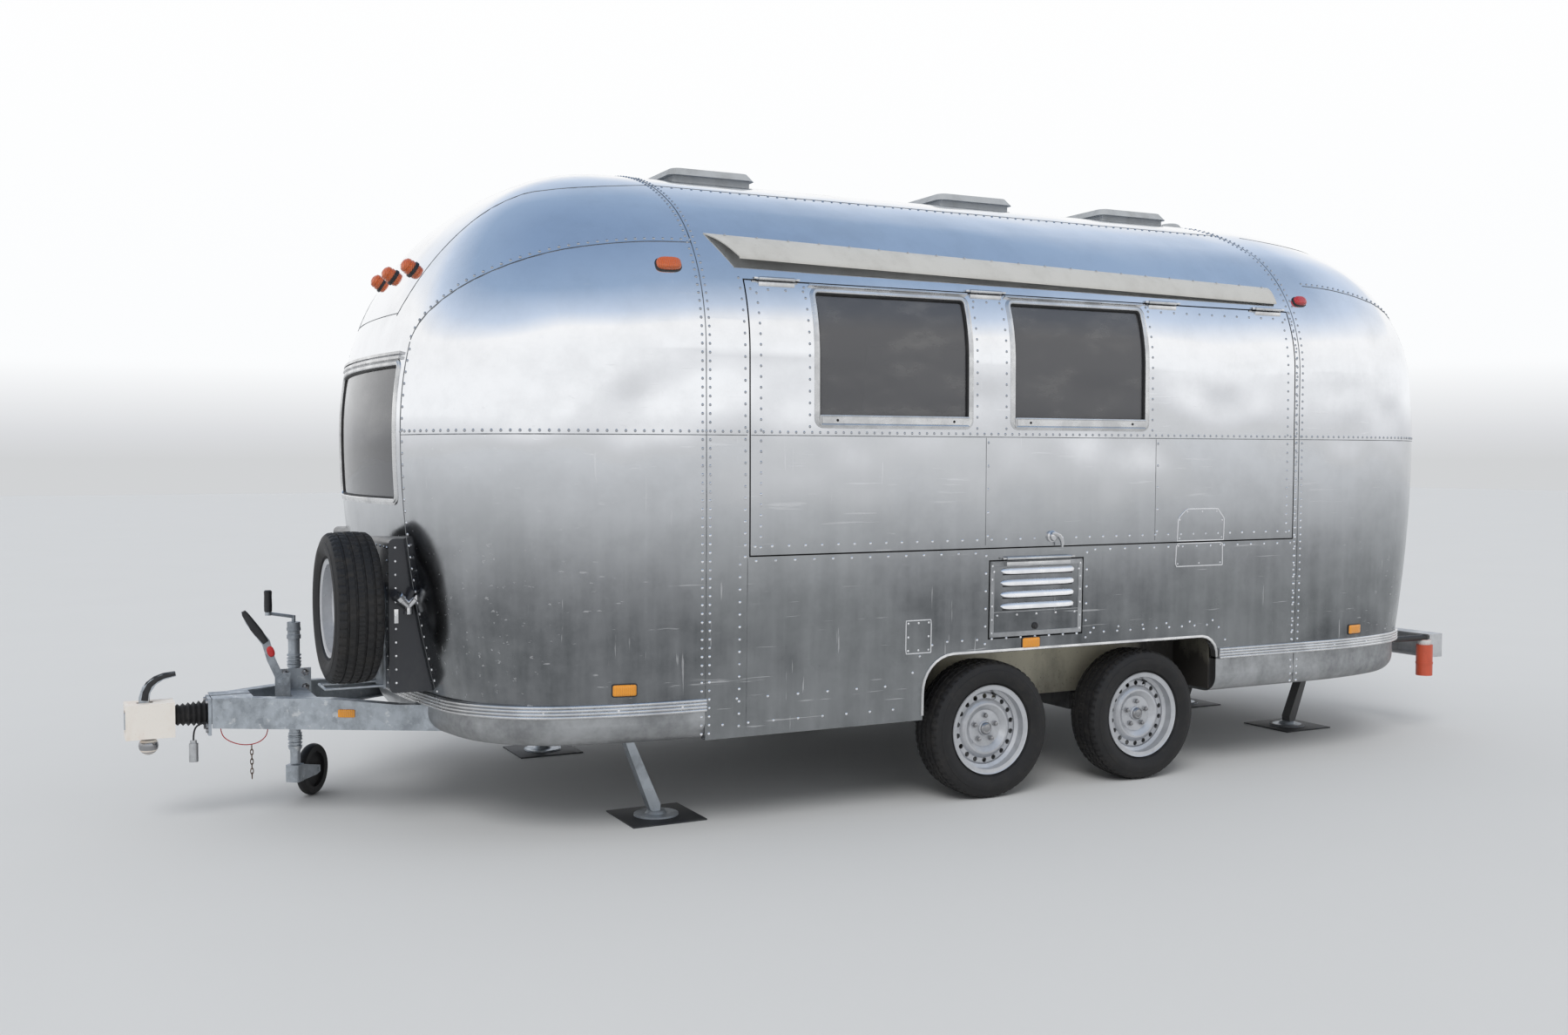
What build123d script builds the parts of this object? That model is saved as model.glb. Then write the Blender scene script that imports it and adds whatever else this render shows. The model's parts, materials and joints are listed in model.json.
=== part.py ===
from build123d import *
import math
import os

# Rounded, riveted aluminium travel caravan on two axles, parked on its steadies.
# Millimetres. X points forward to the coupling, Y to the left, Z up.
# The origin is on the ground, under the middle of the whole length.

os.makedirs("parts", exist_ok=True)

# Driving sizes of the body
front_seam_x = 1235
side_length = 3120
rear_straight = 160
body_half_width = 1170
body_roof = 2735
body_low = 375
belt_height = 1565
shoulder_radius = 720
roof_radius = 1600
side_tuck = 20
end_reach = 1125
end_tuck = 155
end_profile_power = 2.15
plan_flatness = 2.4
plan_corner = 0.55
wall = 38
floor_top = 520
seat_gap = 0.3
door_gap = 6
frame_proud = 8
glass_depth = 12
glass_thickness = 6

# Heights of the body's lengthwise joints
front_rail_low = 490
rear_rail_low = 535
rail_height = 52
rail_thickness = 6
rail_rib = 8
rail_ribs = 4
roof_seam = 2400
skirt_radius = 80

# Heights at which the body's plan is drawn for its loft
form_heights = (355, 800, 1180, belt_height, 1850, 2030, 2190, 2330, 2440, 2530, 2605, 2665, 2705, 2730)

# Wheels, axles and arches, with distances measured aft of the front seam
hub_height = 300
tyre_width = 190
tyre_radius = 300
rim_half_width = 75
rim_radius = 195
bead_radius = 178
wheel_y = 1055
front_hub_aft = 1364
axle_spacing = 842
arch_front_aft = 1000
arch_rear_aft = 2622
arch_top = 645
arch_front_radius = 150
arch_rear_radius = 95
housing_y = 860
housing_top = 665
housing_sheet = 8
spindle_radius = 28
running_gap = 0.05
axle_lead = 150
axle_size = 90

# Serving hatch, locker door and entry door
hatch_front_aft = 190
hatch_rear_aft = 3085
hatch_low = 1095
hatch_top = 2182
hatch_axis_height = 2192
window_width = 753
window_height = 560
window_low = 1605
window_rail = 30
window_corner = 34
hatch_windows_aft = (855, 1810)
right_windows_aft = (1430, 2390)
locker_front_aft = 1330
locker_rear_aft = 1825
locker_low = 705
locker_top = 1035
louvre_count = 4
louvre_length = 300
louvre_radius = 15
louvre_pitch = 52
entry_front_aft = 190
entry_width = 620
entry_low = 500
entry_top = 2160

# Drawbar and coupling
drawbar_tip_x = 2935
drawbar_tip_y = 62
drawbar_angle = 30
drawbar_low = 384
drawbar_height = 125
drawbar_rear_height = 104
drawbar_full_length = 480
drawbar_slope_end = 760
drawbar_flange = 50
drawbar_sheet = 6
drawbar_length = 1080
coupling_height = 440
overrun_radius = 30
jockey_x = 2580
jockey_y = -170
jockey_radius = 112
jockey_trail = 145
jockey_heading = 233

# Corner steadies
front_steady_y = 770
rear_steady_y = 420
steady_rail_low = 340
steady_length = 352
steady_angle = 68
steady_disc = 92
plate_thickness = 6
plate_size = 320
steady_places = (
    # name, aft distance of the pivot, way the foot leans along X, middle across the body
    ("front_left", -187, -1, front_steady_y),
    ("front_right", -187, -1, -front_steady_y),
    ("rear_left", 3967, 1, rear_steady_y),
    ("rear_right", 3967, 1, -rear_steady_y),
)

# Spare wheel, its backing box, bumper and waste pipe
spare_x = 2465
spare_y = 450
spare_height = 890
box_half_width = 600
box_front_x = 2336
box_low = 560
box_top = 1165
bumper_rear_x = -3280
bumper_depth = 110
bumper_low = 400
bumper_height = 125
bumper_half_length = 880

# Roof vents: aft distance of the middle, and length
vent_places = ((460, 430), (1900, 450), (2905, 450))
vent_width = 430
vent_base = 22
vent_lid = 34

rear_seam_x = front_seam_x - side_length
rear_bend_x = rear_seam_x - rear_straight
shoulder_y = body_half_width - shoulder_radius
roof_centre = body_roof - roof_radius
shoulder_height = roof_centre + math.sqrt((roof_radius - shoulder_radius) ** 2 - shoulder_y**2)
shoulder_end = roof_centre + (shoulder_height - roof_centre) * roof_radius / (roof_radius - shoulder_radius)
far = 4000


def aft(distance):
    """X of a place that lies this far behind the front seam."""
    return front_seam_x - distance


def half_width_at(height):
    """Half width of the outer skin along the straight middle of the body."""
    if height <= belt_height:
        return body_half_width - side_tuck * ((belt_height - height) / (belt_height - body_low)) ** 2
    if height <= shoulder_height:
        return body_half_width
    if height <= shoulder_end:
        return shoulder_y + math.sqrt(shoulder_radius**2 - (height - shoulder_height) ** 2)
    return math.sqrt(roof_radius**2 - (height - roof_centre) ** 2)


def reach_at(height):
    """How far a rounded end stands out beyond the straight body at one height."""
    if height <= belt_height:
        return end_reach - end_tuck * ((belt_height - height) / (belt_height - front_rail_low)) ** 2
    rise = (height - belt_height) / (body_roof - belt_height)
    return end_reach * (1 - rise**end_profile_power) ** (1 / end_profile_power)


def quarter_plan(reach, half_width):
    """Side arc, corner arc and end arc of a quarter of the plan, tangent to each other."""
    side_radius = plan_flatness * reach**2 / half_width
    end_radius = plan_flatness * half_width**2 / reach
    corner_radius = plan_corner * min(reach, half_width)
    side_centre = Vector(0, half_width - side_radius)
    end_centre = Vector(reach - end_radius, 0)
    to_side = side_radius - corner_radius
    to_end = end_radius - corner_radius
    apart = (end_centre - side_centre).length
    along = (to_side**2 - to_end**2 + apart**2) / (2 * apart)
    across = math.sqrt(to_side**2 - along**2)
    line = (end_centre - side_centre).normalized()
    corner_centre = side_centre + line * along + Vector(line.Y, -line.X) * across
    side_end = side_centre + (corner_centre - side_centre).normalized() * side_radius
    end_start = end_centre + (corner_centre - end_centre).normalized() * end_radius
    side_middle = side_centre + (side_end + Vector(0, half_width) - side_centre * 2).normalized() * side_radius
    corner_middle = corner_centre + (side_end + end_start - corner_centre * 2).normalized() * corner_radius
    return side_middle, side_end, corner_middle, end_start


def end_lines(half_width, reach, straight_end_x, way):
    """The rounded end of a plan, drawn from the left side round to the right side."""
    side_middle, side_end, corner_middle, end_start = quarter_plan(reach, half_width)

    def place(point, side):
        return (straight_end_x + way * point.X, side * point.Y)

    ThreePointArc((straight_end_x, half_width), place(side_middle, 1), place(side_end, 1))
    ThreePointArc(place(side_end, 1), place(corner_middle, 1), place(end_start, 1))
    ThreePointArc(place(end_start, 1), (straight_end_x + way * reach, 0), place(end_start, -1))
    ThreePointArc(place(end_start, -1), place(corner_middle, -1), place(side_end, -1))
    ThreePointArc(place(side_end, -1), place(side_middle, -1), (straight_end_x, -half_width))


def plan_lines(half_width, reach):
    """The closed plan outline of the body."""
    end_lines(half_width, reach, front_seam_x, 1)
    end_lines(half_width, reach, rear_bend_x, -1)
    for side in (1, -1):
        Line((front_seam_x, side * half_width), (rear_bend_x, side * half_width))


def body_form(inset):
    """The body as a closed form, drawn in from the outer skin by the inset."""
    with BuildPart() as form:
        for height in form_heights:
            level = height
            if height > belt_height:
                share = (body_roof - inset - belt_height) / (body_roof - belt_height)
                level = belt_height + (height - belt_height) * share
            with BuildSketch(Plane.XY.offset(level)):
                with BuildLine():
                    plan_lines(half_width_at(height) - inset, reach_at(height) - inset)
                make_face()
        loft(ruled=True)
    return form.part


def block(low, high):
    """A plain block between two corners, for keeping or cutting."""
    size = [top - bottom for bottom, top in zip(low, high)]
    return Pos(*low) * Box(*size, align=(Align.MIN, Align.MIN, Align.MIN), mode=Mode.PRIVATE)


def side_prism(low_x, high_x, low_z, high_z, corner, near_y, far_y):
    """A rounded rectangle seen from the side, carried across the body."""
    middle = ((low_x + high_x) / 2, near_y, (low_z + high_z) / 2)
    with BuildPart(mode=Mode.PRIVATE) as prism:
        with BuildSketch(Plane(origin=middle, x_dir=(1, 0, 0), z_dir=(0, 1, 0))):
            RectangleRounded(high_x - low_x, high_z - low_z, corner)
        extrude(amount=far_y - near_y)
    return prism.part


def end_prism(half_width, low_z, high_z, corner, near_x, far_x):
    """A rounded rectangle seen from an end, carried along the body."""
    with BuildPart(mode=Mode.PRIVATE) as prism:
        with BuildSketch(Plane(origin=(near_x, 0, (low_z + high_z) / 2), x_dir=(0, 1, 0), z_dir=(1, 0, 0))):
            RectangleRounded(2 * half_width, high_z - low_z, corner)
        extrude(amount=far_x - near_x)
    return prism.part


def rod(start, end, radius):
    """A plain round bar between two points."""
    start = Vector(*start)
    end = Vector(*end)
    with BuildPart(mode=Mode.PRIVATE) as bar:
        with BuildSketch(Plane(origin=start, z_dir=end - start)):
            Circle(radius)
        extrude(amount=(end - start).length)
    return bar.part


def box_at(middle, size):
    """A block round its middle."""
    return Pos(*middle) * Box(*size, mode=Mode.PRIVATE)


def bent_bar(points, radius):
    """A round bar through several points, with a slightly fuller bend at each corner."""
    with BuildPart(mode=Mode.PRIVATE) as bar:
        for start, end in zip(points, points[1:]):
            add(rod(start, end, radius))
        for point in points[1:-1]:
            with Locations(point):
                Sphere(radius * 1.12)
    return bar.part


def cord(name, points, diameter):
    """A flexible round lead: straight runs with an arc in each corner, as wide as its runs allow."""
    points = [Vector(*point) for point in points]
    radii = []
    for before, corner, after in zip(points, points[1:], points[2:]):
        half_turn = math.radians((corner - before).get_angle(after - corner)) / 2
        shorter = min((corner - before).length, (after - corner).length)
        radii.append(0.45 * shorter / math.tan(half_turn))
    print(name, "bend radii in diameters:", [round(radius / diameter, 1) for radius in radii])
    with BuildPart(mode=Mode.PRIVATE) as lead:
        with BuildLine() as route:
            FilletPolyline(*points, radius=radii)
        with BuildSketch(Plane(origin=points[0], z_dir=points[1] - points[0])):
            Circle(diameter / 2)
        sweep(path=route.line)
    return lead.part


def keep(name, part):
    """Labels a finished piece and writes it."""
    part.label = name
    export_step(part, f"parts/{name}.step")


outer_form = body_form(0)
inner_form = body_form(wall)
seat_form = body_form(-seat_gap)
proud_form = body_form(-frame_proud)
glass_outer_form = body_form(glass_depth)
glass_inner_form = body_form(glass_depth + glass_thickness)
skin = outer_form - inner_form
frame_skin = proud_form - inner_form
glass_skin = glass_outer_form - glass_inner_form

# Windows: the hole in the wall, the frame that fills its edge and the pane inside the frame
fixed_windows = (
    # name, whole hole, where the pane shows
    ("front", 580, 1300, 1862),
    ("rear", 480, 1430, 1900),
)


def side_window_cut(middle_aft, margin, near_y, far_y):
    """Prism of a side window, drawn in from the frame's outside by the margin."""
    half = window_width / 2 - margin
    return side_prism(
        aft(middle_aft) - half,
        aft(middle_aft) + half,
        window_low + margin,
        window_low + window_height - margin,
        window_corner - min(margin, window_rail / 2) / 2,
        near_y,
        far_y,
    )


def end_window_cut(half_width, low_z, high_z, margin, way):
    """Prism of an end window, drawn in from the frame's outside by the margin."""
    return end_prism(half_width - margin, low_z + margin, high_z - margin, window_corner, way * 700, way * far)


# Hinges: fixed pins held by brackets on the wall, and barrels on the doors
hinge_pin = 4
hinge_barrel = 8
hatch_axis = (half_width_at(hatch_axis_height) + 14, hatch_axis_height)
locker_axis = (half_width_at(locker_top) + 14, locker_top + 12)
entry_axis = (aft(entry_front_aft) + 3, -body_half_width - 13)
hatch_barrels = (aft(330), aft(1332), aft(2310), aft(2960))
hatch_barrel_half = 80
locker_barrels = (aft((locker_front_aft + locker_rear_aft) / 2),)
locker_barrel_half = 170
entry_barrels = (700, 1240, 1780)
entry_barrel_half = 30
bracket_length = 16
bracket_gap = 6


def top_hinge(axis, door_top, places, half, fixed):
    """Either half of a hinge along X: pins with their brackets, or barrels with their leaves."""
    axis_y, axis_z = axis
    embed_y = axis_y - 30
    with BuildPart(mode=Mode.PRIVATE) as hinge:
        for place in places:
            if fixed:
                reach = half + bracket_gap + bracket_length
                add(rod((place - reach, axis_y, axis_z), (place + reach, axis_y, axis_z), hinge_pin))
                for way in (1, -1):
                    middle = place + way * (reach - bracket_length / 2)
                    low = (middle - bracket_length / 2, embed_y, axis_z - hinge_pin)
                    high = (middle + bracket_length / 2, axis_y + hinge_pin, axis_z + hinge_pin)
                    add(block(low, high))
            else:
                add(rod((place - half, axis_y, axis_z), (place + half, axis_y, axis_z), hinge_barrel))
                add(block((place - half, embed_y, door_top - 34), (place + half, axis_y + 2, door_top - 8)))
                add(block((place - half, axis_y - 7, door_top - 34), (place + half, axis_y + 2, axis_z)))
                bore = (place - 2 * half, axis_y, axis_z), (place + 2 * half, axis_y, axis_z)
                add(rod(*bore, hinge_pin + running_gap), mode=Mode.SUBTRACT)
    return hinge.part


def side_hinge(fixed):
    """Either half of the entry door's three hinges, whose pins stand upright."""
    axis_x, axis_y = entry_axis
    with BuildPart(mode=Mode.PRIVATE) as hinge:
        for place in entry_barrels:
            half = entry_barrel_half
            if fixed:
                reach = half + bracket_gap + bracket_length
                add(rod((axis_x, axis_y, place - reach), (axis_x, axis_y, place + reach), hinge_pin))
                for way in (1, -1):
                    middle = place + way * (reach - bracket_length / 2)
                    low_z = middle - bracket_length / 2
                    high_z = middle + bracket_length / 2
                    add(block((axis_x - hinge_pin, axis_y - hinge_pin, low_z), (axis_x + 34, axis_y + hinge_pin, high_z)))
                    add(block((axis_x + 8, axis_y - hinge_pin, low_z), (axis_x + 34, axis_y + 33, high_z)))
            else:
                add(rod((axis_x, axis_y, place - half), (axis_x, axis_y, place + half), hinge_barrel))
                add(block((axis_x - 40, axis_y - 2, place - half), (axis_x - 11, axis_y + 33, place + half)))
                add(block((axis_x - 40, axis_y - 2, place - half), (axis_x, axis_y + 7, place + half)))
                bore = (axis_x, axis_y, place - 2 * half), (axis_x, axis_y, place + 2 * half)
                add(rod(*bore, hinge_pin + running_gap), mode=Mode.SUBTRACT)
    return hinge.part


# Body shells, split at the riveted ring seams and below the roof
with BuildPart() as front_shell:
    add(skin)
    add(block((front_seam_x, -far, front_rail_low), (far, far, far)), mode=Mode.INTERSECT)
    end_name, half_width, low_z, high_z = fixed_windows[0]
    add(end_window_cut(half_width, low_z, high_z, 0, 1), mode=Mode.SUBTRACT)
keep("front_shell", front_shell.part)

with BuildPart() as rear_shell:
    add(skin)
    add(block((-far, -far, rear_rail_low), (rear_seam_x, far, far)), mode=Mode.INTERSECT)
    end_name, half_width, low_z, high_z = fixed_windows[1]
    add(end_window_cut(half_width, low_z, high_z, 0, -1), mode=Mode.SUBTRACT)
keep("rear_shell", rear_shell.part)

with BuildPart() as roof_shell:
    add(skin)
    add(block((rear_seam_x, -far, roof_seam), (front_seam_x, far, far)), mode=Mode.INTERSECT)
keep("roof_shell", roof_shell.part)


def arch_cut(near_y, far_y, grow=0):
    """The wheel arch opening of one side, carried across the wall."""
    front_x = aft(arch_front_aft) + grow
    rear_x = aft(arch_rear_aft) - grow
    low = 100
    top = arch_top + grow
    with BuildPart(mode=Mode.PRIVATE) as arch:
        with BuildSketch(Plane(origin=(0, near_y, 0), x_dir=(-1, 0, 0), z_dir=(0, 1, 0))):
            with BuildLine():
                Line((-front_x, low), (-front_x, top - arch_front_radius))
                RadiusArc(
                    (-front_x, top - arch_front_radius),
                    (-front_x + arch_front_radius, top),
                    arch_front_radius,
                )
                Line((-front_x + arch_front_radius, top), (-rear_x - arch_rear_radius, top))
                RadiusArc(
                    (-rear_x - arch_rear_radius, top),
                    (-rear_x, top - arch_rear_radius),
                    arch_rear_radius,
                )
                Line((-rear_x, top - arch_rear_radius), (-rear_x, low))
                Line((-rear_x, low), (-front_x, low))
            make_face()
        extrude(amount=far_y - near_y)
    return arch.part


def side_shell(side):
    """One side wall between the ring seams, below the roof, with its arch cut."""
    with BuildPart() as shell:
        add(skin)
        low = (rear_seam_x, min(0, side * far), body_low)
        high = (front_seam_x, max(0, side * far), roof_seam)
        add(block(low, high), mode=Mode.INTERSECT)
        add(arch_cut(side * 700, side * far), mode=Mode.SUBTRACT)
        cut_low = (-far, min(0, side * far), 0)
        cut_high = (aft(arch_rear_aft), max(0, side * far), rear_rail_low)
        add(block(cut_low, cut_high), mode=Mode.SUBTRACT)
    return shell.part


hatch_low_corner = (aft(hatch_rear_aft), 0, hatch_low)
hatch_high_corner = (aft(hatch_front_aft), far, hatch_top)
locker_low_corner = (aft(locker_rear_aft), 0, locker_low)
locker_high_corner = (aft(locker_front_aft), far, locker_top)


def grown(low, high, gap):
    """Corners of a block that is larger by the gap along X and Z."""
    return (low[0] - gap, low[1], low[2] - gap), (high[0] + gap, high[1], high[2] + gap)


with BuildPart() as left_side_shell:
    add(side_shell(1))
    add(block(*grown(hatch_low_corner, hatch_high_corner, door_gap)), mode=Mode.SUBTRACT)
    add(block(*grown(locker_low_corner, locker_high_corner, door_gap)), mode=Mode.SUBTRACT)
    add(top_hinge(hatch_axis, hatch_top, hatch_barrels, hatch_barrel_half, True))
    add(top_hinge(locker_axis, locker_top, locker_barrels, locker_barrel_half, True))
keep("left_side_shell", left_side_shell.part)

entry_front_x = aft(entry_front_aft)
entry_rear_x = entry_front_x - entry_width


def entry_prism(gap):
    """The round-cornered outline of the entry door, grown by the gap."""
    return side_prism(
        entry_rear_x - gap, entry_front_x + gap, entry_low - gap, entry_top + gap, 90 + gap, -700, -far
    )


with BuildPart() as right_side_shell:
    add(side_shell(-1))
    add(entry_prism(door_gap), mode=Mode.SUBTRACT)
    for middle in right_windows_aft:
        add(side_window_cut(middle, 0, -700, -far), mode=Mode.SUBTRACT)
    add(side_hinge(True))
keep("right_side_shell", right_side_shell.part)

# Serving hatch, hinged along its top edge below the hood
with BuildPart() as hatch_panel:
    add(skin)
    add(block(hatch_low_corner, hatch_high_corner), mode=Mode.INTERSECT)
    for middle in hatch_windows_aft:
        add(side_window_cut(middle, 0, 700, far), mode=Mode.SUBTRACT)
    with BuildPart(mode=Mode.PRIVATE) as latch:
        with Locations((aft(1683), half_width_at(hatch_low) + 14, hatch_low + 32)):
            Box(26, 44, 62)
        with BuildSketch(Plane.YZ.offset(aft(1683) - 6)):
            with Locations((half_width_at(hatch_low) + 30, hatch_low + 30)):
                SlotCenterPoint((0, 0), (6, 34), 16)
        extrude(amount=12)
    add(latch.part - seat_form)
    add(top_hinge(hatch_axis, hatch_top, hatch_barrels, hatch_barrel_half, False))
keep("hatch_panel", hatch_panel.part)


def window_ring(cut, near, far_side, middle):
    """A window's frame, as thick as the wall and a little proud of the skin."""
    with BuildPart(mode=Mode.PRIVATE) as ring:
        add(frame_skin)
        add(cut(middle, seat_gap, near, far_side), mode=Mode.INTERSECT)
        add(cut(middle, window_rail, near, far_side), mode=Mode.SUBTRACT)
    return ring.part


def window_pane(cut, near, far_side, middle):
    """A window's tinted pane, set back in its frame."""
    with BuildPart(mode=Mode.PRIVATE) as pane:
        add(glass_skin)
        add(cut(middle, window_rail + seat_gap, near, far_side), mode=Mode.INTERSECT)
    return pane.part


with BuildPart() as hatch_window_frames:
    for middle in hatch_windows_aft:
        add(window_ring(side_window_cut, 700, far, middle))
keep("hatch_window_frames", hatch_window_frames.part)

with BuildPart() as hatch_window_glass:
    for middle in hatch_windows_aft:
        add(window_pane(side_window_cut, 700, far, middle))
keep("hatch_window_glass", hatch_window_glass.part)

with BuildPart() as window_frames:
    for middle in right_windows_aft:
        add(window_ring(side_window_cut, -700, -far, middle))
    for (name, half_width, low_z, high_z), way in zip(fixed_windows, (1, -1)):
        with BuildPart(mode=Mode.PRIVATE) as ring:
            add(frame_skin)
            add(end_window_cut(half_width, low_z, high_z, seat_gap, way), mode=Mode.INTERSECT)
            add(end_window_cut(half_width, low_z, high_z, window_rail, way), mode=Mode.SUBTRACT)
        add(ring.part)
keep("window_frames", window_frames.part)

with BuildPart() as window_glass:
    for middle in right_windows_aft:
        add(window_pane(side_window_cut, -700, -far, middle))
    for (name, half_width, low_z, high_z), way in zip(fixed_windows, (1, -1)):
        with BuildPart(mode=Mode.PRIVATE) as pane:
            add(glass_skin)
            margin = window_rail + seat_gap
            add(end_window_cut(half_width, low_z, high_z, margin, way), mode=Mode.INTERSECT)
        add(pane.part)
keep("window_glass", window_glass.part)

# Locker door with pressed louvres
louvre_middle = (locker_low + locker_top) / 2 + 32
louvre_heights = [louvre_middle + (i - (louvre_count - 1) / 2) * louvre_pitch for i in range(louvre_count)]
locker_middle_x = aft((locker_front_aft + locker_rear_aft) / 2)

with BuildPart() as locker_door:
    add(skin)
    add(block(locker_low_corner, locker_high_corner), mode=Mode.INTERSECT)
    for height in louvre_heights:
        surface = half_width_at(height)
        with Locations(Location((locker_middle_x, surface - 2, height + 6), (0, 90, 0))):
            Cylinder(louvre_radius, louvre_length)
        with Locations((locker_middle_x, surface + 4, height - louvre_radius / 2)):
            Box(louvre_length - 12, 40, louvre_radius, mode=Mode.SUBTRACT)
    with Locations(Location((locker_middle_x, half_width_at(locker_low) + 4, locker_low + 42), (90, 0, 0))):
        Cylinder(13, 12)
    add(top_hinge(locker_axis, locker_top, locker_barrels, locker_barrel_half, False))
keep("locker_door", locker_door.part)

# Entry door on the right side
entry_pane = (entry_rear_x + 110, entry_front_x - 110, 1620, 2040)

with BuildPart() as entry_door:
    add(skin)
    add(entry_prism(0), mode=Mode.INTERSECT)
    low_x, high_x, low_z, high_z = entry_pane
    add(side_prism(low_x, high_x, low_z, high_z, 60, -700, -far), mode=Mode.SUBTRACT)
    handle_y = -half_width_at(1180)
    with Locations((entry_rear_x + 55, handle_y - 4, 1180)):
        Box(46, 16, 150)
    with Locations((entry_rear_x + 55, handle_y - 26, 1180)):
        Box(22, 14, 120)
    for rise in (-48, 48):
        with Locations((entry_rear_x + 55, handle_y - 15, 1180 + rise)):
            Box(18, 16, 18)
    add(side_hinge(False))
keep("entry_door", entry_door.part)

with BuildPart() as entry_door_glass:
    add(glass_skin)
    add(
        side_prism(
            low_x + seat_gap, high_x - seat_gap, low_z + seat_gap, high_z - seat_gap, 60 - seat_gap, -700, -far
        ),
        mode=Mode.INTERSECT,
    )
keep("entry_door_glass", entry_door_glass.part)


# Belly pan: closed floor tray with the curved skirts of both ends
def channel_slot(side, grow):
    """The path of one drawbar channel through the front of the floor, from the drawbar's own sizes."""
    angle = math.radians(drawbar_angle)
    start = Vector(drawbar_tip_x, side * drawbar_tip_y, 0)
    along = Vector(-math.cos(angle), side * math.sin(angle), 0)
    plane = Plane(origin=start + Vector(0, 0, drawbar_low - grow), x_dir=along, z_dir=(0, 0, 1))
    with BuildPart(mode=Mode.PRIVATE) as slot:
        with BuildSketch(plane):
            with Locations(((drawbar_length + grow) / 2, side * drawbar_flange / 2)):
                Rectangle(drawbar_length + grow, drawbar_flange + 2 * grow)
        extrude(amount=drawbar_height + 2 * grow)
    return slot.part


def end_bowl(low_x, high_x, top, grow=0):
    """The curved skirt below one end of the body, as a closed bowl."""
    with BuildPart(mode=Mode.PRIVATE) as bowl:
        with BuildSketch(Plane.XY.offset(body_low - grow)):
            with BuildLine():
                plan_lines(half_width_at(front_rail_low) + grow, reach_at(front_rail_low) + grow)
            make_face()
        extrude(amount=top - body_low + grow)
        fillet(bowl.edges().group_by(Axis.Z)[0], skirt_radius)
        add(block((low_x, -far, 0), (high_x, far, far)), mode=Mode.INTERSECT)
    return bowl.part


bowl_inset = wall + 12

with BuildPart() as belly_pan:
    with BuildSketch(Plane.XY.offset(body_low + 12)):
        with BuildLine():
            plan_lines(half_width_at(body_low) - bowl_inset, reach_at(front_rail_low) - bowl_inset)
        make_face()
    extrude(amount=floor_top - body_low - 12)
    add(end_bowl(front_seam_x + seat_gap, far, front_rail_low - seat_gap))
    add(end_bowl(-far, aft(arch_rear_aft) - seat_gap, rear_rail_low - seat_gap))
    for side in (1, -1):
        low = (aft(arch_rear_aft) - seat_gap, min(side * housing_y, side * far), 0)
        high = (aft(arch_front_aft) + seat_gap, max(side * housing_y, side * far), far)
        add(block(low, high), mode=Mode.SUBTRACT)
        add(channel_slot(side, seat_gap), mode=Mode.SUBTRACT)
keep("belly_pan", belly_pan.part)

# Wheel housings: an inner wall, a roof and two ends of sheet, one box for each side
with BuildPart() as wheel_housings:
    for side in (1, -1):
        outer_y = half_width_at(body_low) - wall - 2
        low = (aft(arch_rear_aft), min(side * housing_y, side * outer_y), body_low + 14)
        high = (aft(arch_front_aft), max(side * housing_y, side * outer_y), housing_top)
        add(block(low, high))
        low = (low[0] + housing_sheet, min(side * (housing_y + housing_sheet), side * far), 0)
        high_y = max(side * (housing_y + housing_sheet), side * far)
        high = (high[0] - housing_sheet, high_y, housing_top - housing_sheet)
        add(block(low, high), mode=Mode.SUBTRACT)
keep("wheel_housings", wheel_housings.part)


# Rub rails: a ribbed strip bent round each end of the body
def rail_lines():
    """Outline of a flat strip with round ribs, standing out along local X."""
    pitch = rail_height / rail_ribs
    Line((seat_gap, -rail_height / 2), (seat_gap, rail_height / 2))
    Line((seat_gap, rail_height / 2), (rail_thickness, rail_height / 2))
    for rib in range(rail_ribs):
        top = rail_height / 2 - rib * pitch
        ThreePointArc(
            (rail_thickness, top), (rail_thickness + rail_rib, top - pitch / 2), (rail_thickness, top - pitch)
        )
    Line((rail_thickness, -rail_height / 2), (seat_gap, -rail_height / 2))


with BuildPart() as front_rub_rail:
    with BuildLine(Plane.XY.offset(front_rail_low + rail_height / 2)) as front_path:
        end_lines(half_width_at(front_rail_low + rail_height), reach_at(front_rail_low + rail_height), front_seam_x, 1)
    with BuildSketch(
        Plane(
            origin=(front_seam_x, half_width_at(front_rail_low + rail_height), front_rail_low + rail_height / 2),
            x_dir=(0, 1, 0),
            z_dir=(1, 0, 0),
        )
    ):
        with BuildLine():
            rail_lines()
        make_face()
    sweep(path=front_path.line)
keep("front_rub_rail", front_rub_rail.part)

with BuildPart() as rear_rub_rail:
    rail_width = half_width_at(rear_rail_low + rail_height)
    with BuildLine(Plane.XY.offset(rear_rail_low + rail_height / 2)) as rear_path:
        Line((aft(arch_rear_aft) - 12, rail_width), (rear_bend_x, rail_width))
        end_lines(rail_width, reach_at(rear_rail_low + rail_height), rear_bend_x, -1)
        Line((rear_bend_x, -rail_width), (aft(arch_rear_aft) - 12, -rail_width))
    with BuildSketch(
        Plane(
            origin=(aft(arch_rear_aft) - 12, rail_width, rear_rail_low + rail_height / 2),
            x_dir=(0, 1, 0),
            z_dir=(-1, 0, 0),
        )
    ):
        with BuildLine():
            rail_lines()
        make_face()
    sweep(path=rear_path.line)
keep("rear_rub_rail", rear_rub_rail.part)

# Hood over the hatch's hinge: folded sheet, lower at the rear, cut back at its front end
hood_ends = (
    # aft distance, height of the upper edge, height of the lip
    (60, 2372, 2278),
    (3030, 2302, 2212),
)
hood_lip_y = 1150
hood_sheet = 4

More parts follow.
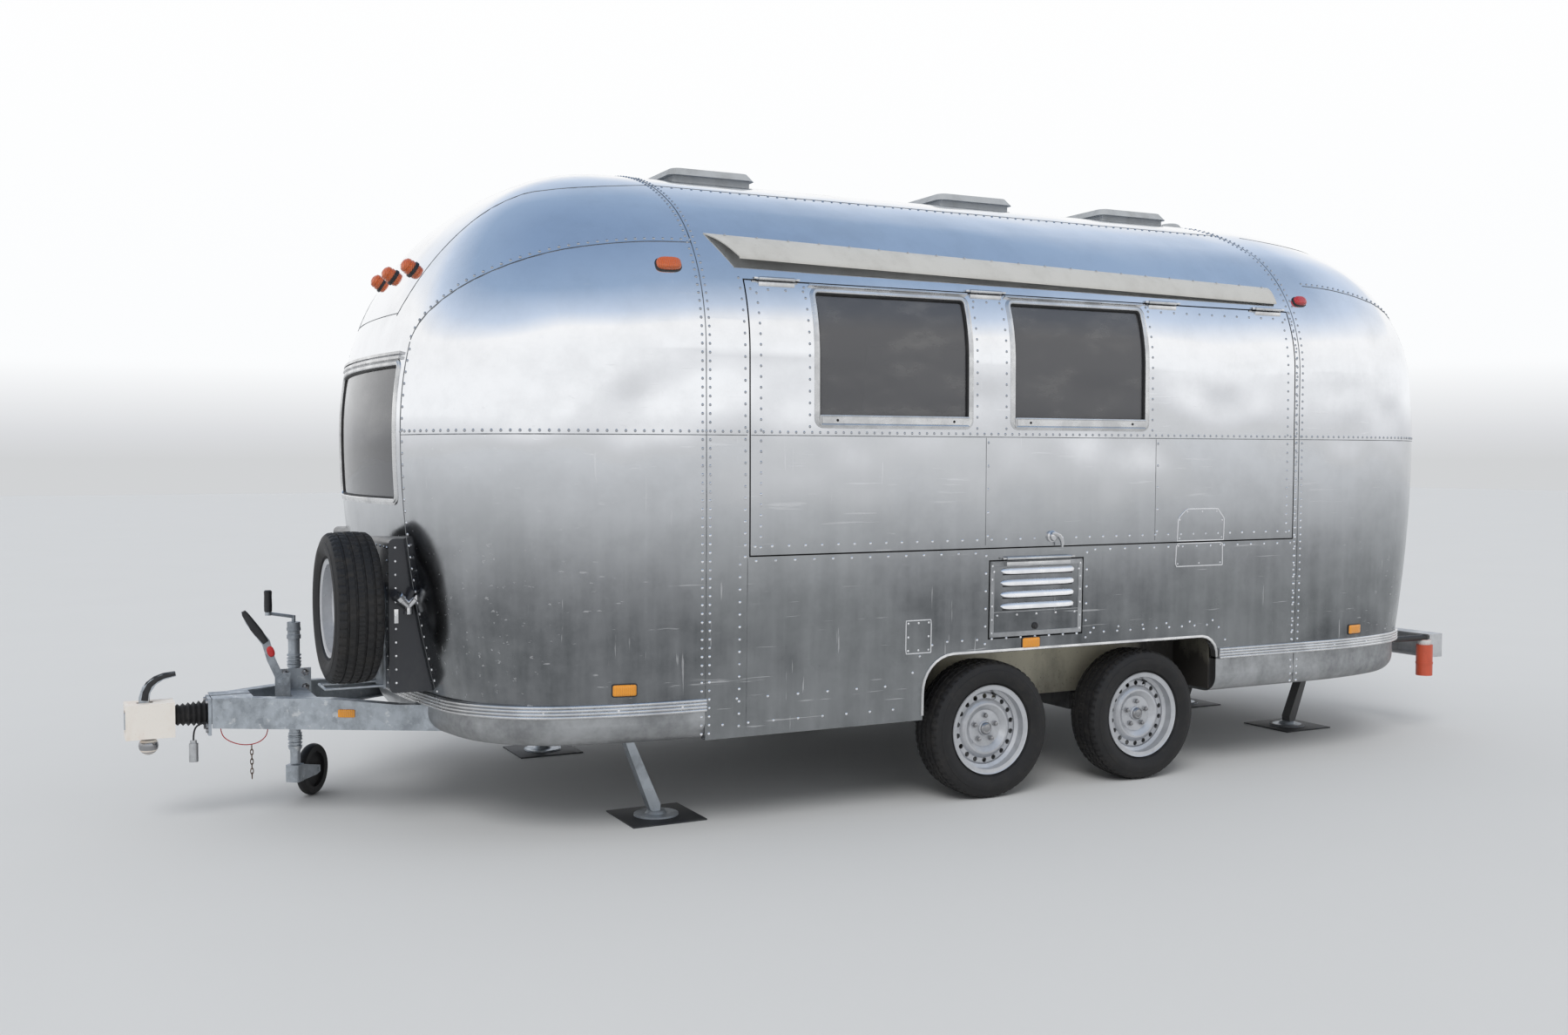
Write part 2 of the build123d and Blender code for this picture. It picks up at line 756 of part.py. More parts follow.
with BuildPart() as hatch_hood:
    for distance, upper, lip in hood_ends:
        root_y = half_width_at(upper) + 2
        with BuildSketch(Plane.YZ.offset(aft(distance))):
            with BuildLine():
                Polyline(
                    (root_y, upper),
                    (root_y + 6, upper + hood_sheet),
                    (hood_lip_y, lip + 16),
                    (hood_lip_y, lip),
                    (hood_lip_y - hood_sheet, lip),
                    (hood_lip_y - hood_sheet, lip + 12),
                    close=True,
                )
            make_face()
    loft(ruled=True)
    with BuildSketch(Plane(origin=(aft(60), 900, 2400), x_dir=(1, 0, 0), z_dir=(0, 1, 0))):
        with BuildLine():
            Polyline((0, 0), (-110, 140), (0, 160), (60, 100), close=True)
        make_face()
    extrude(amount=300, mode=Mode.SUBTRACT)
    add(seat_form, mode=Mode.SUBTRACT)
keep("hatch_hood", hatch_hood.part)

# Roof vents: a square base, a shallow lid above it, and one round vent
round_vent_aft = 3330

with BuildPart() as vent_bases:
    for distance, length in vent_places:
        with Locations((aft(distance), 0, body_roof - 30)):
            Box(length - 50, vent_width - 50, 30 + vent_base, align=(Align.CENTER, Align.CENTER, Align.MIN))
    with Locations((aft(round_vent_aft), 0, body_roof - 60)):
        Cylinder(62, 105, align=(Align.CENTER, Align.CENTER, Align.MIN))
    fillet(vent_bases.edges().filter_by(GeomType.CIRCLE).group_by(Axis.Z)[-1], 30)
    add(seat_form, mode=Mode.SUBTRACT)
keep("vent_bases", vent_bases.part)

for (distance, length), name in zip(vent_places, ("front", "middle", "rear")):
    with BuildPart() as vent_lid_form:
        with BuildSketch(Plane((aft(distance), 0, body_roof + vent_base + seat_gap))):
            RectangleRounded(length, vent_width, 40)
        with BuildSketch(Plane((aft(distance), 0, body_roof + vent_base + vent_lid))):
            RectangleRounded(length - 46, vent_width - 46, 40)
        loft()
    keep(f"vent_lid_{name}", vent_lid_form.part)


# Lamps and reflectors, each cut to sit on the skin
def button(where, aim, radius, height):
    """A round lamp with a rounded face, standing on the skin along its aim."""
    with BuildPart(mode=Mode.PRIVATE) as lamp:
        with BuildSketch(Plane(origin=where, z_dir=aim)):
            Circle(radius)
        extrude(amount=height)
        rims = lamp.edges().filter_by(GeomType.CIRCLE)
        fillet(rims.sort_by(lambda rim: (rim.center() - Vector(*where)).length)[-1], radius * 0.4)
    return lamp.part


crown_height = 2250
crown_spacing = 300
crown_x = front_seam_x + reach_at(crown_height)

front_marker_aft = -122
rear_marker_aft = 3200
marker_y = 1075
front_marker_height = 2226
rear_marker_height = 2242
reflector_length = 92
reflector_height = 44
reflector_places = (
    # aft distance, height, middle across the body
    (-327, 592, 1120),
    (1551, 674, 1150),
    (3540, 627, 1150),
)
# how far along the left drawbar channel from its tip, and height
drawbar_reflector = (555, 451)

with BuildPart() as amber_lamps:
    for step in (-1, 0, 1):
        add(button((crown_x - 26, step * crown_spacing, crown_height - 18), (0.8, 0, 0.6), 36, 62))
    with Locations((aft(front_marker_aft), marker_y, front_marker_height)):
        Box(104, 60, 56)
    for distance, height, reach_y in reflector_places:
        with Locations((aft(distance), reach_y, height)):
            Box(reflector_length, 80, reflector_height)
    add(seat_form, mode=Mode.SUBTRACT)
    along, height = drawbar_reflector
    turn = math.radians(drawbar_angle)
    with Locations(
        Location(
            (drawbar_tip_x - along * math.cos(turn), drawbar_tip_y + along * math.sin(turn), height),
            (0, 0, -drawbar_angle),
        )
    ):
        with Locations((0, 3 + seat_gap, 0)):
            Box(70, 6, 33)
keep("amber_lamps", amber_lamps.part)

with BuildPart() as red_lamps:
    with Locations((aft(rear_marker_aft), marker_y, rear_marker_height)):
        Box(70, 60, 48)
    for side in (1, -1):
        for height in (720, 800, 880):
            add(button((rear_bend_x - 880, side * 700, height), (-0.9, side * 0.43, 0), 38, 150))
    add(seat_form, mode=Mode.SUBTRACT)
keep("red_lamps", red_lamps.part)


# Road wheels, drawn facing +Y at the origin: X is out along the axle, Y is the radius
wheel_section = Plane(origin=(0, 0, 0), x_dir=(0, 1, 0), z_dir=(1, 0, 0))
wheel_axis = Axis((0, 0, 0), (0, 1, 0))
wheel_face = Plane(origin=(0, 0, 0), z_dir=(0, 1, 0))


def tyre_lines():
    """Closed section of a tyre, seated between the rim's flanges."""
    half = tyre_width / 2
    bead = rim_half_width - 7
    Line((-bead, bead_radius + seat_gap), (bead, bead_radius + seat_gap))
    Line((bead, bead_radius + seat_gap), (bead, rim_radius + 2))
    ThreePointArc((bead, rim_radius + 2), (half, rim_radius + 52), (half - 16, tyre_radius - 9))
    ThreePointArc((half - 16, tyre_radius - 9), (0, tyre_radius), (16 - half, tyre_radius - 9))
    ThreePointArc((16 - half, tyre_radius - 9), (-half, rim_radius + 52), (-bead, rim_radius + 2))
    Line((-bead, rim_radius + 2), (-bead, bead_radius + seat_gap))


def rim_lines():
    """Rolled barrel with its well and two flanges."""
    edge = rim_half_width
    well = bead_radius - 15
    Polyline(
        (-edge, rim_radius), (-edge + 6, rim_radius), (-edge + 6.5, bead_radius), (-30, bead_radius),
        (-22, well), (22, well), (30, bead_radius), (edge - 6.5, bead_radius), (edge - 6, rim_radius),
        (edge, rim_radius), (edge - 3, rim_radius - 5), (edge - 5, bead_radius - 4), (32, bead_radius - 4),
        (24, well - 4), (-24, well - 4), (-32, bead_radius - 4), (-edge + 5, bead_radius - 4),
        (-edge + 3, rim_radius - 5), close=True,
    )


def disc_lines():
    """Dished wheel disc with a raised ring, a flat hub face and a centre cap."""
    Polyline(
        (18, 160), (25, 151), (25, 131), (34, 122), (41, 112), (41, 104), (29, 86), (24, 80),
        (24, 33), (31, 31), (36, 24), (36, 0), (19, 0), (19, 81), (24, 88), (36, 105), (36, 110),
        (30, 119), (20, 129), (20, 149), (12, 160), close=True,
    )


hole_circle = 141
hole_radius = 11
wheel_holes = 18
drum_radius = 110
drum_back = -58


with BuildPart() as tyre_form:
    with BuildSketch(wheel_section):
        with BuildLine():
            tyre_lines()
        make_face()
    revolve(axis=wheel_axis)


def wheel_form(with_drum):
    """Steel wheel, with the brake drum and hub behind it when it is on an axle."""
    with BuildPart() as rim:
        for section in (rim_lines, disc_lines):
            with BuildSketch(wheel_section):
                with BuildLine():
                    section()
                make_face()
            revolve(axis=wheel_axis)
        if with_drum:
            with BuildSketch(wheel_face.offset(drum_back)):
                Circle(drum_radius)
            extrude(amount=19 - drum_back)
            with BuildSketch(wheel_face.offset(drum_back)):
                Circle(spindle_radius + running_gap)
            extrude(amount=-drum_back, mode=Mode.SUBTRACT)
        with BuildSketch(wheel_face.offset(8)):
            with PolarLocations(hole_circle, wheel_holes):
                Circle(hole_radius)
        extrude(amount=40, mode=Mode.SUBTRACT)
        with BuildSketch(wheel_face.offset(23)):
            with PolarLocations(56, 5):
                RegularPolygon(9, 6)
        extrude(amount=9)
    return rim.part


hub_wheel = wheel_form(True)
plain_wheel = wheel_form(False)
hubs = (("front", aft(front_hub_aft)), ("rear", aft(front_hub_aft + axle_spacing)))
for row, hub_x in hubs:
    for side_name, side in (("left", 1), ("right", -1)):
        place = Pos(hub_x, side * wheel_y, hub_height) * Rot(Z=90 - side * 90)
        keep(f"tyre_{row}_{side_name}", place * tyre_form.part)
        keep(f"rim_{row}_{side_name}", place * hub_wheel)


# Axles: a square tube under the floor, a trailing arm, brake backing plate and spindle at each end
axle_tube_half = housing_y - 22
arm_thickness = 34
tube_middle = body_low + 12 - seat_gap - axle_size / 2
drum_y = wheel_y + drum_back
shield_y = drum_y - 12
spindle_end_y = wheel_y - 4

with BuildPart() as axles:
    for row, hub_x in hubs:
        tube_x = hub_x + axle_lead
        add(box_at((tube_x, 0, tube_middle), (axle_size, 2 * axle_tube_half, axle_size)))
        for side in (1, -1):
            low = (hub_x - 40, min(side * axle_tube_half, side * (axle_tube_half + arm_thickness)), hub_height - 34)
            high = (tube_x + 34, max(side * axle_tube_half, side * (axle_tube_half + arm_thickness)), tube_middle + 34)
            add(block(low, high))
            arm_end = axle_tube_half + arm_thickness
            add(rod((hub_x, side * arm_end, hub_height), (hub_x, side * shield_y, hub_height), 46))
            add(rod((hub_x, side * (shield_y - 8), hub_height), (hub_x, side * shield_y, hub_height), drum_radius + 8))
            add(rod((hub_x, side * shield_y, hub_height), (hub_x, side * spindle_end_y, hub_height), spindle_radius))
keep("axles", axles.part)

# Drawbar: two folded channels that open inward, a cross member and the jockey tube's bracket
drawbar_turn = math.radians(drawbar_angle)
tip_x = drawbar_tip_x


def drawbar_y(x):
    """Distance of a channel's outer face from the middle, at one X."""
    return drawbar_tip_y + (tip_x - x) * math.tan(drawbar_turn)


cross_x = jockey_x + 2
cross_depth = 84
bracket_y = jockey_y + 32
bracket_top = 582
bracket_half = 66
tube_outer = 24
tube_inner = 21


def channel(side):
    """One channel, with its upper edge coming down to pass under the body."""
    along = (-math.cos(drawbar_turn), side * math.sin(drawbar_turn), 0)
    inward = (-math.sin(drawbar_turn), -side * math.cos(drawbar_turn), 0)
    start = Vector(tip_x, side * drawbar_tip_y, drawbar_low)
    outline = (
        (0, 0), (0, drawbar_height), (drawbar_full_length, drawbar_height),
        (drawbar_slope_end, drawbar_rear_height), (drawbar_length, drawbar_rear_height), (drawbar_length, 0),
    )
    face = Plane(origin=start, x_dir=along, z_dir=inward)
    up = 1 if face.y_dir.Z > 0 else -1
    with BuildPart(mode=Mode.PRIVATE) as bar:
        with BuildSketch(face):
            with BuildLine():
                Polyline(*[(x, up * z) for x, z in outline], close=True)
            make_face()
        extrude(amount=drawbar_flange)
        with BuildSketch(face.offset(drawbar_sheet)):
            with BuildLine():
                Polyline(
                    (-1, up * drawbar_sheet), (-1, up * (drawbar_height - drawbar_sheet)),
                    (drawbar_full_length, up * (drawbar_height - drawbar_sheet)),
                    (drawbar_slope_end, up * (drawbar_rear_height - drawbar_sheet)),
                    (drawbar_length + 1, up * (drawbar_rear_height - drawbar_sheet)),
                    (drawbar_length + 1, up * drawbar_sheet),
                    close=True,
                )
            make_face()
        extrude(amount=drawbar_flange, mode=Mode.SUBTRACT)
    return bar.part


with BuildPart() as drawbar:
    for side in (1, -1):
        add(channel(side))
    half = drawbar_y(cross_x + cross_depth / 2) - 4
    add(box_at((cross_x, 0, drawbar_low + 60), (cross_depth, 2 * half, 106)))
    add(box_at((cross_x, bracket_y, (drawbar_low + 90 + bracket_top) / 2), (2 * bracket_half, 8, bracket_top - drawbar_low - 90)))
    with BuildSketch(Plane(origin=(cross_x + 34, bracket_y, drawbar_low + 110), x_dir=(0, 1, 0), z_dir=(1, 0, 0))):
        with BuildLine():
            Polyline((0, 0), (72, 0), (0, 84), close=True)
        make_face()
    extrude(amount=6)
    add(box_at((cross_x, bracket_y - 6, 548), (60, 18, 48)))
    add(rod((jockey_x, jockey_y, drawbar_low), (jockey_x, jockey_y, drawbar_low + 130), tube_outer + 1), mode=Mode.SUBTRACT)
    with Locations((jockey_x, jockey_y, 548)):
        Cylinder(tube_outer + 10, 44)
    add(rod((jockey_x, jockey_y, drawbar_low - 5), (jockey_x, jockey_y, 620), tube_outer + seat_gap), mode=Mode.SUBTRACT)
    for side in (1, -1):
        low = min(side * 12, side * (drawbar_y(2850) - 10))
        high = max(side * 12, side * (drawbar_y(2850) - 10))
        add(block((2780, low, drawbar_low + drawbar_height - drawbar_sheet), (tip_x, high, drawbar_low + drawbar_height)))
keep("drawbar", drawbar.part)

# Overrun gear: a tube between the channels with its end flange, and the brake lever's bearing block
lever_pivot = (2655, 40, 560)
lever_pin_radius = 9
flange_x = tip_x + 2
flange_thickness = 12
flange_width = 120
flange_height = 150
overrun_tube_radius = 44
overrun_tube_rear_x = 2640
shaft_front_x = 3150
block_y = 22
block_thickness = 12

with BuildPart() as overrun_gear:
    tube_rear = (overrun_tube_rear_x, 0, coupling_height)
    tube_front = (flange_x, 0, coupling_height)
    add(rod(tube_rear, tube_front, overrun_tube_radius))
    flange_middle = (flange_x + flange_thickness / 2, 0, coupling_height - 10)
    add(box_at(flange_middle, (flange_thickness, flange_width, flange_height)))
    add(rod(tube_front, (shaft_front_x, 0, coupling_height), overrun_radius))
    pivot_x, pivot_y, pivot_z = lever_pivot
    add(box_at((pivot_x, block_y, pivot_z - 40), (60, block_thickness, 130)))
    add(rod((pivot_x, block_y, pivot_z), (pivot_x, pivot_y + 18, pivot_z), lever_pin_radius))
keep("overrun_gear", overrun_gear.part)

# Brake lever on its pivot, with the grip and the release button
lever_thickness = 12
lever_near_y = block_y + block_thickness / 2 + seat_gap

with BuildPart() as brake_lever:
    near_plane = Plane(origin=(lever_pivot[0], lever_near_y, lever_pivot[2]), x_dir=(1, 0, 0), z_dir=(0, -1, 0))
    with BuildSketch(near_plane):
        with BuildLine():
            Polyline(
                (-16, -18), (20, -14), (62, 84), (80, 150), (142, 240), (160, 288), (140, 286), (112, 252),
                (52, 170), (30, 92), close=True,
            )
        make_face()
    extrude(amount=-lever_thickness)
    add(rod((lever_pivot[0], lever_near_y, lever_pivot[2]), (lever_pivot[0], lever_near_y + 20, lever_pivot[2]), 24))
    lever_bore = (lever_pivot[0], 0, lever_pivot[2])
    add(
        rod(lever_bore, (lever_pivot[0], 80, lever_pivot[2]), lever_pin_radius + running_gap),
        mode=Mode.SUBTRACT,
    )
keep("brake_lever", brake_lever.part)

# Bellows over the overrun shaft
bellows_start = flange_x + flange_thickness + seat_gap
bellows_end = 3071
bellows_folds = 6

with BuildPart() as bellows:
    pitch = (bellows_end - bellows_start) / bellows_folds
    with BuildSketch(Plane(origin=(0, 0, coupling_height), x_dir=(1, 0, 0), z_dir=(0, -1, 0))):
        with BuildLine():
            points = [(bellows_start, 40)]
            for fold in range(bellows_folds):
                points.append((bellows_start + (fold + 0.5) * pitch, 54 - 2 * fold))
                points.append((bellows_start + (fold + 1) * pitch, 40 - fold))
            points.append((bellows_end, overrun_radius + seat_gap))
            points.append((bellows_start, overrun_radius + seat_gap))
            Polyline(*points, close=True)
        make_face()
    revolve(axis=Axis((0, 0, coupling_height), (1, 0, 0)))
    add(rod((bellows_start - 30, 0, coupling_height), (bellows_start, 0, coupling_height), 60), mode=Mode.SUBTRACT)
keep("bellows", bellows.part)

# Coupling head with its socket for a ball, and the handle above it
ball_radius = 25
ball_x = 3215
ball_height = coupling_height - 32

with BuildPart() as coupling_head:
    add(rod((3073, 0, coupling_height), (3160, 0, coupling_height), 40))
    with BuildSketch(Plane.XY.offset(coupling_height - 44)):
        with BuildLine():
            Polyline((3140, -38), (ball_x, -42), (ball_x, 42), (3140, 38), close=True)
        make_face()
        with Locations((ball_x, 0)):
            Circle(44)
    extrude(amount=66)
    bore_end = (shaft_front_x + 0.5, 0, coupling_height)
    add(rod((3072, 0, coupling_height), bore_end, overrun_radius + seat_gap), mode=Mode.SUBTRACT)
    with Locations((ball_x, 0, ball_height)):
        Sphere(ball_radius + 0.5, mode=Mode.SUBTRACT)
    add(rod((ball_x, 0, 360), (ball_x, 0, ball_height), ball_radius + 0.5), mode=Mode.SUBTRACT)
    with BuildSketch(Plane(origin=(0, -14, 0), x_dir=(1, 0, 0), z_dir=(0, -1, 0))):
        with BuildLine():
            Polyline(
                (3205, 455), (3203, 520), (3190, 560), (3160, 590), (3120, 608), (3070, 616), (3064, 600),
                (3112, 588), (3140, 570), (3160, 540), (3168, 500), (3165, 455), close=True,
            )
        make_face()
    extrude(amount=-28)
keep("coupling_head", coupling_head.part)

# Lock box round the coupling, with the security ball that fills the socket
lock_half_width = 62

with BuildPart() as coupling_lock:
    add(box_at((3165, 0, 430), (183, 2 * lock_half_width, 140)))
    add(box_at((3165, 0, 430), (175, 2 * lock_half_width - 8, 132)), mode=Mode.SUBTRACT)
    add(rod((3060, 0, coupling_height), (3090, 0, coupling_height), 40 + seat_gap), mode=Mode.SUBTRACT)
    add(box_at((3180, 0, coupling_height), (150, 100, 92)), mode=Mode.SUBTRACT)
    add(box_at((3290, 0, coupling_height - 10), (120, 96, 84)), mode=Mode.SUBTRACT)
    add(box_at((3182, 0, 500), (60, 36, 40)), mode=Mode.SUBTRACT)
    add(rod((ball_x - 45, 0, 374), (ball_x - 45, 0, 325), 9))
    with Locations((ball_x - 45, 0, 325)):
        Sphere(37)
keep("coupling_lock", coupling_lock.part)

# Jockey wheel: clamped outer tube with its crank, sliding inner tube, swivelling fork and wheel
outer_tube_low = 226
outer_tube_top = 770
inner_tube_low = 168
inner_tube_top = 560
jockey_turn = math.radians(jockey_heading)
jockey_hub = (
    jockey_x + jockey_trail * math.cos(jockey_turn),
    jockey_y + jockey_trail * math.sin(jockey_turn),
    jockey_radius,
)

with BuildPart() as jockey_outer_tube:
    add(rod((jockey_x, jockey_y, outer_tube_low), (jockey_x, jockey_y, outer_tube_top), tube_outer))
    for height in (236, 256, 276, 296, 588, 604, 620, 636):
        with Locations((jockey_x, jockey_y, height)):
            Cylinder(tube_outer + 4, 8)
    with Locations((jockey_x, jockey_y, 764)):
        Cylinder(tube_outer + 3, 26)
    add(rod((jockey_x, jockey_y, 776), (jockey_x, jockey_y, 806), 8))
    add(rod((jockey_x, jockey_y, 800), (jockey_x + 112, jockey_y + 20, 822), 7))
    add(rod((jockey_x + 106, jockey_y + 19, 812), (jockey_x + 106, jockey_y + 19, 918), 13))
    add(
        rod((jockey_x, jockey_y, outer_tube_low - 1), (jockey_x, jockey_y, 700), tube_inner + running_gap),
        mode=Mode.SUBTRACT,
    )
keep("jockey_outer_tube", jockey_outer_tube.part)

with BuildPart() as jockey_inner_tube:
    add(rod((jockey_x, jockey_y, inner_tube_low), (jockey_x, jockey_y, inner_tube_top), tube_inner))
    add(rod((jockey_x, jockey_y, inner_tube_low - 22), (jockey_x, jockey_y, inner_tube_low), 9))
    add(rod((jockey_x, jockey_y, inner_tube_low - 30), (jockey_x, jockey_y, inner_tube_low - 22), 15))
keep("jockey_inner_tube", jockey_inner_tube.part)

fork_plane = Plane(origin=(jockey_x, jockey_y, 0), x_dir=(math.cos(jockey_turn), math.sin(jockey_turn), 0), z_dir=(0, 0, 1))
jockey_half_width = 24

with BuildPart() as jockey_fork:
    with BuildSketch(fork_plane.offset(inner_tube_low - 78)):
        with Locations((-5, 0)):
            RectangleRounded(58, 61, 10)
    extrude(amount=73)
    for side in (1, -1):
        cheek = Plane(
            origin=fork_plane.from_local_coords((0, side * (jockey_half_width + 4), 0)),
            x_dir=fork_plane.x_dir,
            z_dir=fork_plane.x_dir.cross(Vector(0, 0, 1)),
        )
        with BuildSketch(cheek):
            with BuildLine():
                Polyline(
                    (-20, 160), (-20, 92), (jockey_trail - 14, 92), (jockey_trail + 16, 100),
                    (jockey_trail + 16, 128), (jockey_trail - 10, 134), (20, 160), close=True,
                )
            make_face()
        extrude(amount=2.5, both=True)
    pin_start = fork_plane.from_local_coords((jockey_trail, -jockey_half_width - 10, jockey_radius))
    pin_end = fork_plane.from_local_coords((jockey_trail, jockey_half_width + 10, jockey_radius))
    add(rod(tuple(pin_start), tuple(pin_end), 8))
    low = (jockey_x, jockey_y, inner_tube_low - 90)
    add(rod(low, (jockey_x, jockey_y, inner_tube_low - 21.8), 16), mode=Mode.SUBTRACT)
    add(rod(low, (jockey_x, jockey_y, inner_tube_low + 2), 9 + running_gap), mode=Mode.SUBTRACT)
keep("jockey_fork", jockey_fork.part)

with BuildPart() as jockey_wheel:
    hub_axis = Axis(jockey_hub, tuple(fork_plane.y_dir))
    hub_plane = Plane(origin=jockey_hub, x_dir=fork_plane.y_dir, z_dir=fork_plane.x_dir * -1)
    with BuildSketch(hub_plane):
        with BuildLine():
            Polyline((-19, 20), (19, 20), (19, 8 + running_gap), (-19, 8 + running_gap), close=True)
        make_face()
        with BuildLine():
            Polyline((-5, 18), (5, 18), (5, 80), (-5, 80), close=True)
        make_face()
        with BuildLine():
            Line((-18, 76), (18, 76))
            Line((18, 76), (20, 104))
            ThreePointArc((20, 104), (0, jockey_radius), (-20, 104))
            Line((-20, 104), (-18, 76))
        make_face()
    revolve(axis=hub_axis)
keep("jockey_wheel", jockey_wheel.part)

# Spare wheel on its carrier, and the black box behind it
spare_place = Pos(spare_x, spare_y, spare_height) * Rot(Z=-90)
keep("spare_tyre", spare_place * tyre_form.part)
keep("spare_rim", spare_place * plain_wheel)

with BuildPart() as front_box:
    add(block((front_seam_x, -box_half_width, box_low), (box_front_x, box_half_width, box_top)))
    fillet(front_box.edges().filter_by(Axis.Y).group_by(Axis.X)[-1], 24)
    fitting = (2292, box_half_width, 930)
    add(rod((fitting[0] - 22, fitting[1] - 4, fitting[2] - 28), (fitting[0] + 34, fitting[1] + 44, fitting[2] + 26), 17))
    add(rod((fitting[0] - 22, fitting[1] - 4, fitting[2] - 28), (fitting[0] - 46, fitting[1] + 26, fitting[2] + 38), 15))
    add(seat_form, mode=Mode.SUBTRACT)
    add(block((front_seam_x, -far, 0), (front_seam_x + reach_at(belt_height) - 220, far, far)), mode=Mode.SUBTRACT)
keep("front_box", front_box.part)

carrier_x = spare_x + 19
loop_height = spare_height - tyre_radius - 8

with BuildPart() as spare_carrier:
    add(rod((box_front_x + seat_gap, spare_y, spare_height), (carrier_x, spare_y, spare_height), 32))
    add(rod((box_front_x + seat_gap, spare_y, spare_height), (box_front_x + 8, spare_y, spare_height), 95))
    add(block((box_front_x + seat_gap, spare_y - 80, loop_height - 12), (box_front_x + 8, spare_y + 80, spare_height)))
    loop_points = (
        (box_front_x + seat_gap, spare_y - 70, loop_height),
        (spare_x + 100, spare_y - 70, loop_height),
        (spare_x + 100, spare_y + 70, loop_height),
        (box_front_x + seat_gap, spare_y + 70, loop_height),
    )
    add(bent_bar(loop_points, 6))
keep("spare_carrier", spare_carrier.part)

# Rear bumper channel on its two arms, and the waste pipe hanging beside it
bumper_front_x = bumper_rear_x + bumper_depth
bumper_middle_x = bumper_rear_x + bumper_depth / 2
bumper_middle = bumper_low + bumper_height / 2
bumper_sheet = 6
arm_y = 560
arm_half_width = 25
arm_low = 405
arm_high = 455
arm_root_x = rear_bend_x - 700

rear_bowl = end_bowl(-far, aft(arch_rear_aft), rear_rail_low, seat_gap)
bumper_hollow = (bumper_depth, 2 * (bumper_half_length - bumper_sheet), bumper_height - 2 * bumper_sheet)

with BuildPart() as rear_bumper:
    add(box_at((bumper_middle_x, 0, bumper_middle), (bumper_depth, 2 * bumper_half_length, bumper_height)))
    fillet(rear_bumper.edges().filter_by(Axis.Z), 20)
    add(box_at((bumper_middle_x + bumper_sheet, 0, bumper_middle), bumper_hollow), mode=Mode.SUBTRACT)
    for side in (1, -1):
        arm_start = (bumper_rear_x + bumper_sheet / 2, side * arm_y - arm_half_width, arm_low)
        add(block(arm_start, (arm_root_x, side * arm_y + arm_half_width, arm_high)))
    add(rear_bowl, mode=Mode.SUBTRACT)
keep("rear_bumper", rear_bumper.part)

# Waste pipe: an upright pipe with a band and a cap, on a black neck that comes out of the belly pan
pipe_x = -3118
pipe_y = 890
pipe_radius = 42
pipe_low = 310
pipe_high = 475
band_low = 372
band_high = 382
band_proud = 2
cap_radius = 32
cap_high = 502
neck_radius = 15
neck_height = 514
neck_root_x = arm_root_x

with BuildPart() as waste_pipe:
    add(rod((pipe_x, pipe_y, pipe_low), (pipe_x, pipe_y, pipe_high), pipe_radius))
    add(rod((pipe_x, pipe_y, band_low), (pipe_x, pipe_y, band_high), pipe_radius + band_proud))
    add(rod((pipe_x, pipe_y, pipe_high), (pipe_x, pipe_y, cap_high), cap_radius))
    add(rod((pipe_x, pipe_y, cap_high), (pipe_x, pipe_y, neck_height + neck_radius), neck_radius + 1))
    add(rod((pipe_x, pipe_y, neck_height), (neck_root_x, pipe_y, neck_height), neck_radius))
    add(rear_bowl, mode=Mode.SUBTRACT)
keep("waste_pipe", waste_pipe.part)

# Supply lead, from the overrun flange over to its hanging plug
lead_diameter = 7
plug_radius = 18
plug_neck_radius = 13
plug_x = 3006
plug_y = 52
plug_low = 254
plug_shoulder = 330
plug_top = 342
flange_front_x = flange_x + flange_thickness

with BuildPart() as supply_plug:
    add(rod((plug_x, plug_y, plug_low), (plug_x, plug_y, plug_shoulder), plug_radius))
    add(rod((plug_x, plug_y, plug_shoulder), (plug_x, plug_y, plug_top), plug_neck_radius))
keep("supply_plug", supply_plug.part)

lead_route = (
    (flange_front_x, plug_y, 408),
    (2981, plug_y, 408),
    (plug_x, plug_y, 383),
    (plug_x, plug_y, plug_top),
)
keep("supply_lead", cord("supply_lead", lead_route, lead_diameter))

# Breakaway cable, slung below the left drawbar channel
cable_diameter = 4
cable_route = (
    (2903, 58, drawbar_low),
    (2901, 58, 362),
    (2889, 62, 341),
    (2866, 70, 325),
    (2834, 84, 314),
    (2800, 99, 312),
    (2768, 114, 320),
    (2745, 125, 337),
    (2732, 132, 359),
    (2730, 134, drawbar_low),
)
keep("breakaway_cable", cord("breakaway_cable", cable_route, cable_diameter))

# Corner steadies: a rail with its screw under the floor, and a leg with a broad foot
steady_rail_top = body_low - seat_gap
pin_radius = 8
foot_height = 14
foot_boss = 12
foot_boss_radius = 36
rail_length = 330
rail_overhang = 30
rail_half_width = 36
rail_sheet = 4
rail_drop = 16
cap_sheet = 8
screw_radius = 11
screw_stub = 22
leg_half_width = 28
pin_reach = 40

with BuildPart() as steady_rails:
    for name, pivot_aft, way, middle_y in steady_places:
        pivot_x = aft(pivot_aft)
        nose_x = pivot_x + way * rail_length
        near, far_end = sorted((pivot_x - way * rail_overhang, nose_x))
        rail_low = steady_rail_low - rail_drop
        left = middle_y + rail_half_width
        right = middle_y - rail_half_width
        for low_y, high_y in ((right - rail_sheet / 2, right + rail_sheet / 2), (left - rail_sheet / 2, left + rail_sheet / 2)):
            add(block((near, low_y, rail_low), (far_end, high_y, steady_rail_top)))
        add(block((near, right, steady_rail_top - rail_sheet), (far_end, left, steady_rail_top)))
        add(rod((pivot_x, right, steady_rail_low), (pivot_x, left, steady_rail_low), pin_radius))
        cap_ends = sorted((nose_x, nose_x - way * cap_sheet))
        add(block((cap_ends[0], right, rail_low), (cap_ends[1], left, steady_rail_top)))
        screw_start = (nose_x - way * cap_sheet, middle_y, steady_rail_low)
        add(rod(screw_start, (nose_x + way * screw_stub, middle_y, steady_rail_low), screw_radius))
keep("steady_rails", steady_rails.part)

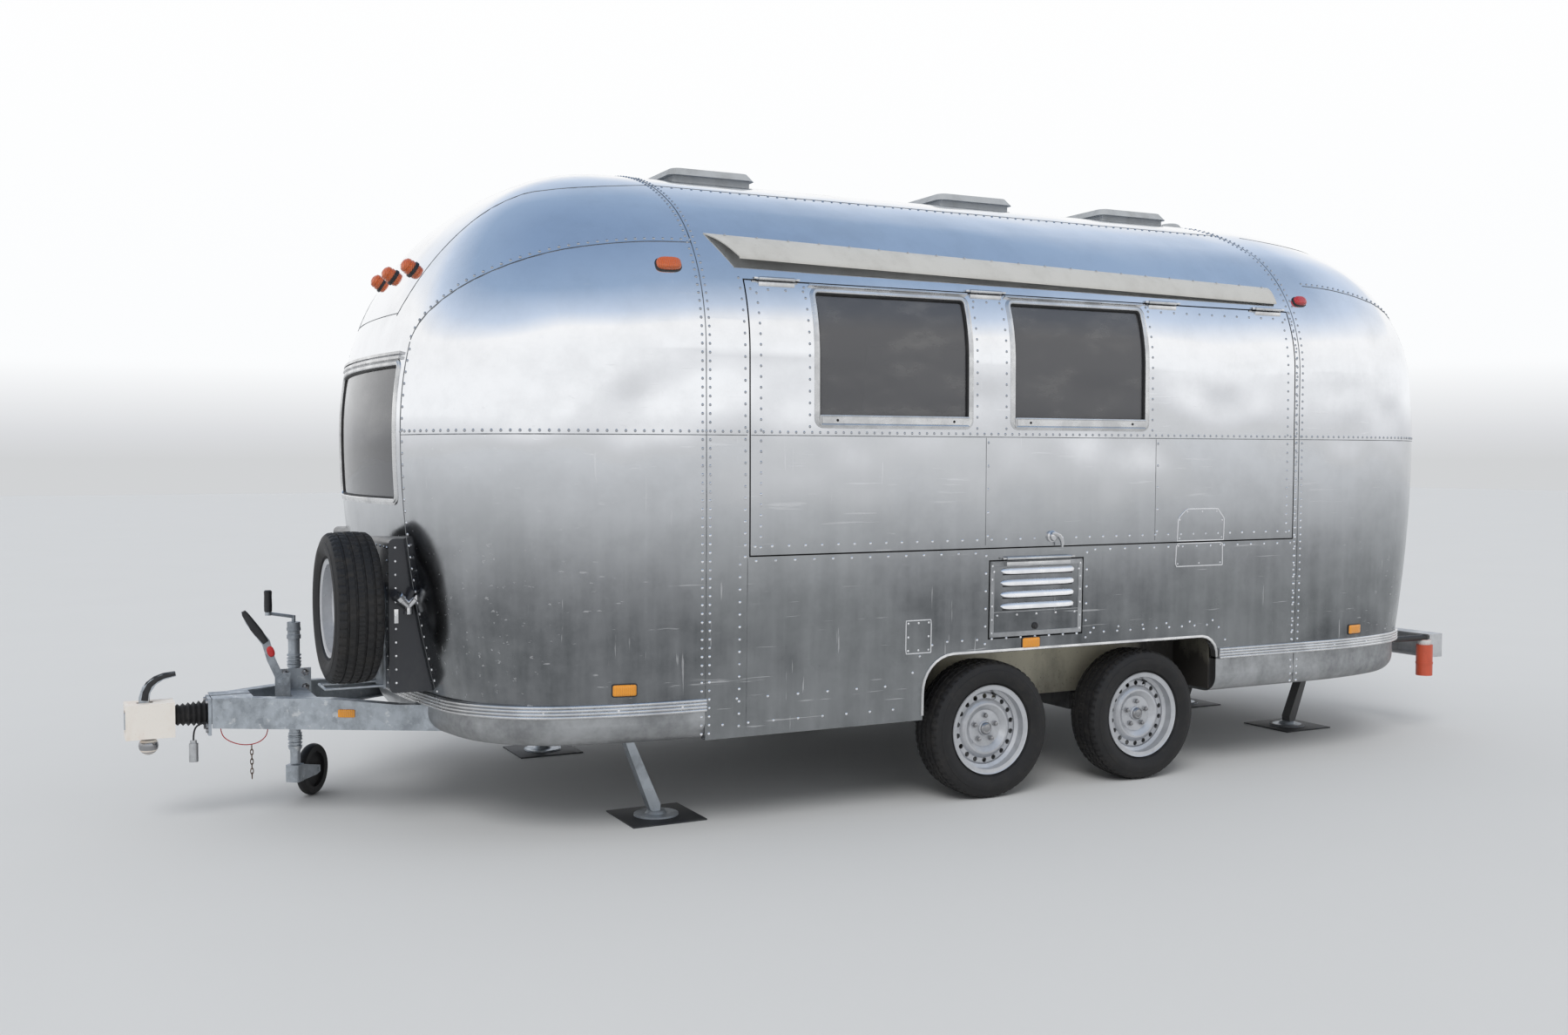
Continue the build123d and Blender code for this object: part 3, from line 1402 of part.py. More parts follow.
leg_angle = math.radians(steady_angle)
leg_outline = (
    # along the leg from its pivot, across it
    (-16, -16),
    (-16, 16),
    (steady_length - 34, 24),
    (steady_length - 8, 10),
    (steady_length - 8, -10),
    (steady_length - 34, -24),
)
for name, pivot_aft, way, leg_y in steady_places:
    pivot_x = aft(pivot_aft)
    foot_x = pivot_x + way * steady_length * math.cos(leg_angle)
    leg_origin = (pivot_x, leg_y - leg_half_width, steady_rail_low)
    with BuildPart() as steady:
        along = Vector(way * math.cos(leg_angle), 0, -math.sin(leg_angle))
        with BuildSketch(Plane(origin=leg_origin, x_dir=along, z_dir=(0, 1, 0))):
            with BuildLine():
                Polyline(*leg_outline, close=True)
            make_face()
        extrude(amount=2 * leg_half_width)
        pin_start = (pivot_x, leg_y - pin_reach, steady_rail_low)
        pin_end = (pivot_x, leg_y + pin_reach, steady_rail_low)
        add(rod(pin_start, pin_end, pin_radius + running_gap), mode=Mode.SUBTRACT)
        foot = (foot_x, leg_y, foot_height)
        add(rod((foot_x, leg_y, plate_thickness), foot, steady_disc))
        add(rod(foot, (foot_x, leg_y, foot_height + foot_boss), foot_boss_radius))
        add(box_at((foot_x, leg_y, plate_thickness / 2), (plate_size, plate_size, plate_thickness)))
    keep(f"steady_{name}", steady.part)

print("all pieces written")
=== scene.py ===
"""Riveted aluminium travel caravan on tandem wheels, dressed over its frame."""

import collections
import itertools
import json
import math

import bmesh
import bpy
import numpy as np
from mathutils import Matrix, Vector

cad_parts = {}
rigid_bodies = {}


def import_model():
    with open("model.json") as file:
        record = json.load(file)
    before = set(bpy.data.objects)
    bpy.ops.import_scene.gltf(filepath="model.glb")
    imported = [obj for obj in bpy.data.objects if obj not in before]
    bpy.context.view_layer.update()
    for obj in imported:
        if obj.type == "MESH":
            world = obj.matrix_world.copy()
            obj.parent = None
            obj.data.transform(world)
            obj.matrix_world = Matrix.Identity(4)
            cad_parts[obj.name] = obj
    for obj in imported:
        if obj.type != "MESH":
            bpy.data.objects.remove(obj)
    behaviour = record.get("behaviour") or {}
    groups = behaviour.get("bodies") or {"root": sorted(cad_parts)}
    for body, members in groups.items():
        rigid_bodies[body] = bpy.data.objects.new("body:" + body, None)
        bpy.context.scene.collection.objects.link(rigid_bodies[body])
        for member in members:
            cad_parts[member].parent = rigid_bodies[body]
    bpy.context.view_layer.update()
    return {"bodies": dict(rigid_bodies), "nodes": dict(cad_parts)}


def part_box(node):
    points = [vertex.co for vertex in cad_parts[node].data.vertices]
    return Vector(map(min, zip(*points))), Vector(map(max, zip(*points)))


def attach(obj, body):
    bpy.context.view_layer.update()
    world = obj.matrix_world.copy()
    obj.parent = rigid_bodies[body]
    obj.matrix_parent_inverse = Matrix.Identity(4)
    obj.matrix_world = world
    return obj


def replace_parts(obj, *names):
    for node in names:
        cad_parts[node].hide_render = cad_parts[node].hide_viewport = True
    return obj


bl_info = {
    "name": "Riveted travel caravan",
    "version": (1, 0, 0),
    "blender": (4, 5, 0),
    "location": "View3D > Sidebar > Caravan",
    "description": "Dresses a caravan's frame with sheet, rivets, glass, wheels and running gear",
    "category": "Object",
}

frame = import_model()

# The body's form, in metres, the same as in the frame
FRONT_SEAM = 1.235
REAR_SEAM = -1.885
REAR_BEND = -2.045
BELT = 1.565
BODY_LOW = 0.375
BODY_TOP = 2.735
HALF_WIDTH = 1.170
SHOULDER_RADIUS = 0.720
ROOF_RADIUS = 1.600
SIDE_TUCK = 0.020
END_REACH = 1.125
END_TUCK = 0.155
END_POWER = 2.15
PLAN_BULGE = 2.4
CORNER_SHARE = 0.55
RAIL_LOW = 0.490
REAR_RAIL_LOW = 0.535
RAIL_HEIGHT = 0.052
ROOF_SEAM = 2.400
SHOULDER_Y = HALF_WIDTH - SHOULDER_RADIUS
ROOF_CENTRE = BODY_TOP - ROOF_RADIUS
SHOULDER_Z = ROOF_CENTRE + math.sqrt((ROOF_RADIUS - SHOULDER_RADIUS) ** 2 - SHOULDER_Y**2)
SHOULDER_END = ROOF_CENTRE + (SHOULDER_Z - ROOF_CENTRE) * ROOF_RADIUS / (ROOF_RADIUS - SHOULDER_RADIUS)
Plan = collections.namedtuple(
    "Plan", "side side_radius side_end corner corner_radius end_start end end_radius"
)

# Openings and doors of the walls: low and high place along, low and high height
HATCH = (-1.850, 1.045, 1.095, 2.182)
LOCKER = (-0.590, -0.095, 0.705, 1.035)
ENTRY = (0.425, 1.045, 0.500, 2.160)
ENTRY_PANE = (0.535, 0.935, 1.620, 2.040)
DOOR_GAP = 0.006
DOOR_CORNER = 0.090
PANE_CORNER = 0.060
WINDOW_SIZE = (0.753, 0.560)
WINDOW_LOW = 1.605
HATCH_WINDOWS = (0.380, -0.575)
RIGHT_WINDOWS = (-0.195, -1.155)
WINDOW_CORNER = 0.034

# Windows in the ends, by the way they face: half width, low and high height
END_WINDOWS = {1: (0.580, 1.300, 1.862), -1: (0.480, 1.430, 1.900)}
RAIL_LOWS = {1: RAIL_LOW, -1: REAR_RAIL_LOW}

# Wheel arch: rear and front edge, height, and the radii of its corners
ARCH = (-1.387, 0.235, 0.645)
ARCH_FRONT_CORNER = 0.150
ARCH_REAR_CORNER = 0.095
BELOW_BODY = 0.1
BEHIND_BODY = -2.5

# Sheets: thickness of a wall, steps of the grids and reach of the cutters
WALL = 0.038
WALL_STEP = 0.2
HEIGHT_STEP = 0.035
ROOF_STEP = 0.012
CROWN_STEP = 0.05
QUARTER_STEPS = 26
SIDE_CUT = (0.8, 1.6)
END_CUT = (1.4, 3.4)

# Hinges
PIN_RADIUS = 0.004
BARREL_RADIUS = 0.0075
LUG_HALF = 0.008
HINGE_OUT = 0.014
HINGE_HEIGHT = 2.192
HATCH_HINGES = (0.905, -0.097, -1.075, -1.725)
HATCH_HINGE_HALF = 0.080
LOCKER_HINGES = (-0.3425,)
LOCKER_HINGE_HALF = 0.170
LOCKER_HINGE_RISE = 0.012
ENTRY_HINGE = (1.048, -1.183)
ENTRY_HINGES = (0.700, 1.240, 1.780)

# Panes and the profiles swept round windows, doors and arches: distance outward and distance proud
PANE_INSET = 0.022
PANE_DEPTHS = (0.012, 0.018)
DRIP_DEPTHS = (-0.012, 0.001)
FRAME_PROFILE = (
    (-0.019, -0.016), (-0.019, 0.003), (-0.016, 0.0065), (-0.006, 0.0075), (-0.003, 0.005), (0.001, 0.0045),
    (0.005, 0.0025), (0.006, -0.001), (-0.001, -0.003), (-0.001, -0.020), (-0.010, -0.020),
)
GASKET_PROFILE = ((-0.0265, -0.014), (-0.0245, -0.004), (-0.019, -0.002), (-0.017, -0.014))
SILL_PROFILE = ((-0.016, 0.004), (-0.004, 0.0115), (0, 0.010), (0.001, 0.002))
PANE_TRIM_PROFILE = ((-0.020, -0.012), (-0.020, 0.004), (-0.010, 0.007), (0.010, 0.004), (0.012, 0))
DOOR_TRIM_PROFILE = ((-0.022, 0.0), (-0.020, 0.003), (-0.001, 0.003), (0.0, -0.002))
RIM_PROFILE = ((-0.022, 0.0), (-0.021, 0.0022), (-0.001, 0.0022), (0.0, -0.001))
LIP_PROFILE = (
    (-0.010, 0.0), (-0.009, 0.004), (0.001, 0.006), (0.004, 0.003), (0.004, -0.030), (0.001, -0.030),
    (0.0, -0.002),
)

# Seams: heights of the laps, widths of their edges and the places of the climbing seam at the front
BELT_LAP = BELT + 0.004
BELT_PITCH = 0.036
ROOF_LAP = 2.622
WIDE_LAP = 0.0045
NARROW_LAP = (0.003, 0.0008)
NOSE_HALF = 0.8
END_SEAMS = {1: 0.627, -1: 0.600}
CLIMB = (
    (2.249, 0.627, 1.938), (2.223, 0.665, 2.007), (2.129, 0.793, 2.108), (2.014, 0.892, 2.180),
    (1.857, 0.962, 2.243), (1.684, 1.000, 2.286), (1.443, 1.020, 2.319), (1.236, 1.024, 2.329),
)

# Straight rows of rivets: start, stop and pitch
WALL_ROWS = (
    ((1.16, 0.43), (0.38, 0.43), 0.115),
    ((1.10, 0.53), (0.42, 0.53), 0.13),
    ((1.09, 0.42), (1.09, 1.06), 0.05),
)
LEFT_ROWS = (
    ((1.068, 1.09), (1.068, 2.19), 0.046),
    ((1.02, 1.072), (-0.02, 1.072), 0.087),
    ((-0.66, 1.072), (-1.84, 1.072), 0.087),
    ((-1.87, 0.60), (-1.87, 2.18), 0.046),
    ((-0.075, 0.68), (-0.075, 1.06), 0.075),
    ((-0.615, 0.68), (-0.615, 1.06), 0.075),
    ((-0.66, 0.72), (-1.36, 0.72), 0.14),
)
RIGHT_ROWS = (((1.068, 0.60), (1.068, 2.2), 0.046), ((0.402, 0.60), (0.402, 2.2), 0.046))

# Patches: corners, edge as width, height and pitch, and rivets
HATCH_PATCH = (
    (-1.412, 1.098), (-1.130, 1.098), (-1.137, 1.203), (-1.185, 1.245), (-1.373, 1.245), (-1.414, 1.198),
)
WALL_PATCHES = (
    ((-1.408, 0.980), (-1.123, 0.980), (-1.128, 1.086), (-1.406, 1.086)),
    ((0.201, 0.661), (0.325, 0.661), (0.325, 0.800), (0.201, 0.800)),
)
PATCH_EDGE = (0.006, 0.0030, 0.02)
PATCH_RIVET = 0.0055
RIVET_SIDES = 8
HATCH_PATCH_RIVETS = (
    (-1.145, 1.195), (-1.190, 1.232), (-1.28, 1.232), (-1.368, 1.232), (-1.402, 1.19), (-1.40, 1.11),
    (-1.145, 1.11),
)
WALL_PATCH_RIVETS = ((-1.395, 0.992), (-1.265, 0.992), (-1.137, 0.992), (-1.395, 1.075), (-1.14, 1.075))
SQUARE_PATCH_RIVETS = (
    (0.213, 0.673), (0.213, 0.730), (0.213, 0.788), (0.263, 0.673), (0.263, 0.788), (0.313, 0.673),
    (0.313, 0.730), (0.313, 0.788),
)

# Latch: its bow as place along, height and distance proud; entry handle as height and distance proud
LATCH_BOW = (
    (-0.405, 1.150, 0.022), (-0.420, 1.148, 0.027), (-0.437, 1.140, 0.030), (-0.448, 1.124, 0.031),
    (-0.454, 1.106, 0.030), (-0.455, 1.090, 0.027),
)
LATCH_RADII = (0.007, 0.011, 0.012, 0.011, 0.009, 0.005)
HANDLE_BAR = ((1.135, 0.006), (1.142, 0.022), (1.180, 0.024), (1.218, 0.022), (1.225, 0.006))

# Louvres of the locker door
LOUVRE_MIDDLE = 0.916
LOUVRE_PITCH = 0.051
LOUVRE_CENTRE = -0.3475
LOUVRE_HALF = 0.198
LOUVRE_DROP = 0.013
LOUVRE_TALL = 0.028
LOUVRE_SEAT = 0.0004

# Hood: heights of its root and its lip at the front and the rear, and how far its front corner is cut back
HOOD_FRONT = 1.167
HOOD_REAR = -1.795
HOOD_ROOT = (2.372, 2.302)
HOOD_LIP = (2.267, 2.221)
HOOD_EDGE = 1.102
HOOD_CUT = 0.106
HOOD_BOW = 0.012

# Lamps: shares of a lens's depth with its size there, and how far a base shows round its lens
LENS_STEPS = ((0.45, 1.0), (0.75, 0.93), (0.93, 0.78), (1.0, 0.5), (1.02, 0.12))
BASE_RIM = 0.004
DRAWBAR_END = (2.935, 0.062, 0.451)

# Wheels
HUBS = (-0.129, -0.971)
HALF_TRACK = 1.055
TYRE_RADIUS = 0.300
TREAD_HALF = 0.070
TREAD_STEPS = 216
TREAD_START = 0.1
GROOVES = (-0.050, -0.017, 0.017, 0.050)
TYRE_FLANK = (
    (-0.068, 0.1783), (-0.068, 0.197), (-0.075, 0.204), (-0.080, 0.206), (-0.084, 0.214), (-0.088, 0.222),
    (-0.0935, 0.236), (-0.0945, 0.247), (-0.0925, 0.262), (-0.0905, 0.2635), (-0.0895, 0.266),
    (-0.086, 0.278), (-0.082, 0.2865),
)
TYRE_SHOULDER = (-0.078, 0.2900)
BOLT_CIRCLE = 0.056
SPARE_CENTRE = (2.465, 0.450, 0.890)

# Profiles of turned parts: distance along the axis and radius
LATCH_BASE = ((0, 0.026), (0.010, 0.026), (0.014, 0.020), (0.024, 0.018), (0.028, 0.012))
LOCK_FACE = ((0, 0.015), (0.006, 0.015), (0.009, 0.012), (0.009, 0.010), (0.012, 0.009))
CROWN_BASE = ((0, 0.036), (0.014, 0.036), (0.016, 0.033))
CROWN_DOME = (
    (0, 0.031), (0.016, 0.032), (0.018, 0.029), (0.022, 0.029), (0.024, 0.031), (0.036, 0.027),
    (0.045, 0.014), (0.047, 0.002),
)
TAIL_BASE = ((0, 0.040), (0.014, 0.040), (0.018, 0.037))
TAIL_DOME = ((0, 0.036), (0.010, 0.036), (0.018, 0.030), (0.022, 0.018), (0.023, 0.002))
HUB_CAP = (
    (0, 0.027), (0.006, 0.027), (0.010, 0.024), (0.012, 0.020), (0.011, 0.017), (0.012, 0.014),
    (0.013, 0.004),
)
WHEEL_BOLT = ((0, 0.0125), (0.003, 0.0125), (0.003, 0.0085), (0.011, 0.0085), (0.012, 0.006))
GEAR_BOLT = ((0, 0.017), (0.003, 0.017), (0.003, 0.0115), (0.012, 0.0115), (0.014, 0.008))
FLANGE_BOLT = ((0, 0.012), (0.002, 0.012), (0.002, 0.009), (0.009, 0.009))
HEAD_BOLT = ((0, 0.009), (0.007, 0.009))
JOCKEY_RING = ((0, 0.0245), (0.002, 0.0300), (0.006, 0.0300), (0.008, 0.0245))
JOCKEY_COLLAR = (
    (0, 0.0245), (0.001, 0.0290), (0.018, 0.0290), (0.020, 0.0255), (0.034, 0.0255), (0.036, 0.0290),
    (0.048, 0.0290),
)
CRANK_GRIP = ((0, 0.013), (0.004, 0.016), (0.030, 0.0165), (0.070, 0.0155), (0.088, 0.0165), (0.093, 0.012))
LOCK_BALL = (
    (-0.0372, 0.006), (-0.034, 0.016), (-0.026, 0.027), (-0.012, 0.036), (0, 0.0378), (0.012, 0.036),
    (0.026, 0.027), (0.034, 0.016), (0.0378, 0.004),
)
FITTING_STEM = ((0, 0.013), (0.003, 0.0175), (0.034, 0.0175), (0.046, 0.014))
FITTING_BARREL = (
    (0, 0.0145), (0.040, 0.0165), (0.044, 0.0205), (0.064, 0.0205), (0.066, 0.016), (0.062, 0.003),
)
WASTE_CAP = ((0, 0.0330), (0.004, 0.0345), (0.022, 0.0345), (0.0268, 0.031), (0.0274, 0.018))
WASTE_NECK = ((0, 0.0180), (0.020, 0.0178), (0.0300, 0.0165), (0.0310, 0.010))
FOOT_DISC = (
    (0, 0.0925), (0.003, 0.093), (0.007, 0.090), (0.0085, 0.070), (0.009, 0.045), (0.0205, 0.037),
    (0.0225, 0.034),
)

# Hitch: the jockey wheel's tube, the lever's and the coupling's grips as paths with half heights, and the box
JOCKEY_PLACE = (2.580, -0.170)
JOCKEY_RINGS = (0.590, 0.604, 0.618, 0.632, 0.239, 0.253, 0.267, 0.281)
LEVER_BASE = Vector((2.655, 0.0343, 0.560))
LEVER_RUN = ((0.066, 0.160), (0.094, 0.200), (0.111, 0.224), (0.129, 0.252), (0.146, 0.280), (0.152, 0.292))
LEVER_HALVES = (0.014, 0.0180, 0.0180, 0.0160, 0.0125, 0.008)
COUPLING_RUN = (
    (3.183, 0.508), (3.178, 0.540), (3.163, 0.570), (3.138, 0.590), (3.108, 0.602), (3.066, 0.609),
)
COUPLING_HALVES = (0.0195, 0.0180, 0.0165, 0.0145, 0.0125, 0.0095)
BOX_FACE = 2.336
BOX_RIVET = 0.006
WASTE_PLACE = (-3.118, 0.890)

# Cords, from their exits to their far ends
SUPPLY_ROUTE = ((2.949, 0.052, 0.408), (2.981, 0.052, 0.408), (3.006, 0.052, 0.383), (3.006, 0.052, 0.342))
BREAKAWAY_ROUTE = (
    (2.903, 0.058, 0.384), (2.901, 0.058, 0.362), (2.889, 0.062, 0.341), (2.866, 0.070, 0.325),
    (2.834, 0.084, 0.314), (2.800, 0.099, 0.312), (2.768, 0.114, 0.320), (2.745, 0.125, 0.337),
    (2.732, 0.132, 0.359), (2.730, 0.134, 0.384),
)

# Steadies
FRONT_PIVOT = 1.422
REAR_PIVOT = -2.732
STEADY_LEG = 0.352
STEADY_LEAN = math.radians(68)

# Stage: floor, sky as the camera and reflections see it by height, light, and camera
FLOOR_HALF = 60
SKY_STOPS = (
    (0.0, 0.64, 0.65, 0.66),
    (0.015, 0.70, 0.71, 0.73),
    (0.06, 0.97, 0.98, 0.99),
    (0.34, 1.0, 1.0, 1.0),
    (0.52, 0.61, 0.70, 0.84),
    (0.75, 0.32, 0.43, 0.60),
    (0.98, 0.24, 0.34, 0.51),
)
SKY_LIGHT = (0.92, 0.95, 1.0)
SUN_ANGLE = math.radians(30)
SUN_PLACE = (6.5, 8.5, 7.5)
SUN_WAY = (-0.42, -0.55, -0.72)
SENSOR_WIDTH = 36.0
IMAGE_WIDTH = 1800
CAMERA_PLACE = (3.54, 6.398, 1.475)
CAMERA_WAY = (-0.4509, -0.8926)
CAMERA_DIP = math.radians(2.27)

# Finishes of the nodes whose own shape is shown
NODE_FINISHES = {
    "belly": ("belly_pan",),
    "trim": ("front_rub_rail", "rear_rub_rail"),
    "housing": ("wheel_housings",),
    "vents": ("vent_bases", "vent_lid_front", "vent_lid_middle", "vent_lid_rear"),
    "chassis": ("axles", "steady_rails", "steady_rear_left", "steady_rear_right"),
    "zinc": (
        "drawbar", "overrun_gear", "coupling_head", "jockey_outer_tube", "jockey_inner_tube", "jockey_fork",
        "spare_carrier", "brake_lever", "steady_front_left", "steady_front_right",
    ),
    "lock": ("coupling_lock",),
    "bellows": ("bellows",),
    "tyre": ("jockey_wheel",),
    "box": ("front_box",),
    "bumper": ("rear_bumper",),
    "waste": ("waste_pipe",),
    "plug": ("supply_plug",),
}


def body(name):
    """A body of the frame, checked by name."""
    if name not in frame["bodies"]:
        raise RuntimeError(f"the frame has no body {name}")
    return name


def half_width_at(z):
    """Half width of the skin along the straight middle of the caravan."""
    if z <= BELT:
        return HALF_WIDTH - SIDE_TUCK * ((BELT - z) / (BELT - BODY_LOW)) ** 2
    if z <= SHOULDER_Z:
        return HALF_WIDTH
    if z <= SHOULDER_END:
        return SHOULDER_Y + math.sqrt(SHOULDER_RADIUS**2 - (z - SHOULDER_Z) ** 2)
    return math.sqrt(max(ROOF_RADIUS**2 - (z - ROOF_CENTRE) ** 2, 0))


def reach_at(z):
    """How far a rounded end stands out beyond the straight part."""
    if z <= BELT:
        return END_REACH - END_TUCK * ((BELT - z) / (BELT - RAIL_LOW)) ** 2
    rise = min((z - BELT) / (BODY_TOP - BELT), 1)
    return END_REACH * (1 - rise**END_POWER) ** (1 / END_POWER)


def seam_x(way):
    """Where a rounded end starts."""
    return FRONT_SEAM if way > 0 else REAR_BEND


def plan_arcs(reach, half_width):
    """Centres and radii of the side, corner and end arcs of a quarter of the plan, and their meetings."""
    side_radius = PLAN_BULGE * reach**2 / half_width
    end_radius = PLAN_BULGE * half_width**2 / reach
    corner_radius = CORNER_SHARE * min(reach, half_width)
    side = Vector((0, half_width - side_radius))
    end = Vector((reach - end_radius, 0))
    to_side = side_radius - corner_radius
    to_end = end_radius - corner_radius
    line = end - side
    apart = line.length
    line.normalize()
    along = (to_side**2 - to_end**2 + apart**2) / (2 * apart)
    across = math.sqrt(max(to_side**2 - along**2, 0))
    corner = side + line * along + Vector((line.y, -line.x)) * across
    side_end = side + (corner - side).normalized() * side_radius
    end_start = end + (corner - end).normalized() * end_radius
    return Plan(side, side_radius, side_end, corner, corner_radius, end_start, end, end_radius)


def plan_points(z, count):
    """Points of a quarter of the plan at one height, evenly spaced from the side to the nose."""
    half_width = half_width_at(z)
    reach = reach_at(z)
    if half_width < 0.003 or reach < 0.003:
        return [Vector((0, 0))] * (count + 1)
    plan = plan_arcs(reach, half_width)
    arcs = []
    for centre, radius, start, stop in (
        (plan.side, plan.side_radius, Vector((0, half_width)), plan.side_end),
        (plan.corner, plan.corner_radius, plan.side_end, plan.end_start),
        (plan.end, plan.end_radius, plan.end_start, Vector((reach, 0))),
    ):
        first = math.atan2(start.y - centre.y, start.x - centre.x)
        last = math.atan2(stop.y - centre.y, stop.x - centre.x)
        arcs.append((centre, radius, first, last, abs(first - last) * radius))
    total = sum(arc[4] for arc in arcs)
    points = []
    for index in range(count + 1):
        left = total * index / count
        for centre, radius, first, last, length in arcs:
            if left <= length + 1e-9:
                angle = first + (last - first) * left / length
                points.append(centre + radius * Vector((math.cos(angle), math.sin(angle))))
                break
            left -= length
        else:
            points.append(Vector((reach, 0)))
    return points


def end_offset(y, z):
    """Distance of the skin beyond the straight part, at one place across and one height."""
    plan = plan_arcs(reach_at(z), half_width_at(z))
    y = abs(y)
    if y <= plan.end_start.y:
        return plan.end.x + math.sqrt(plan.end_radius**2 - y**2)
    if y <= plan.side_end.y:
        return plan.corner.x + math.sqrt(max(plan.corner_radius**2 - (y - plan.corner.y) ** 2, 0))
    return math.sqrt(max(plan.side_radius**2 - (y - plan.side.y) ** 2, 0))


def side_offset(x, z):
    """Distance of the skin from the middle plane, at one place along and one height."""
    if REAR_BEND <= x <= FRONT_SEAM:
        return half_width_at(z)
    beyond = max(x - FRONT_SEAM, REAR_BEND - x)
    plan = plan_arcs(reach_at(z), half_width_at(z))
    if beyond <= plan.side_end.x:
        return plan.side.y + math.sqrt(plan.side_radius**2 - beyond**2)
    if beyond <= plan.end_start.x:
        return plan.corner.y + math.sqrt(max(plan.corner_radius**2 - (beyond - plan.corner.x) ** 2, 0))
    return math.sqrt(max(plan.end_radius**2 - (beyond - plan.end.x) ** 2, 0))


def outside_by(x, y, z):
    """Distance of a point outside the skin, measured in its own level plane."""
    y = abs(y)
    if z >= BODY_TOP - 1e-5:
        return math.hypot(max(x - FRONT_SEAM, REAR_BEND - x, 0), y)
    if REAR_BEND <= x <= FRONT_SEAM:
        return y - half_width_at(z)
    beyond = max(x - FRONT_SEAM, REAR_BEND - x)
    reach = reach_at(z)
    half_width = half_width_at(z)
    if reach < 0.01 or half_width < 0.01:
        return math.hypot(beyond, y) - half_width
    plan = plan_arcs(reach, half_width)
    side, corner, end = plan.side, plan.corner, plan.end
    point = Vector((beyond, y))
    corner_angle = math.atan2(y - corner.y, beyond - corner.x)
    if corner_angle >= math.atan2(corner.y - side.y, corner.x - side.x):
        return (point - side).length - plan.side_radius
    if corner_angle <= math.atan2(corner.y - end.y, corner.x - end.x):
        return (point - end).length - plan.end_radius
    return (point - corner).length - plan.corner_radius


def normal_at(point):
    """Outward normal of the skin next to a point."""
    x, y, z = point
    if REAR_BEND - 1e-6 <= x <= FRONT_SEAM + 1e-6 or z > BODY_TOP - 0.004:
        if z > SHOULDER_END:
            return Vector((0, y, z - ROOF_CENTRE)).normalized()
        if z > SHOULDER_Z:
            return Vector((0, y - math.copysign(SHOULDER_Y, y), z - SHOULDER_Z)).normalized()
        if z > BELT:
            return Vector((0, math.copysign(1, y), 0))
        lean = -2 * SIDE_TUCK * (BELT - z) / (BELT - BODY_LOW) ** 2
        return Vector((0, math.copysign(1, y), lean)).normalized()
    step = 0.0008
    slope = Vector(
        (
            outside_by(x + step, y, z) - outside_by(x - step, y, z),
            outside_by(x, y + step, z) - outside_by(x, y - step, z),
            outside_by(x, y, min(z + step, BODY_TOP)) - outside_by(x, y, z - step),
        )
    )
    return slope.normalized()


def wall_point(side):
    """The skin of one side as a place along and a height."""
    return lambda x, z: Vector((x, side * side_offset(x, z), z))


def end_point(way):
    """The skin of one end as a place across and a height."""
    return lambda y, z: Vector((seam_x(way) + way * end_offset(y, z), y, z))


# Shader building


def colour(rgb):
    """A colour with its alpha."""
    return (*rgb, 1.0)


def set_stops(ramp, stops):
    """Places a ramp's stops, each a position with its colour."""
    while len(ramp.elements) < len(stops):
        ramp.elements.new(0.5)
    for element, (place, *tone) in zip(ramp.elements, stops):
        element.position = place
        element.color = colour(tone)


def add_node(tree, kind, settings, inputs, output=0):
    """Adds a node, sets it up, feeds its sockets and gives one output."""
    node = tree.nodes.new(kind)
    for key, value in settings.items():
        if key == "stops":
            set_stops(node.color_ramp, value)
        else:
            setattr(node, key, value)
    for key, value in inputs.items():
        if isinstance(value, Value):
            tree.links.new(value.socket, node.inputs[key])
        else:
            node.inputs[key].default_value = value
    return Value(tree, node.outputs[output]) if node.outputs else None


class Value:
    """A shader socket that takes part in plain arithmetic."""

    def __init__(self, tree, socket):
        self.tree = tree
        self.socket = socket

    def combine(self, operation, *terms):
        """Adds one Math node."""
        return add_node(self.tree, "ShaderNodeMath", {"operation": operation}, dict(enumerate(terms)))

    def __add__(self, other):
        return self.combine("ADD", self, other)

    def __sub__(self, other):
        return self.combine("SUBTRACT", self, other)

    def __rsub__(self, other):
        return self.combine("SUBTRACT", other, self)

    def __mul__(self, other):
        return self.combine("MULTIPLY", self, other)

    __radd__ = __add__
    __rmul__ = __mul__


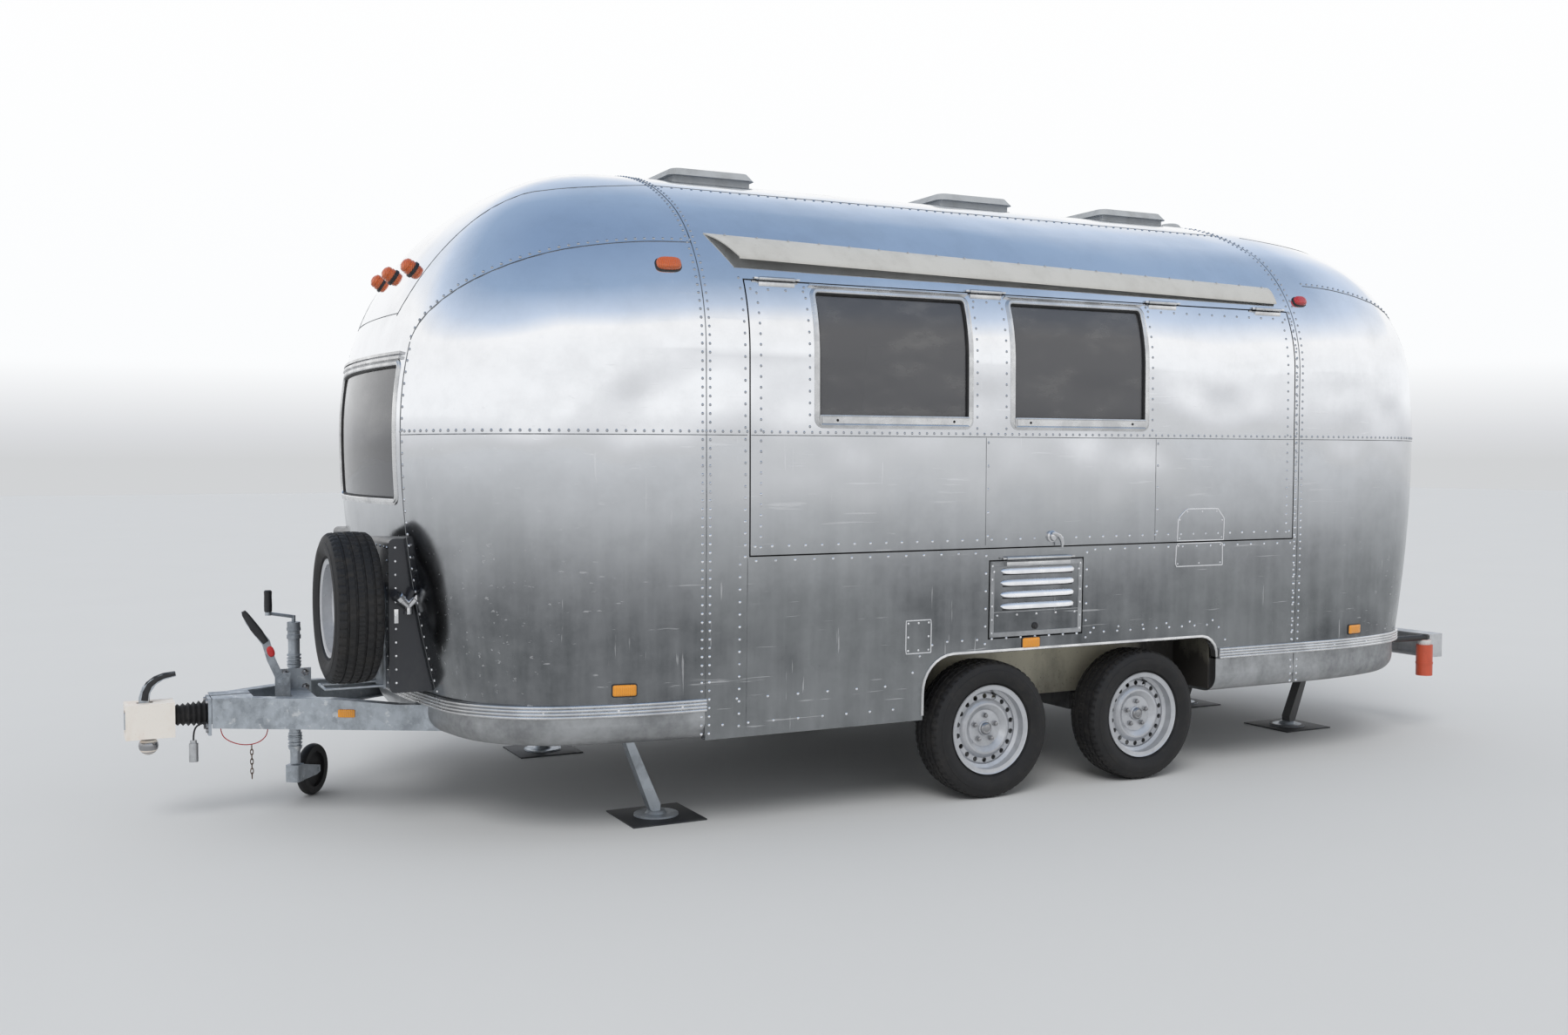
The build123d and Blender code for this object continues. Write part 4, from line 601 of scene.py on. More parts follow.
class Finish:
    """A material while it is built: its shader and what feeds it."""

    def __init__(self, name, uniform):
        self.material = bpy.data.materials.new(name)
        self.material.use_nodes = True
        self.tree = self.material.node_tree
        self.shader = self.tree.nodes["Principled BSDF"]
        for socket, value in uniform.items():
            self.shader.inputs[socket].default_value = value

    def node(self, kind, settings, inputs, output=0):
        """Adds a node to this material."""
        return add_node(self.tree, kind, settings, inputs, output)

    def spot(self, stretch=(1, 1, 1)):
        """The place on the piece, stretched for a pattern."""
        place = self.node("ShaderNodeTexCoord", {}, {}, "Object")
        return self.node("ShaderNodeVectorMath", {"operation": "MULTIPLY"}, {0: place, 1: stretch})

    def axis(self, name):
        """One coordinate of the place on the piece, in metres."""
        place = self.node("ShaderNodeTexCoord", {}, {}, "Object")
        return self.node("ShaderNodeSeparateXYZ", {}, {0: place}, name)

    def noise(self, scale, stretch=(1, 1, 1), detail=4.0, roughness=0.55):
        """Soft noise, finer with scale."""
        inputs = {"Vector": self.spot(stretch), "Scale": scale, "Detail": detail, "Roughness": roughness}
        return self.node("ShaderNodeTexNoise", {}, inputs)

    def between(self, value, low, high):
        """Smooth step from 0 at low to 1 at high."""
        settings = {"interpolation_type": "SMOOTHSTEP"}
        return self.node("ShaderNodeMapRange", settings, {"Value": value, "From Min": low, "From Max": high})

    def mix(self, factor, first, second):
        """Colour that goes from the first to the second with the factor."""
        inputs = {0: factor, 6: first, 7: second}
        return self.node("ShaderNodeMix", {"data_type": "RGBA"}, inputs, 2)

    def bump(self, height, distance):
        """Feeds the shader's normal from a height."""
        self.feed("Normal", self.node("ShaderNodeBump", {}, {"Height": height, "Distance": distance}))

    def feed(self, socket, value):
        """Links a value to the shader."""
        self.tree.links.new(value.socket, self.shader.inputs[socket])


def sheet_finish(name, bright, dull, gloss, haze):
    """Polished sheet: bright and wavy above; scratched, hazy and painted dark towards the bottom, a painted
    reflection of the dark ground.
    """
    finish = Finish(name, {"Metallic": 1.0})
    height = finish.axis("Z")
    # low is 1 towards the bottom, where the colour is painted dark as a painted reflection of the dark ground
    # and the sheet is hazier
    low = 1 - finish.between(height, 0.75, 1.66)
    smear = finish.noise(1.7, (1, 1, 1.8), 6)
    streak = finish.noise(16, (1, 1, 0.09), 5)
    cloud = finish.noise(7, (1, 1, 1), 7, 0.65)
    lines = finish.between(finish.noise(55, (0.05, 1, 1.1), 3), 0.66, 0.72)
    slants = finish.between(finish.noise(48, (1.2, 1, 0.07), 3), 0.69, 0.74)
    wear = finish.between(smear * 0.6 + cloud * 0.5, 0.42, 0.75)
    # Painted reflection of the dark ground towards the bottom, with a little random wear mixed in
    ground_reflection_and_wear = low * (0.74 + streak * 0.26) + wear * 0.12
    tone = finish.mix(ground_reflection_and_wear, colour(bright), colour(dull))
    patches = finish.between(finish.noise(0.9, (1, 1, 1.7), 2, 0.4), 0.47, 0.56)
    tone = finish.mix(patches * low * 0.22, tone, colour((0.52, 0.54, 0.54)))
    tone = finish.mix((lines + slants) * low * 0.35, tone, colour((0.90, 0.90, 0.91)))
    finish.feed("Base Color", tone)
    rough = wear * 0.07 + low * (haze * 0.5 + cloud * haze) + (lines + slants) * 0.12 + gloss
    finish.feed("Roughness", rough)
    waves = finish.noise(1.15, (1, 1, 1.5), 0.0)
    dents = finish.noise(3.6, (1, 1, 1.2), 0.0)
    finish.bump(waves + dents * 0.16 + (lines + slants) * 0.0006 + cloud * 0.0006, 0.030)
    return finish.material


def metal_finish(name, tone, darkening, roughness, grain, metallic=1.0):
    """Plain metal with blotches of a second tone and a grain in its gloss."""
    finish = Finish(name, {"Metallic": metallic})
    blotch = finish.between(finish.noise(grain * 0.25, detail=6, roughness=0.65), 0.35, 0.68)
    grit = finish.noise(grain * 4, detail=3)
    second = tuple(part * (1 - darkening) for part in tone)
    finish.feed("Base Color", finish.mix(blotch * 0.8 + grit * 0.2, colour(tone), colour(second)))
    finish.feed("Roughness", blotch * 0.18 + grit * 0.1 + roughness - 0.1)
    finish.bump(blotch * 0.5 + grit * 0.5, 0.0006)
    return finish.material


def galvanised_finish(name, tone):
    """Hot-dip zinc: crystal patches, pale drips and dull stains."""
    finish = Finish(name, {"Metallic": 0.75})
    crystal = finish.node(
        "ShaderNodeTexVoronoi", {"feature": "F1"}, {"Vector": finish.spot(), "Scale": 42.0}, 1
    )
    crystal = finish.node("ShaderNodeSeparateColor", {}, {0: crystal})
    stain = finish.between(finish.noise(9, (1, 1, 0.7), 7, 0.7), 0.42, 0.66)
    pale = finish.between(finish.noise(23, (1, 1, 1), 6, 0.6), 0.60, 0.68)
    darker = tuple(part * 0.62 for part in tone)
    base = finish.mix(stain * 0.65 + crystal * 0.3, colour(tone), colour(darker))
    finish.feed("Base Color", finish.mix(pale * 0.6, base, colour((0.72, 0.73, 0.73))))
    finish.feed("Roughness", crystal * 0.16 + stain * 0.14 + 0.34)
    finish.bump(crystal * 0.25 + stain * 0.5 + pale * 0.4, 0.0006)
    return finish.material


def paint_finish(name, tone, dirt, roughness, grain=6, coat=0.0):
    """Paint or plastic with soft dirt."""
    finish = Finish(name, {"Coat Weight": coat, "Coat Roughness": 0.15})
    blotch = finish.between(finish.noise(grain, (1, 1, 0.5), 7, 0.65), 0.40, 0.78)
    speck = finish.between(finish.noise(grain * 22, detail=4), 0.62, 0.74)
    amount = blotch * 0.55 + speck * 0.35
    finish.feed("Base Color", finish.mix(amount, colour(tone), colour(dirt)))
    finish.feed("Roughness", amount * 0.2 + roughness)
    finish.bump(blotch * 0.3 + speck * 0.5, 0.0005)
    return finish.material


def rivet_finish_painted_by_height(name, low, high):
    """Rivet heads with painted light: a painted highlight low down against the sheet's painted dark, painted
    shade higher up against the bright sheet.
    """
    finish = Finish(name, {"Metallic": 1.0})
    # Painted highlight and shade by height: bright rivets low on the walls, greyer ones higher up
    rise = finish.between(finish.axis("Z"), 1.15, 1.60)
    worn = finish.between(finish.noise(60, detail=3), 0.45, 0.65)
    tone = finish.mix(rise, colour(low), colour(high))
    finish.feed("Base Color", finish.mix(worn * 0.35, tone, colour((0.42, 0.42, 0.43))))
    finish.feed("Roughness", worn * 0.15 + 0.22)
    finish.bump(worn, 0.0003)
    return finish.material


def housing_finish(name, tone, dirt):
    """Cream paint between the wheels with random dirt, darker, nearly black, low down and towards both ends
    of the arch.
    """
    finish = Finish(name, {})
    along = finish.axis("X")
    middle = finish.between(along, -1.22, -1.02) - finish.between(along, -0.06, 0.10)
    blotch = finish.between(finish.noise(5, (1, 1, 0.5), 7, 0.65), 0.40, 0.78)
    speck = finish.between(finish.noise(110, detail=4), 0.60, 0.74)
    low = 1 - finish.between(finish.axis("Z"), 0.35, 0.62)
    amount = blotch * 0.45 + speck * 0.3 + low * 0.45 + (1 - middle) * 0.8
    finish.feed("Base Color", finish.mix(amount, colour(tone), colour(dirt)))
    finish.feed("Roughness", amount * 0.15 + 0.5)
    finish.bump(blotch * 0.3 + speck * 0.5, 0.0006)
    return finish.material


def rubber_finish(name, tone, dust):
    """Rubber with dust in its hollows."""
    finish = Finish(name, {"Specular IOR Level": 0.35})
    dusty = finish.between(finish.noise(14, detail=7, roughness=0.7), 0.45, 0.75)
    grit = finish.noise(190, detail=2)
    finish.feed("Base Color", finish.mix(dusty * 0.6 + grit * 0.15, colour(tone), colour(dust)))
    finish.feed("Roughness", dusty * 0.25 + grit * 0.12 + 0.5)
    finish.bump(dusty * 0.4 + grit * 0.6, 0.0007)
    return finish.material


def lens_finish(name, tone, deep):
    """Moulded lens with ribs inside."""
    finish = Finish(name, {"Coat Weight": 0.8, "Coat Roughness": 0.08, "Specular IOR Level": 0.6})
    ribs = finish.node(
        "ShaderNodeTexWave",
        {"wave_type": "BANDS", "bands_direction": "X"},
        {"Vector": finish.spot(), "Scale": 42.0, "Distortion": 0.0},
        "Fac",
    )
    dirt = finish.noise(30, detail=5)
    finish.feed("Base Color", finish.mix(ribs * 0.35 + dirt * 0.35, colour(tone), colour(deep)))
    finish.feed("Roughness", ribs * 0.1 + dirt * 0.15 + 0.12)
    finish.bump(ribs, 0.0012)
    return finish.material


def glass_finish(name, tone):
    """Dark tinted pane, a little smeared, seen into but not clearly."""
    finish = Finish(name, {"Specular IOR Level": 0.7, "IOR": 1.5, "Coat Weight": 0.6, "Coat Roughness": 0.03})
    smear = finish.between(finish.noise(3.2, (1, 1, 2.5), 6, 0.6), 0.45, 0.75)
    waves = finish.noise(1.6, (1, 1, 2), 1)
    finish.feed("Base Color", finish.mix(smear * 0.6, colour(tone), colour((0.15, 0.145, 0.14))))
    finish.feed("Roughness", smear * 0.12 + 0.03)
    finish.feed("Alpha", smear * 0.1 + 0.80)
    finish.bump(waves, 0.006)
    return finish.material


def look_value(value):
    """A value as it is written, or the user's look of that name."""
    if not isinstance(value, str):
        return value
    look = getattr(bpy.context.scene.caravan_looks, value)
    return look if isinstance(look, float) else tuple(look)


# For each finish: its maker, the material's name and the maker's values, a word naming a user's look
FINISHES = {
    "sheet": (sheet_finish, "polished_sheet", "sheet_bright", "sheet_dull", "sheet_roughness", 0.15),
    "trim": (metal_finish, "bright_trim", (0.80, 0.80, 0.80), 0.28, 0.26, 24),
    "bright": (metal_finish, "pressed_sheet", (0.93, 0.93, 0.94), 0.12, 0.30, 24),
    "rivets": (rivet_finish_painted_by_height, "rivet_heads", (0.93, 0.93, 0.94), (0.50, 0.51, 0.53)),
    # Lap edges: their dark grey is partly dirt and partly painted shadow along each edge
    "seams": (metal_finish, "lap_edges", (0.30, 0.31, 0.32), 0.5, 0.45, 40),
    "belly": (metal_finish, "belly_sheet", (0.52, 0.53, 0.54), 0.5, 0.42, 10),
    "lining": (paint_finish, "cabin_lining", (0.62, 0.60, 0.56), (0.48, 0.46, 0.42), 0.6),
    # Black rubber of the gaskets, also used for the painted shade under the louvres
    "gap": (rubber_finish, "door_seal", (0.015, 0.015, 0.016), (0.06, 0.055, 0.05)),
    "glass": (glass_finish, "tinted_pane", "glass_tint"),
    "hood": (paint_finish, "hood_paint", "hood_paint", (0.40, 0.385, 0.35), 0.42, 5),
    "vents": (paint_finish, "vent_plastic", (0.47, 0.48, 0.48), (0.25, 0.25, 0.24), 0.5, 9),
    "housing": (housing_finish, "housing_paint", (0.66, 0.62, 0.49), (0.035, 0.032, 0.028)),
    "zinc": (galvanised_finish, "galvanised_steel", "zinc"),
    "chassis": (metal_finish, "chassis_steel", (0.14, 0.14, 0.14), 0.55, 0.6, 14, 0.4),
    "lock": (paint_finish, "lock_paint", (0.88, 0.83, 0.76), (0.62, 0.42, 0.30), 0.45, 8),
    "bellows": (rubber_finish, "bellows_rubber", (0.02, 0.02, 0.021), (0.07, 0.065, 0.06)),
    "tyre": (rubber_finish, "tyre_rubber", (0.014, 0.014, 0.015), (0.048, 0.044, 0.040)),
    "wheel": (metal_finish, "wheel_paint", "wheel_paint", 0.25, 0.34, 16, 0.55),
    "box": (paint_finish, "box_paint", (0.024, 0.026, 0.032), (0.06, 0.06, 0.06), 0.35, 9, 0.3),
    "bumper": (metal_finish, "bumper_sheet", (0.66, 0.67, 0.68), 0.3, 0.4, 12, 0.7),
    "waste": (paint_finish, "waste_plastic", (0.62, 0.10, 0.045), (0.33, 0.06, 0.03), 0.4, 12, 0.2),
    "amber": (lens_finish, "amber_lens", (0.95, 0.40, 0.012), (0.66, 0.18, 0.0)),
    "red": (lens_finish, "red_lens", (0.62, 0.02, 0.025), (0.25, 0.0, 0.005)),
    "orange": (lens_finish, "crown_lens", (0.72, 0.14, 0.01), (0.35, 0.04, 0.0)),
    "plug": (metal_finish, "plug_casting", (0.66, 0.67, 0.68), 0.3, 0.35, 60),
    "chrome": (metal_finish, "chrome", (0.76, 0.76, 0.77), 0.22, 0.16, 20),
    "ball": (metal_finish, "ball_steel", (0.40, 0.40, 0.41), 0.3, 0.22, 20),
    "rusty": (metal_finish, "rusty_chain", (0.24, 0.17, 0.13), 0.6, 0.6, 60, 0.5),
    "black": (paint_finish, "black_plastic", (0.018, 0.018, 0.02), (0.05, 0.05, 0.05), 0.4, 30),
    "cable": (paint_finish, "cable_sheath", (0.42, 0.02, 0.02), (0.2, 0.02, 0.02), 0.45, 20),
    "button": (paint_finish, "release_button", (0.6, 0.03, 0.03), (0.35, 0.02, 0.02), 0.35, 30),
    "lead": (rubber_finish, "lead_sheath", (0.02, 0.02, 0.02), (0.05, 0.05, 0.05)),
    "plate": (paint_finish, "foot_board", (0.022, 0.024, 0.028), (0.07, 0.07, 0.065), 0.55, 8),
    "white": (paint_finish, "white_plastic", (0.72, 0.72, 0.70), (0.45, 0.44, 0.4), 0.45, 9),
}
finishes = {}


def finish_for(name):
    """A finish by its name, made when it is first asked for."""
    if name not in finishes:
        maker, label, *values = FINISHES[name]
        finishes[name] = maker(label, *[look_value(value) for value in values])
    return finishes[name]


# Mesh helpers


def solid_mesh(name, vertices, faces, merge=None, sliver=None):
    """A mesh with its faces turned outward, and close points or slivers taken away where a limit is given."""
    mesh = bpy.data.meshes.new(name)
    mesh.from_pydata([tuple(vertex) for vertex in vertices], [], faces)
    form = bmesh.new()
    form.from_mesh(mesh)
    if merge:
        bmesh.ops.remove_doubles(form, verts=form.verts, dist=merge)
    if sliver:
        bmesh.ops.dissolve_degenerate(form, edges=form.edges, dist=sliver)
    bmesh.ops.recalc_face_normals(form, faces=form.faces)
    form.to_mesh(mesh)
    form.free()
    return mesh


def add_object(name, data):
    """A new object in the scene."""
    shape = bpy.data.objects.new(name, data)
    bpy.context.collection.objects.link(shape)
    return shape


def add_mesh(name, mesh, finish, on, sharp):
    """A new piece on a body, smooth except where its faces meet at more than the sharp angle."""
    piece = add_object(name, mesh)
    mesh.materials.clear()
    mesh.materials.append(finish_for(finish))
    if sharp:
        mesh.polygons.foreach_set("use_smooth", [True] * len(mesh.polygons))
        mesh.set_sharp_from_angle(angle=math.radians(sharp))
    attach(piece, body(on))
    return piece


class Heap:
    """Points and faces that are gathered into one piece."""

    def __init__(self):
        self.vertices = []
        self.faces = []

    def add(self, vertices, faces):
        """Adds a part."""
        first = len(self.vertices)
        self.vertices.extend(vertices)
        self.faces.extend([tuple(first + index for index in face) for face in faces])

    def grid(self, rows, closed=False, wrap=False, caps=False):
        """Adds a sheet through rows of points, closed round each row or from last to first."""
        count = len(rows[0])
        faces = []
        for row in range(len(rows) if wrap else len(rows) - 1):
            following = (row + 1) % len(rows)
            for index in range(count if closed else count - 1):
                after = (index + 1) % count
                near, far = row * count, following * count
                faces.append((near + index, near + after, far + after, far + index))
        if caps and not wrap:
            faces.append(tuple(range(count))[::-1])
            faces.append(tuple((len(rows) - 1) * count + index for index in range(count)))
        self.add([point for row in rows for point in row], faces)

    def piece(self, name, finish, on, slot=None, sharp=35):
        """Makes the piece, with its faces turned outward."""
        return add_mesh(name, solid_mesh(name, self.vertices, self.faces, 1e-6), finish, on, sharp)


def ring(centre, axis, radius, count):
    """Points of a circle round an axis."""
    axis = Vector(axis).normalized()
    across = axis.orthogonal().normalized()
    up = axis.cross(across)
    turn = 2 * math.pi / count
    return [
        Vector(centre) + radius * (across * math.cos(turn * i) + up * math.sin(turn * i))
        for i in range(count)
    ]


def turned(heap, origin, axis, profile, count):
    """A round part, from pairs of distance along the axis and radius."""
    axis = Vector(axis).normalized()
    rows = [ring(Vector(origin) + axis * along, axis, max(radius, 1e-5), count) for along, radius in profile]
    heap.grid(rows, closed=True, caps=True)


def tube(heap, points, radius, count, flat=1.0):
    """A bent round or flattened bar through points."""
    points = [Vector(point) for point in points]
    rows = []
    across = None
    for index, point in enumerate(points):
        before = points[max(index - 1, 0)]
        after = points[min(index + 1, len(points) - 1)]
        line = (after - before).normalized()
        if across is None:
            across = line.orthogonal().normalized()
        across = (across - line * across.dot(line)).normalized()
        up = line.cross(across)
        size = radius[index] if isinstance(radius, (list, tuple)) else radius
        turn = 2 * math.pi / count
        rows.append([
            point + size * (across * math.cos(turn * i) + up * flat * math.sin(turn * i))
            for i in range(count)
        ])
    heap.grid(rows, closed=True, caps=True)


def block(heap, low, high, bevel):
    """A box between two corners with small bevels."""
    form = bmesh.new()
    size = Vector(high) - Vector(low)
    middle = (Vector(high) + Vector(low)) / 2
    bmesh.ops.create_cube(form, size=1.0, matrix=Matrix.Translation(middle) @ Matrix.Diagonal((*size, 1)))
    bmesh.ops.bevel(form, geom=form.edges[:], offset=bevel, segments=2, affect="EDGES", profile=0.6)
    form.verts.index_update()
    corners = [vertex.co.copy() for vertex in form.verts]
    heap.add(corners, [tuple(vertex.index for vertex in face.verts) for face in form.faces])
    form.free()


def resample(points, pitch):
    """Points along a line at an even pitch near the one that is asked for."""
    line = np.array([tuple(point) for point in points])
    steps = np.linalg.norm(np.diff(line, axis=0), axis=1)
    run = np.concatenate([[0], np.cumsum(steps)])
    count = max(int(round(run[-1] / pitch)), 1)
    stations = np.linspace(0, run[-1], count + 1)
    return [Vector([np.interp(station, run, line[:, axis]) for axis in range(3)]) for station in stations]


def rivet(heap, point, normal, radius=None):
    """One domed rivet head."""
    radius = radius or bpy.context.scene.caravan_sizes.rivet_radius
    foot = ring(point - normal * 0.0006, normal, radius, RIVET_SIDES)
    shoulder = ring(point + normal * radius * 0.42, normal, radius * 0.70, RIVET_SIDES)
    after = [(i + 1) % RIVET_SIDES for i in range(RIVET_SIDES)]
    faces = [(i, following, RIVET_SIDES + following, RIVET_SIDES + i) for i, following in enumerate(after)]
    top = 2 * RIVET_SIDES
    faces += [(RIVET_SIDES + i, RIVET_SIDES + following, top) for i, following in enumerate(after)]
    heap.add([*foot, *shoulder, point + normal * radius * 0.62], faces)


def seated(point):
    """The skin's own point next to a place close to it on a rounded end."""
    if REAR_BEND <= point.x <= FRONT_SEAM or point.z > BODY_TOP - 0.01:
        return point
    for _ in range(2):
        normal = normal_at(point)
        point = point - normal * outside_by(*point) * math.hypot(normal.x, normal.y)
    return point


def rivet_row(heap, points, pitch):
    """Rivets along a line on the skin."""
    for point in resample(points, pitch):
        point = seated(point)
        rivet(heap, point, normal_at(point))


def lap(heap, points, width=0.004, height=None, pitch=0.04):
    """A thin raised edge along a line on the skin."""
    height = height or bpy.context.scene.caravan_sizes.lap_height
    line = [seated(point) for point in resample(points, pitch)]
    rows = []
    for index, point in enumerate(line):
        normal = normal_at(point)
        along = line[min(index + 1, len(line) - 1)] - line[max(index - 1, 0)]
        across = normal.cross(along).normalized()
        rows.append(
            [
                point - across * width / 2 - normal * 0.001,
                point - across * width * 0.35 + normal * height,
                point + across * width * 0.35 + normal * height,
                point + across * width / 2 - normal * 0.001,
            ]
        )
    heap.grid(rows, closed=True, caps=True)


def line_on(surface, start, stop):
    """Points on the skin along a straight run between two pairs of its own coordinates."""
    (low_a, low_b), (high_a, high_b) = start, stop
    shares = [index / 24 for index in range(25)]
    return [surface(low_a + (high_a - low_a) * share, low_b + (high_b - low_b) * share) for share in shares]


def rounded_outline(low_a, high_a, low_b, high_b, corner, step=0.05):
    """Rounded rectangle as points with their outward directions."""
    points = []
    for middle_a, middle_b, first in (
        (high_a - corner, high_b - corner, 0),
        (low_a + corner, high_b - corner, 90),
        (low_a + corner, low_b + corner, 180),
        (high_a - corner, low_b + corner, 270),
    ):
        for index in range(7):
            angle = math.radians(first + index * 15)
            out = Vector((math.cos(angle), math.sin(angle)))
            points.append((Vector((middle_a, middle_b)) + corner * out, out))
    full = []
    for index, (point, out) in enumerate(points):
        following, next_out = points[(index + 1) % len(points)]
        full.append((point, out))
        run = (following - point).length
        if run > step * 1.5 and (out - next_out).length < 0.01:
            count = int(run / step)
            full.extend([(point.lerp(following, i / count), out) for i in range(1, count)])
    return full


def framed(heap, surface, outline, profile):
    """Sweeps a profile round an outline on the skin; its pairs are outward and proud distances."""
    rows = []
    for point, out in outline:
        spot = surface(point.x, point.y)
        along_a = (surface(point.x + 0.002, point.y) - surface(point.x - 0.002, point.y)).normalized()
        along_b = (surface(point.x, point.y + 0.002) - surface(point.x, point.y - 0.002)).normalized()
        out = along_a * out.x + along_b * out.y
        normal = normal_at(spot)
        rows.append([spot + out * a + normal * b for a, b in profile])
    heap.grid(rows, closed=True, wrap=True)


def slab(heap, surface, range_a, range_b, outer, inner, steps):
    """A curved slab between two depths below the skin."""
    fronts = []
    backs = []
    for i in range(steps[0] + 1):
        front = []
        back = []
        for j in range(steps[1] + 1):
            a = range_a[0] + (range_a[1] - range_a[0]) * i / steps[0]
            b = range_b[0] + (range_b[1] - range_b[0]) * j / steps[1]
            spot = surface(a, b)
            normal = normal_at(spot)
            front.append(spot - normal * outer)
            back.append(spot - normal * inner)
        fronts.append(front)
        backs.append(back)
    heap.add(*shell_between(fronts, backs))


def shell_between(fronts, backs):
    """Closed form between two grids of the same size."""
    rows = len(fronts)
    count = len(fronts[0])
    vertices = [point for row in fronts for point in row] + [point for row in backs for point in row]
    base = rows * count
    faces = []
    for i in range(rows - 1):
        for j in range(count - 1):
            quad = (i * count + j, (i + 1) * count + j, (i + 1) * count + j + 1, i * count + j + 1)
            faces.append(quad)
            faces.append(tuple(base + index for index in quad[::-1]))
    rim = list(range(count))
    rim += [i * count + count - 1 for i in range(1, rows)]
    rim += [(rows - 1) * count + j for j in range(count - 2, -1, -1)]
    rim += [i * count for i in range(rows - 2, 0, -1)]
    for start, stop in zip(rim, rim[1:] + rim[:1]):
        faces.append((start, stop, base + stop, base + start))
    return vertices, faces


def skin_object(name, grid):
    """A wall with its thickness, from the grid of its outer face."""
    inner = [[point - normal_at(point) * WALL for point in row] for row in grid]
    return add_object(name, solid_mesh(name, *shell_between(grid, inner), 1e-5, 1e-6))


def prism(outline, axis, near, far):
    """A cutter with an outline in one plane, carried along the axis that the plane lacks."""
    place = {"X": lambda a, b, depth: (depth, a, b), "Y": lambda a, b, depth: (a, depth, b)}[axis]
    vertices = [place(a, b, depth) for depth in (near, far) for a, b in outline]
    count = len(outline)
    faces = [tuple(range(count)), tuple(range(count, 2 * count))[::-1]]
    faces += [(i, (i + 1) % count, count + (i + 1) % count, count + i) for i in range(count)]
    return add_object("cutter", solid_mesh("cutter", vertices, faces))


def rectangle(low_a, high_a, low_b, high_b):
    """Corners of a rectangle in order."""
    return [(low_a, low_b), (high_a, low_b), (high_a, high_b), (low_a, high_b)]


def rounded(low_a, high_a, low_b, high_b, corner):
    """Corners of a rounded rectangle in order."""
    return [tuple(point) for point, _ in rounded_outline(low_a, high_a, low_b, high_b, corner, 9)]


def finish_skin(shape, cutters, keepers, on, node):
    """Cuts a wall's openings, gives it the form's true normals and puts it on its body."""
    for operation, tools in (("DIFFERENCE", cutters), ("INTERSECT", keepers)):
        for cutter in tools:
            modifier = shape.modifiers.new("cut", "BOOLEAN")
            modifier.operation = operation
            modifier.solver = "EXACT"
            modifier.object = cutter
    graph = bpy.context.evaluated_depsgraph_get()
    mesh = bpy.data.meshes.new_from_object(shape.evaluated_get(graph))
    name = shape.name
    mesh.name = name
    bpy.data.objects.remove(shape)
    for cutter in [*cutters, *keepers]:
        bpy.data.objects.remove(cutter)
    piece = add_mesh(name, mesh, "sheet", on, None)
    mesh.materials.append(finish_for("lining"))
    normals = [None] * len(mesh.loops)
    vertex_normals = {}
    for polygon in mesh.polygons:
        centre = polygon.center
        facing = polygon.normal
        true = normal_at(centre)
        agree = facing.dot(true)
        if abs(agree) > 0.9:
            for loop in polygon.loop_indices:
                vertex = mesh.loops[loop].vertex_index
                if vertex not in vertex_normals:
                    vertex_normals[vertex] = normal_at(mesh.vertices[vertex].co)
                normals[loop] = vertex_normals[vertex] * math.copysign(1, agree)
            if agree < 0:
                polygon.material_index = 1
        else:
            for loop in polygon.loop_indices:
                normals[loop] = facing.copy()
    mesh.polygons.foreach_set("use_smooth", [True] * len(mesh.polygons))
    mesh.normals_split_custom_set([tuple(normal) for normal in normals])
    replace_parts(piece, node)


def spread(low, high, pitch):
    """Even stations from low to high."""
    count = max(int(math.ceil((high - low) / pitch)), 1)
    return [low + (high - low) * index / count for index in range(count + 1)]


def wall_grid(side, low_x, high_x, low_z, high_z):
    """Grid of a straight wall's outer face."""
    surface = wall_point(side)
    heights = spread(low_z, high_z, HEIGHT_STEP)
    return [[surface(x, z) for z in heights] for x in spread(low_x, high_x, WALL_STEP)]


def end_heights(low):
    """Heights for an end's grid, closer towards the top."""
    heights = spread(low, BELT, 0.06)
    for index in range(1, 37):
        rise = math.sin(math.radians(90 * index / 36)) ** (2 / END_POWER)
        heights.append(BELT + (BODY_TOP - BELT) * rise)
    return heights


def end_grid(way, low):
    """Grid of a rounded end's outer face, from one side round to the other."""
    seam = seam_x(way)
    grid = []
    for z in end_heights(low):
        points = plan_points(z, QUARTER_STEPS)
        row = []
        if way < 0:
            row.append(Vector((REAR_SEAM, half_width_at(z), z)))
        row += [Vector((seam + way * point.x, point.y, z)) for point in points]
        row += [Vector((seam + way * point.x, -point.y, z)) for point in points[-2::-1]]
        if way < 0:
            row.append(Vector((REAR_SEAM, -half_width_at(z), z)))
        grid.append(row)
    return grid


def arch_outline(grow=0.0):
    """Outline of the wheel arch, closed far below the body."""
    rear, front, top = ARCH[0] - grow, ARCH[1] + grow, ARCH[2] + grow
    points = [(front, BELOW_BODY)]
    for middle, radius, first in (
        (front - ARCH_FRONT_CORNER, ARCH_FRONT_CORNER, 0),
        (rear + ARCH_REAR_CORNER, ARCH_REAR_CORNER, 90),
    ):
        for index in range(9):
            angle = math.radians(first + index * 90 / 8)
            points.append((middle + radius * math.cos(angle), top - radius + radius * math.sin(angle)))
    points.append((rear, BELOW_BODY))
    return points


def side_cutter(side, outline):
    """Cutter through the wall of one side."""
    return prism(outline, "Y", *(side * reach for reach in SIDE_CUT))


def window_outline(middle):
    """Outline of one side window's hole."""
    half = WINDOW_SIZE[0] / 2
    return rounded(middle - half, middle + half, WINDOW_LOW, WINDOW_LOW + WINDOW_SIZE[1], WINDOW_CORNER)


def with_gap(door):
    """The opening of a door: the door's own limits and the gap all round."""
    low_x, high_x, low_z, high_z = door
    return low_x - DOOR_GAP, high_x + DOOR_GAP, low_z - DOOR_GAP, high_z + DOOR_GAP


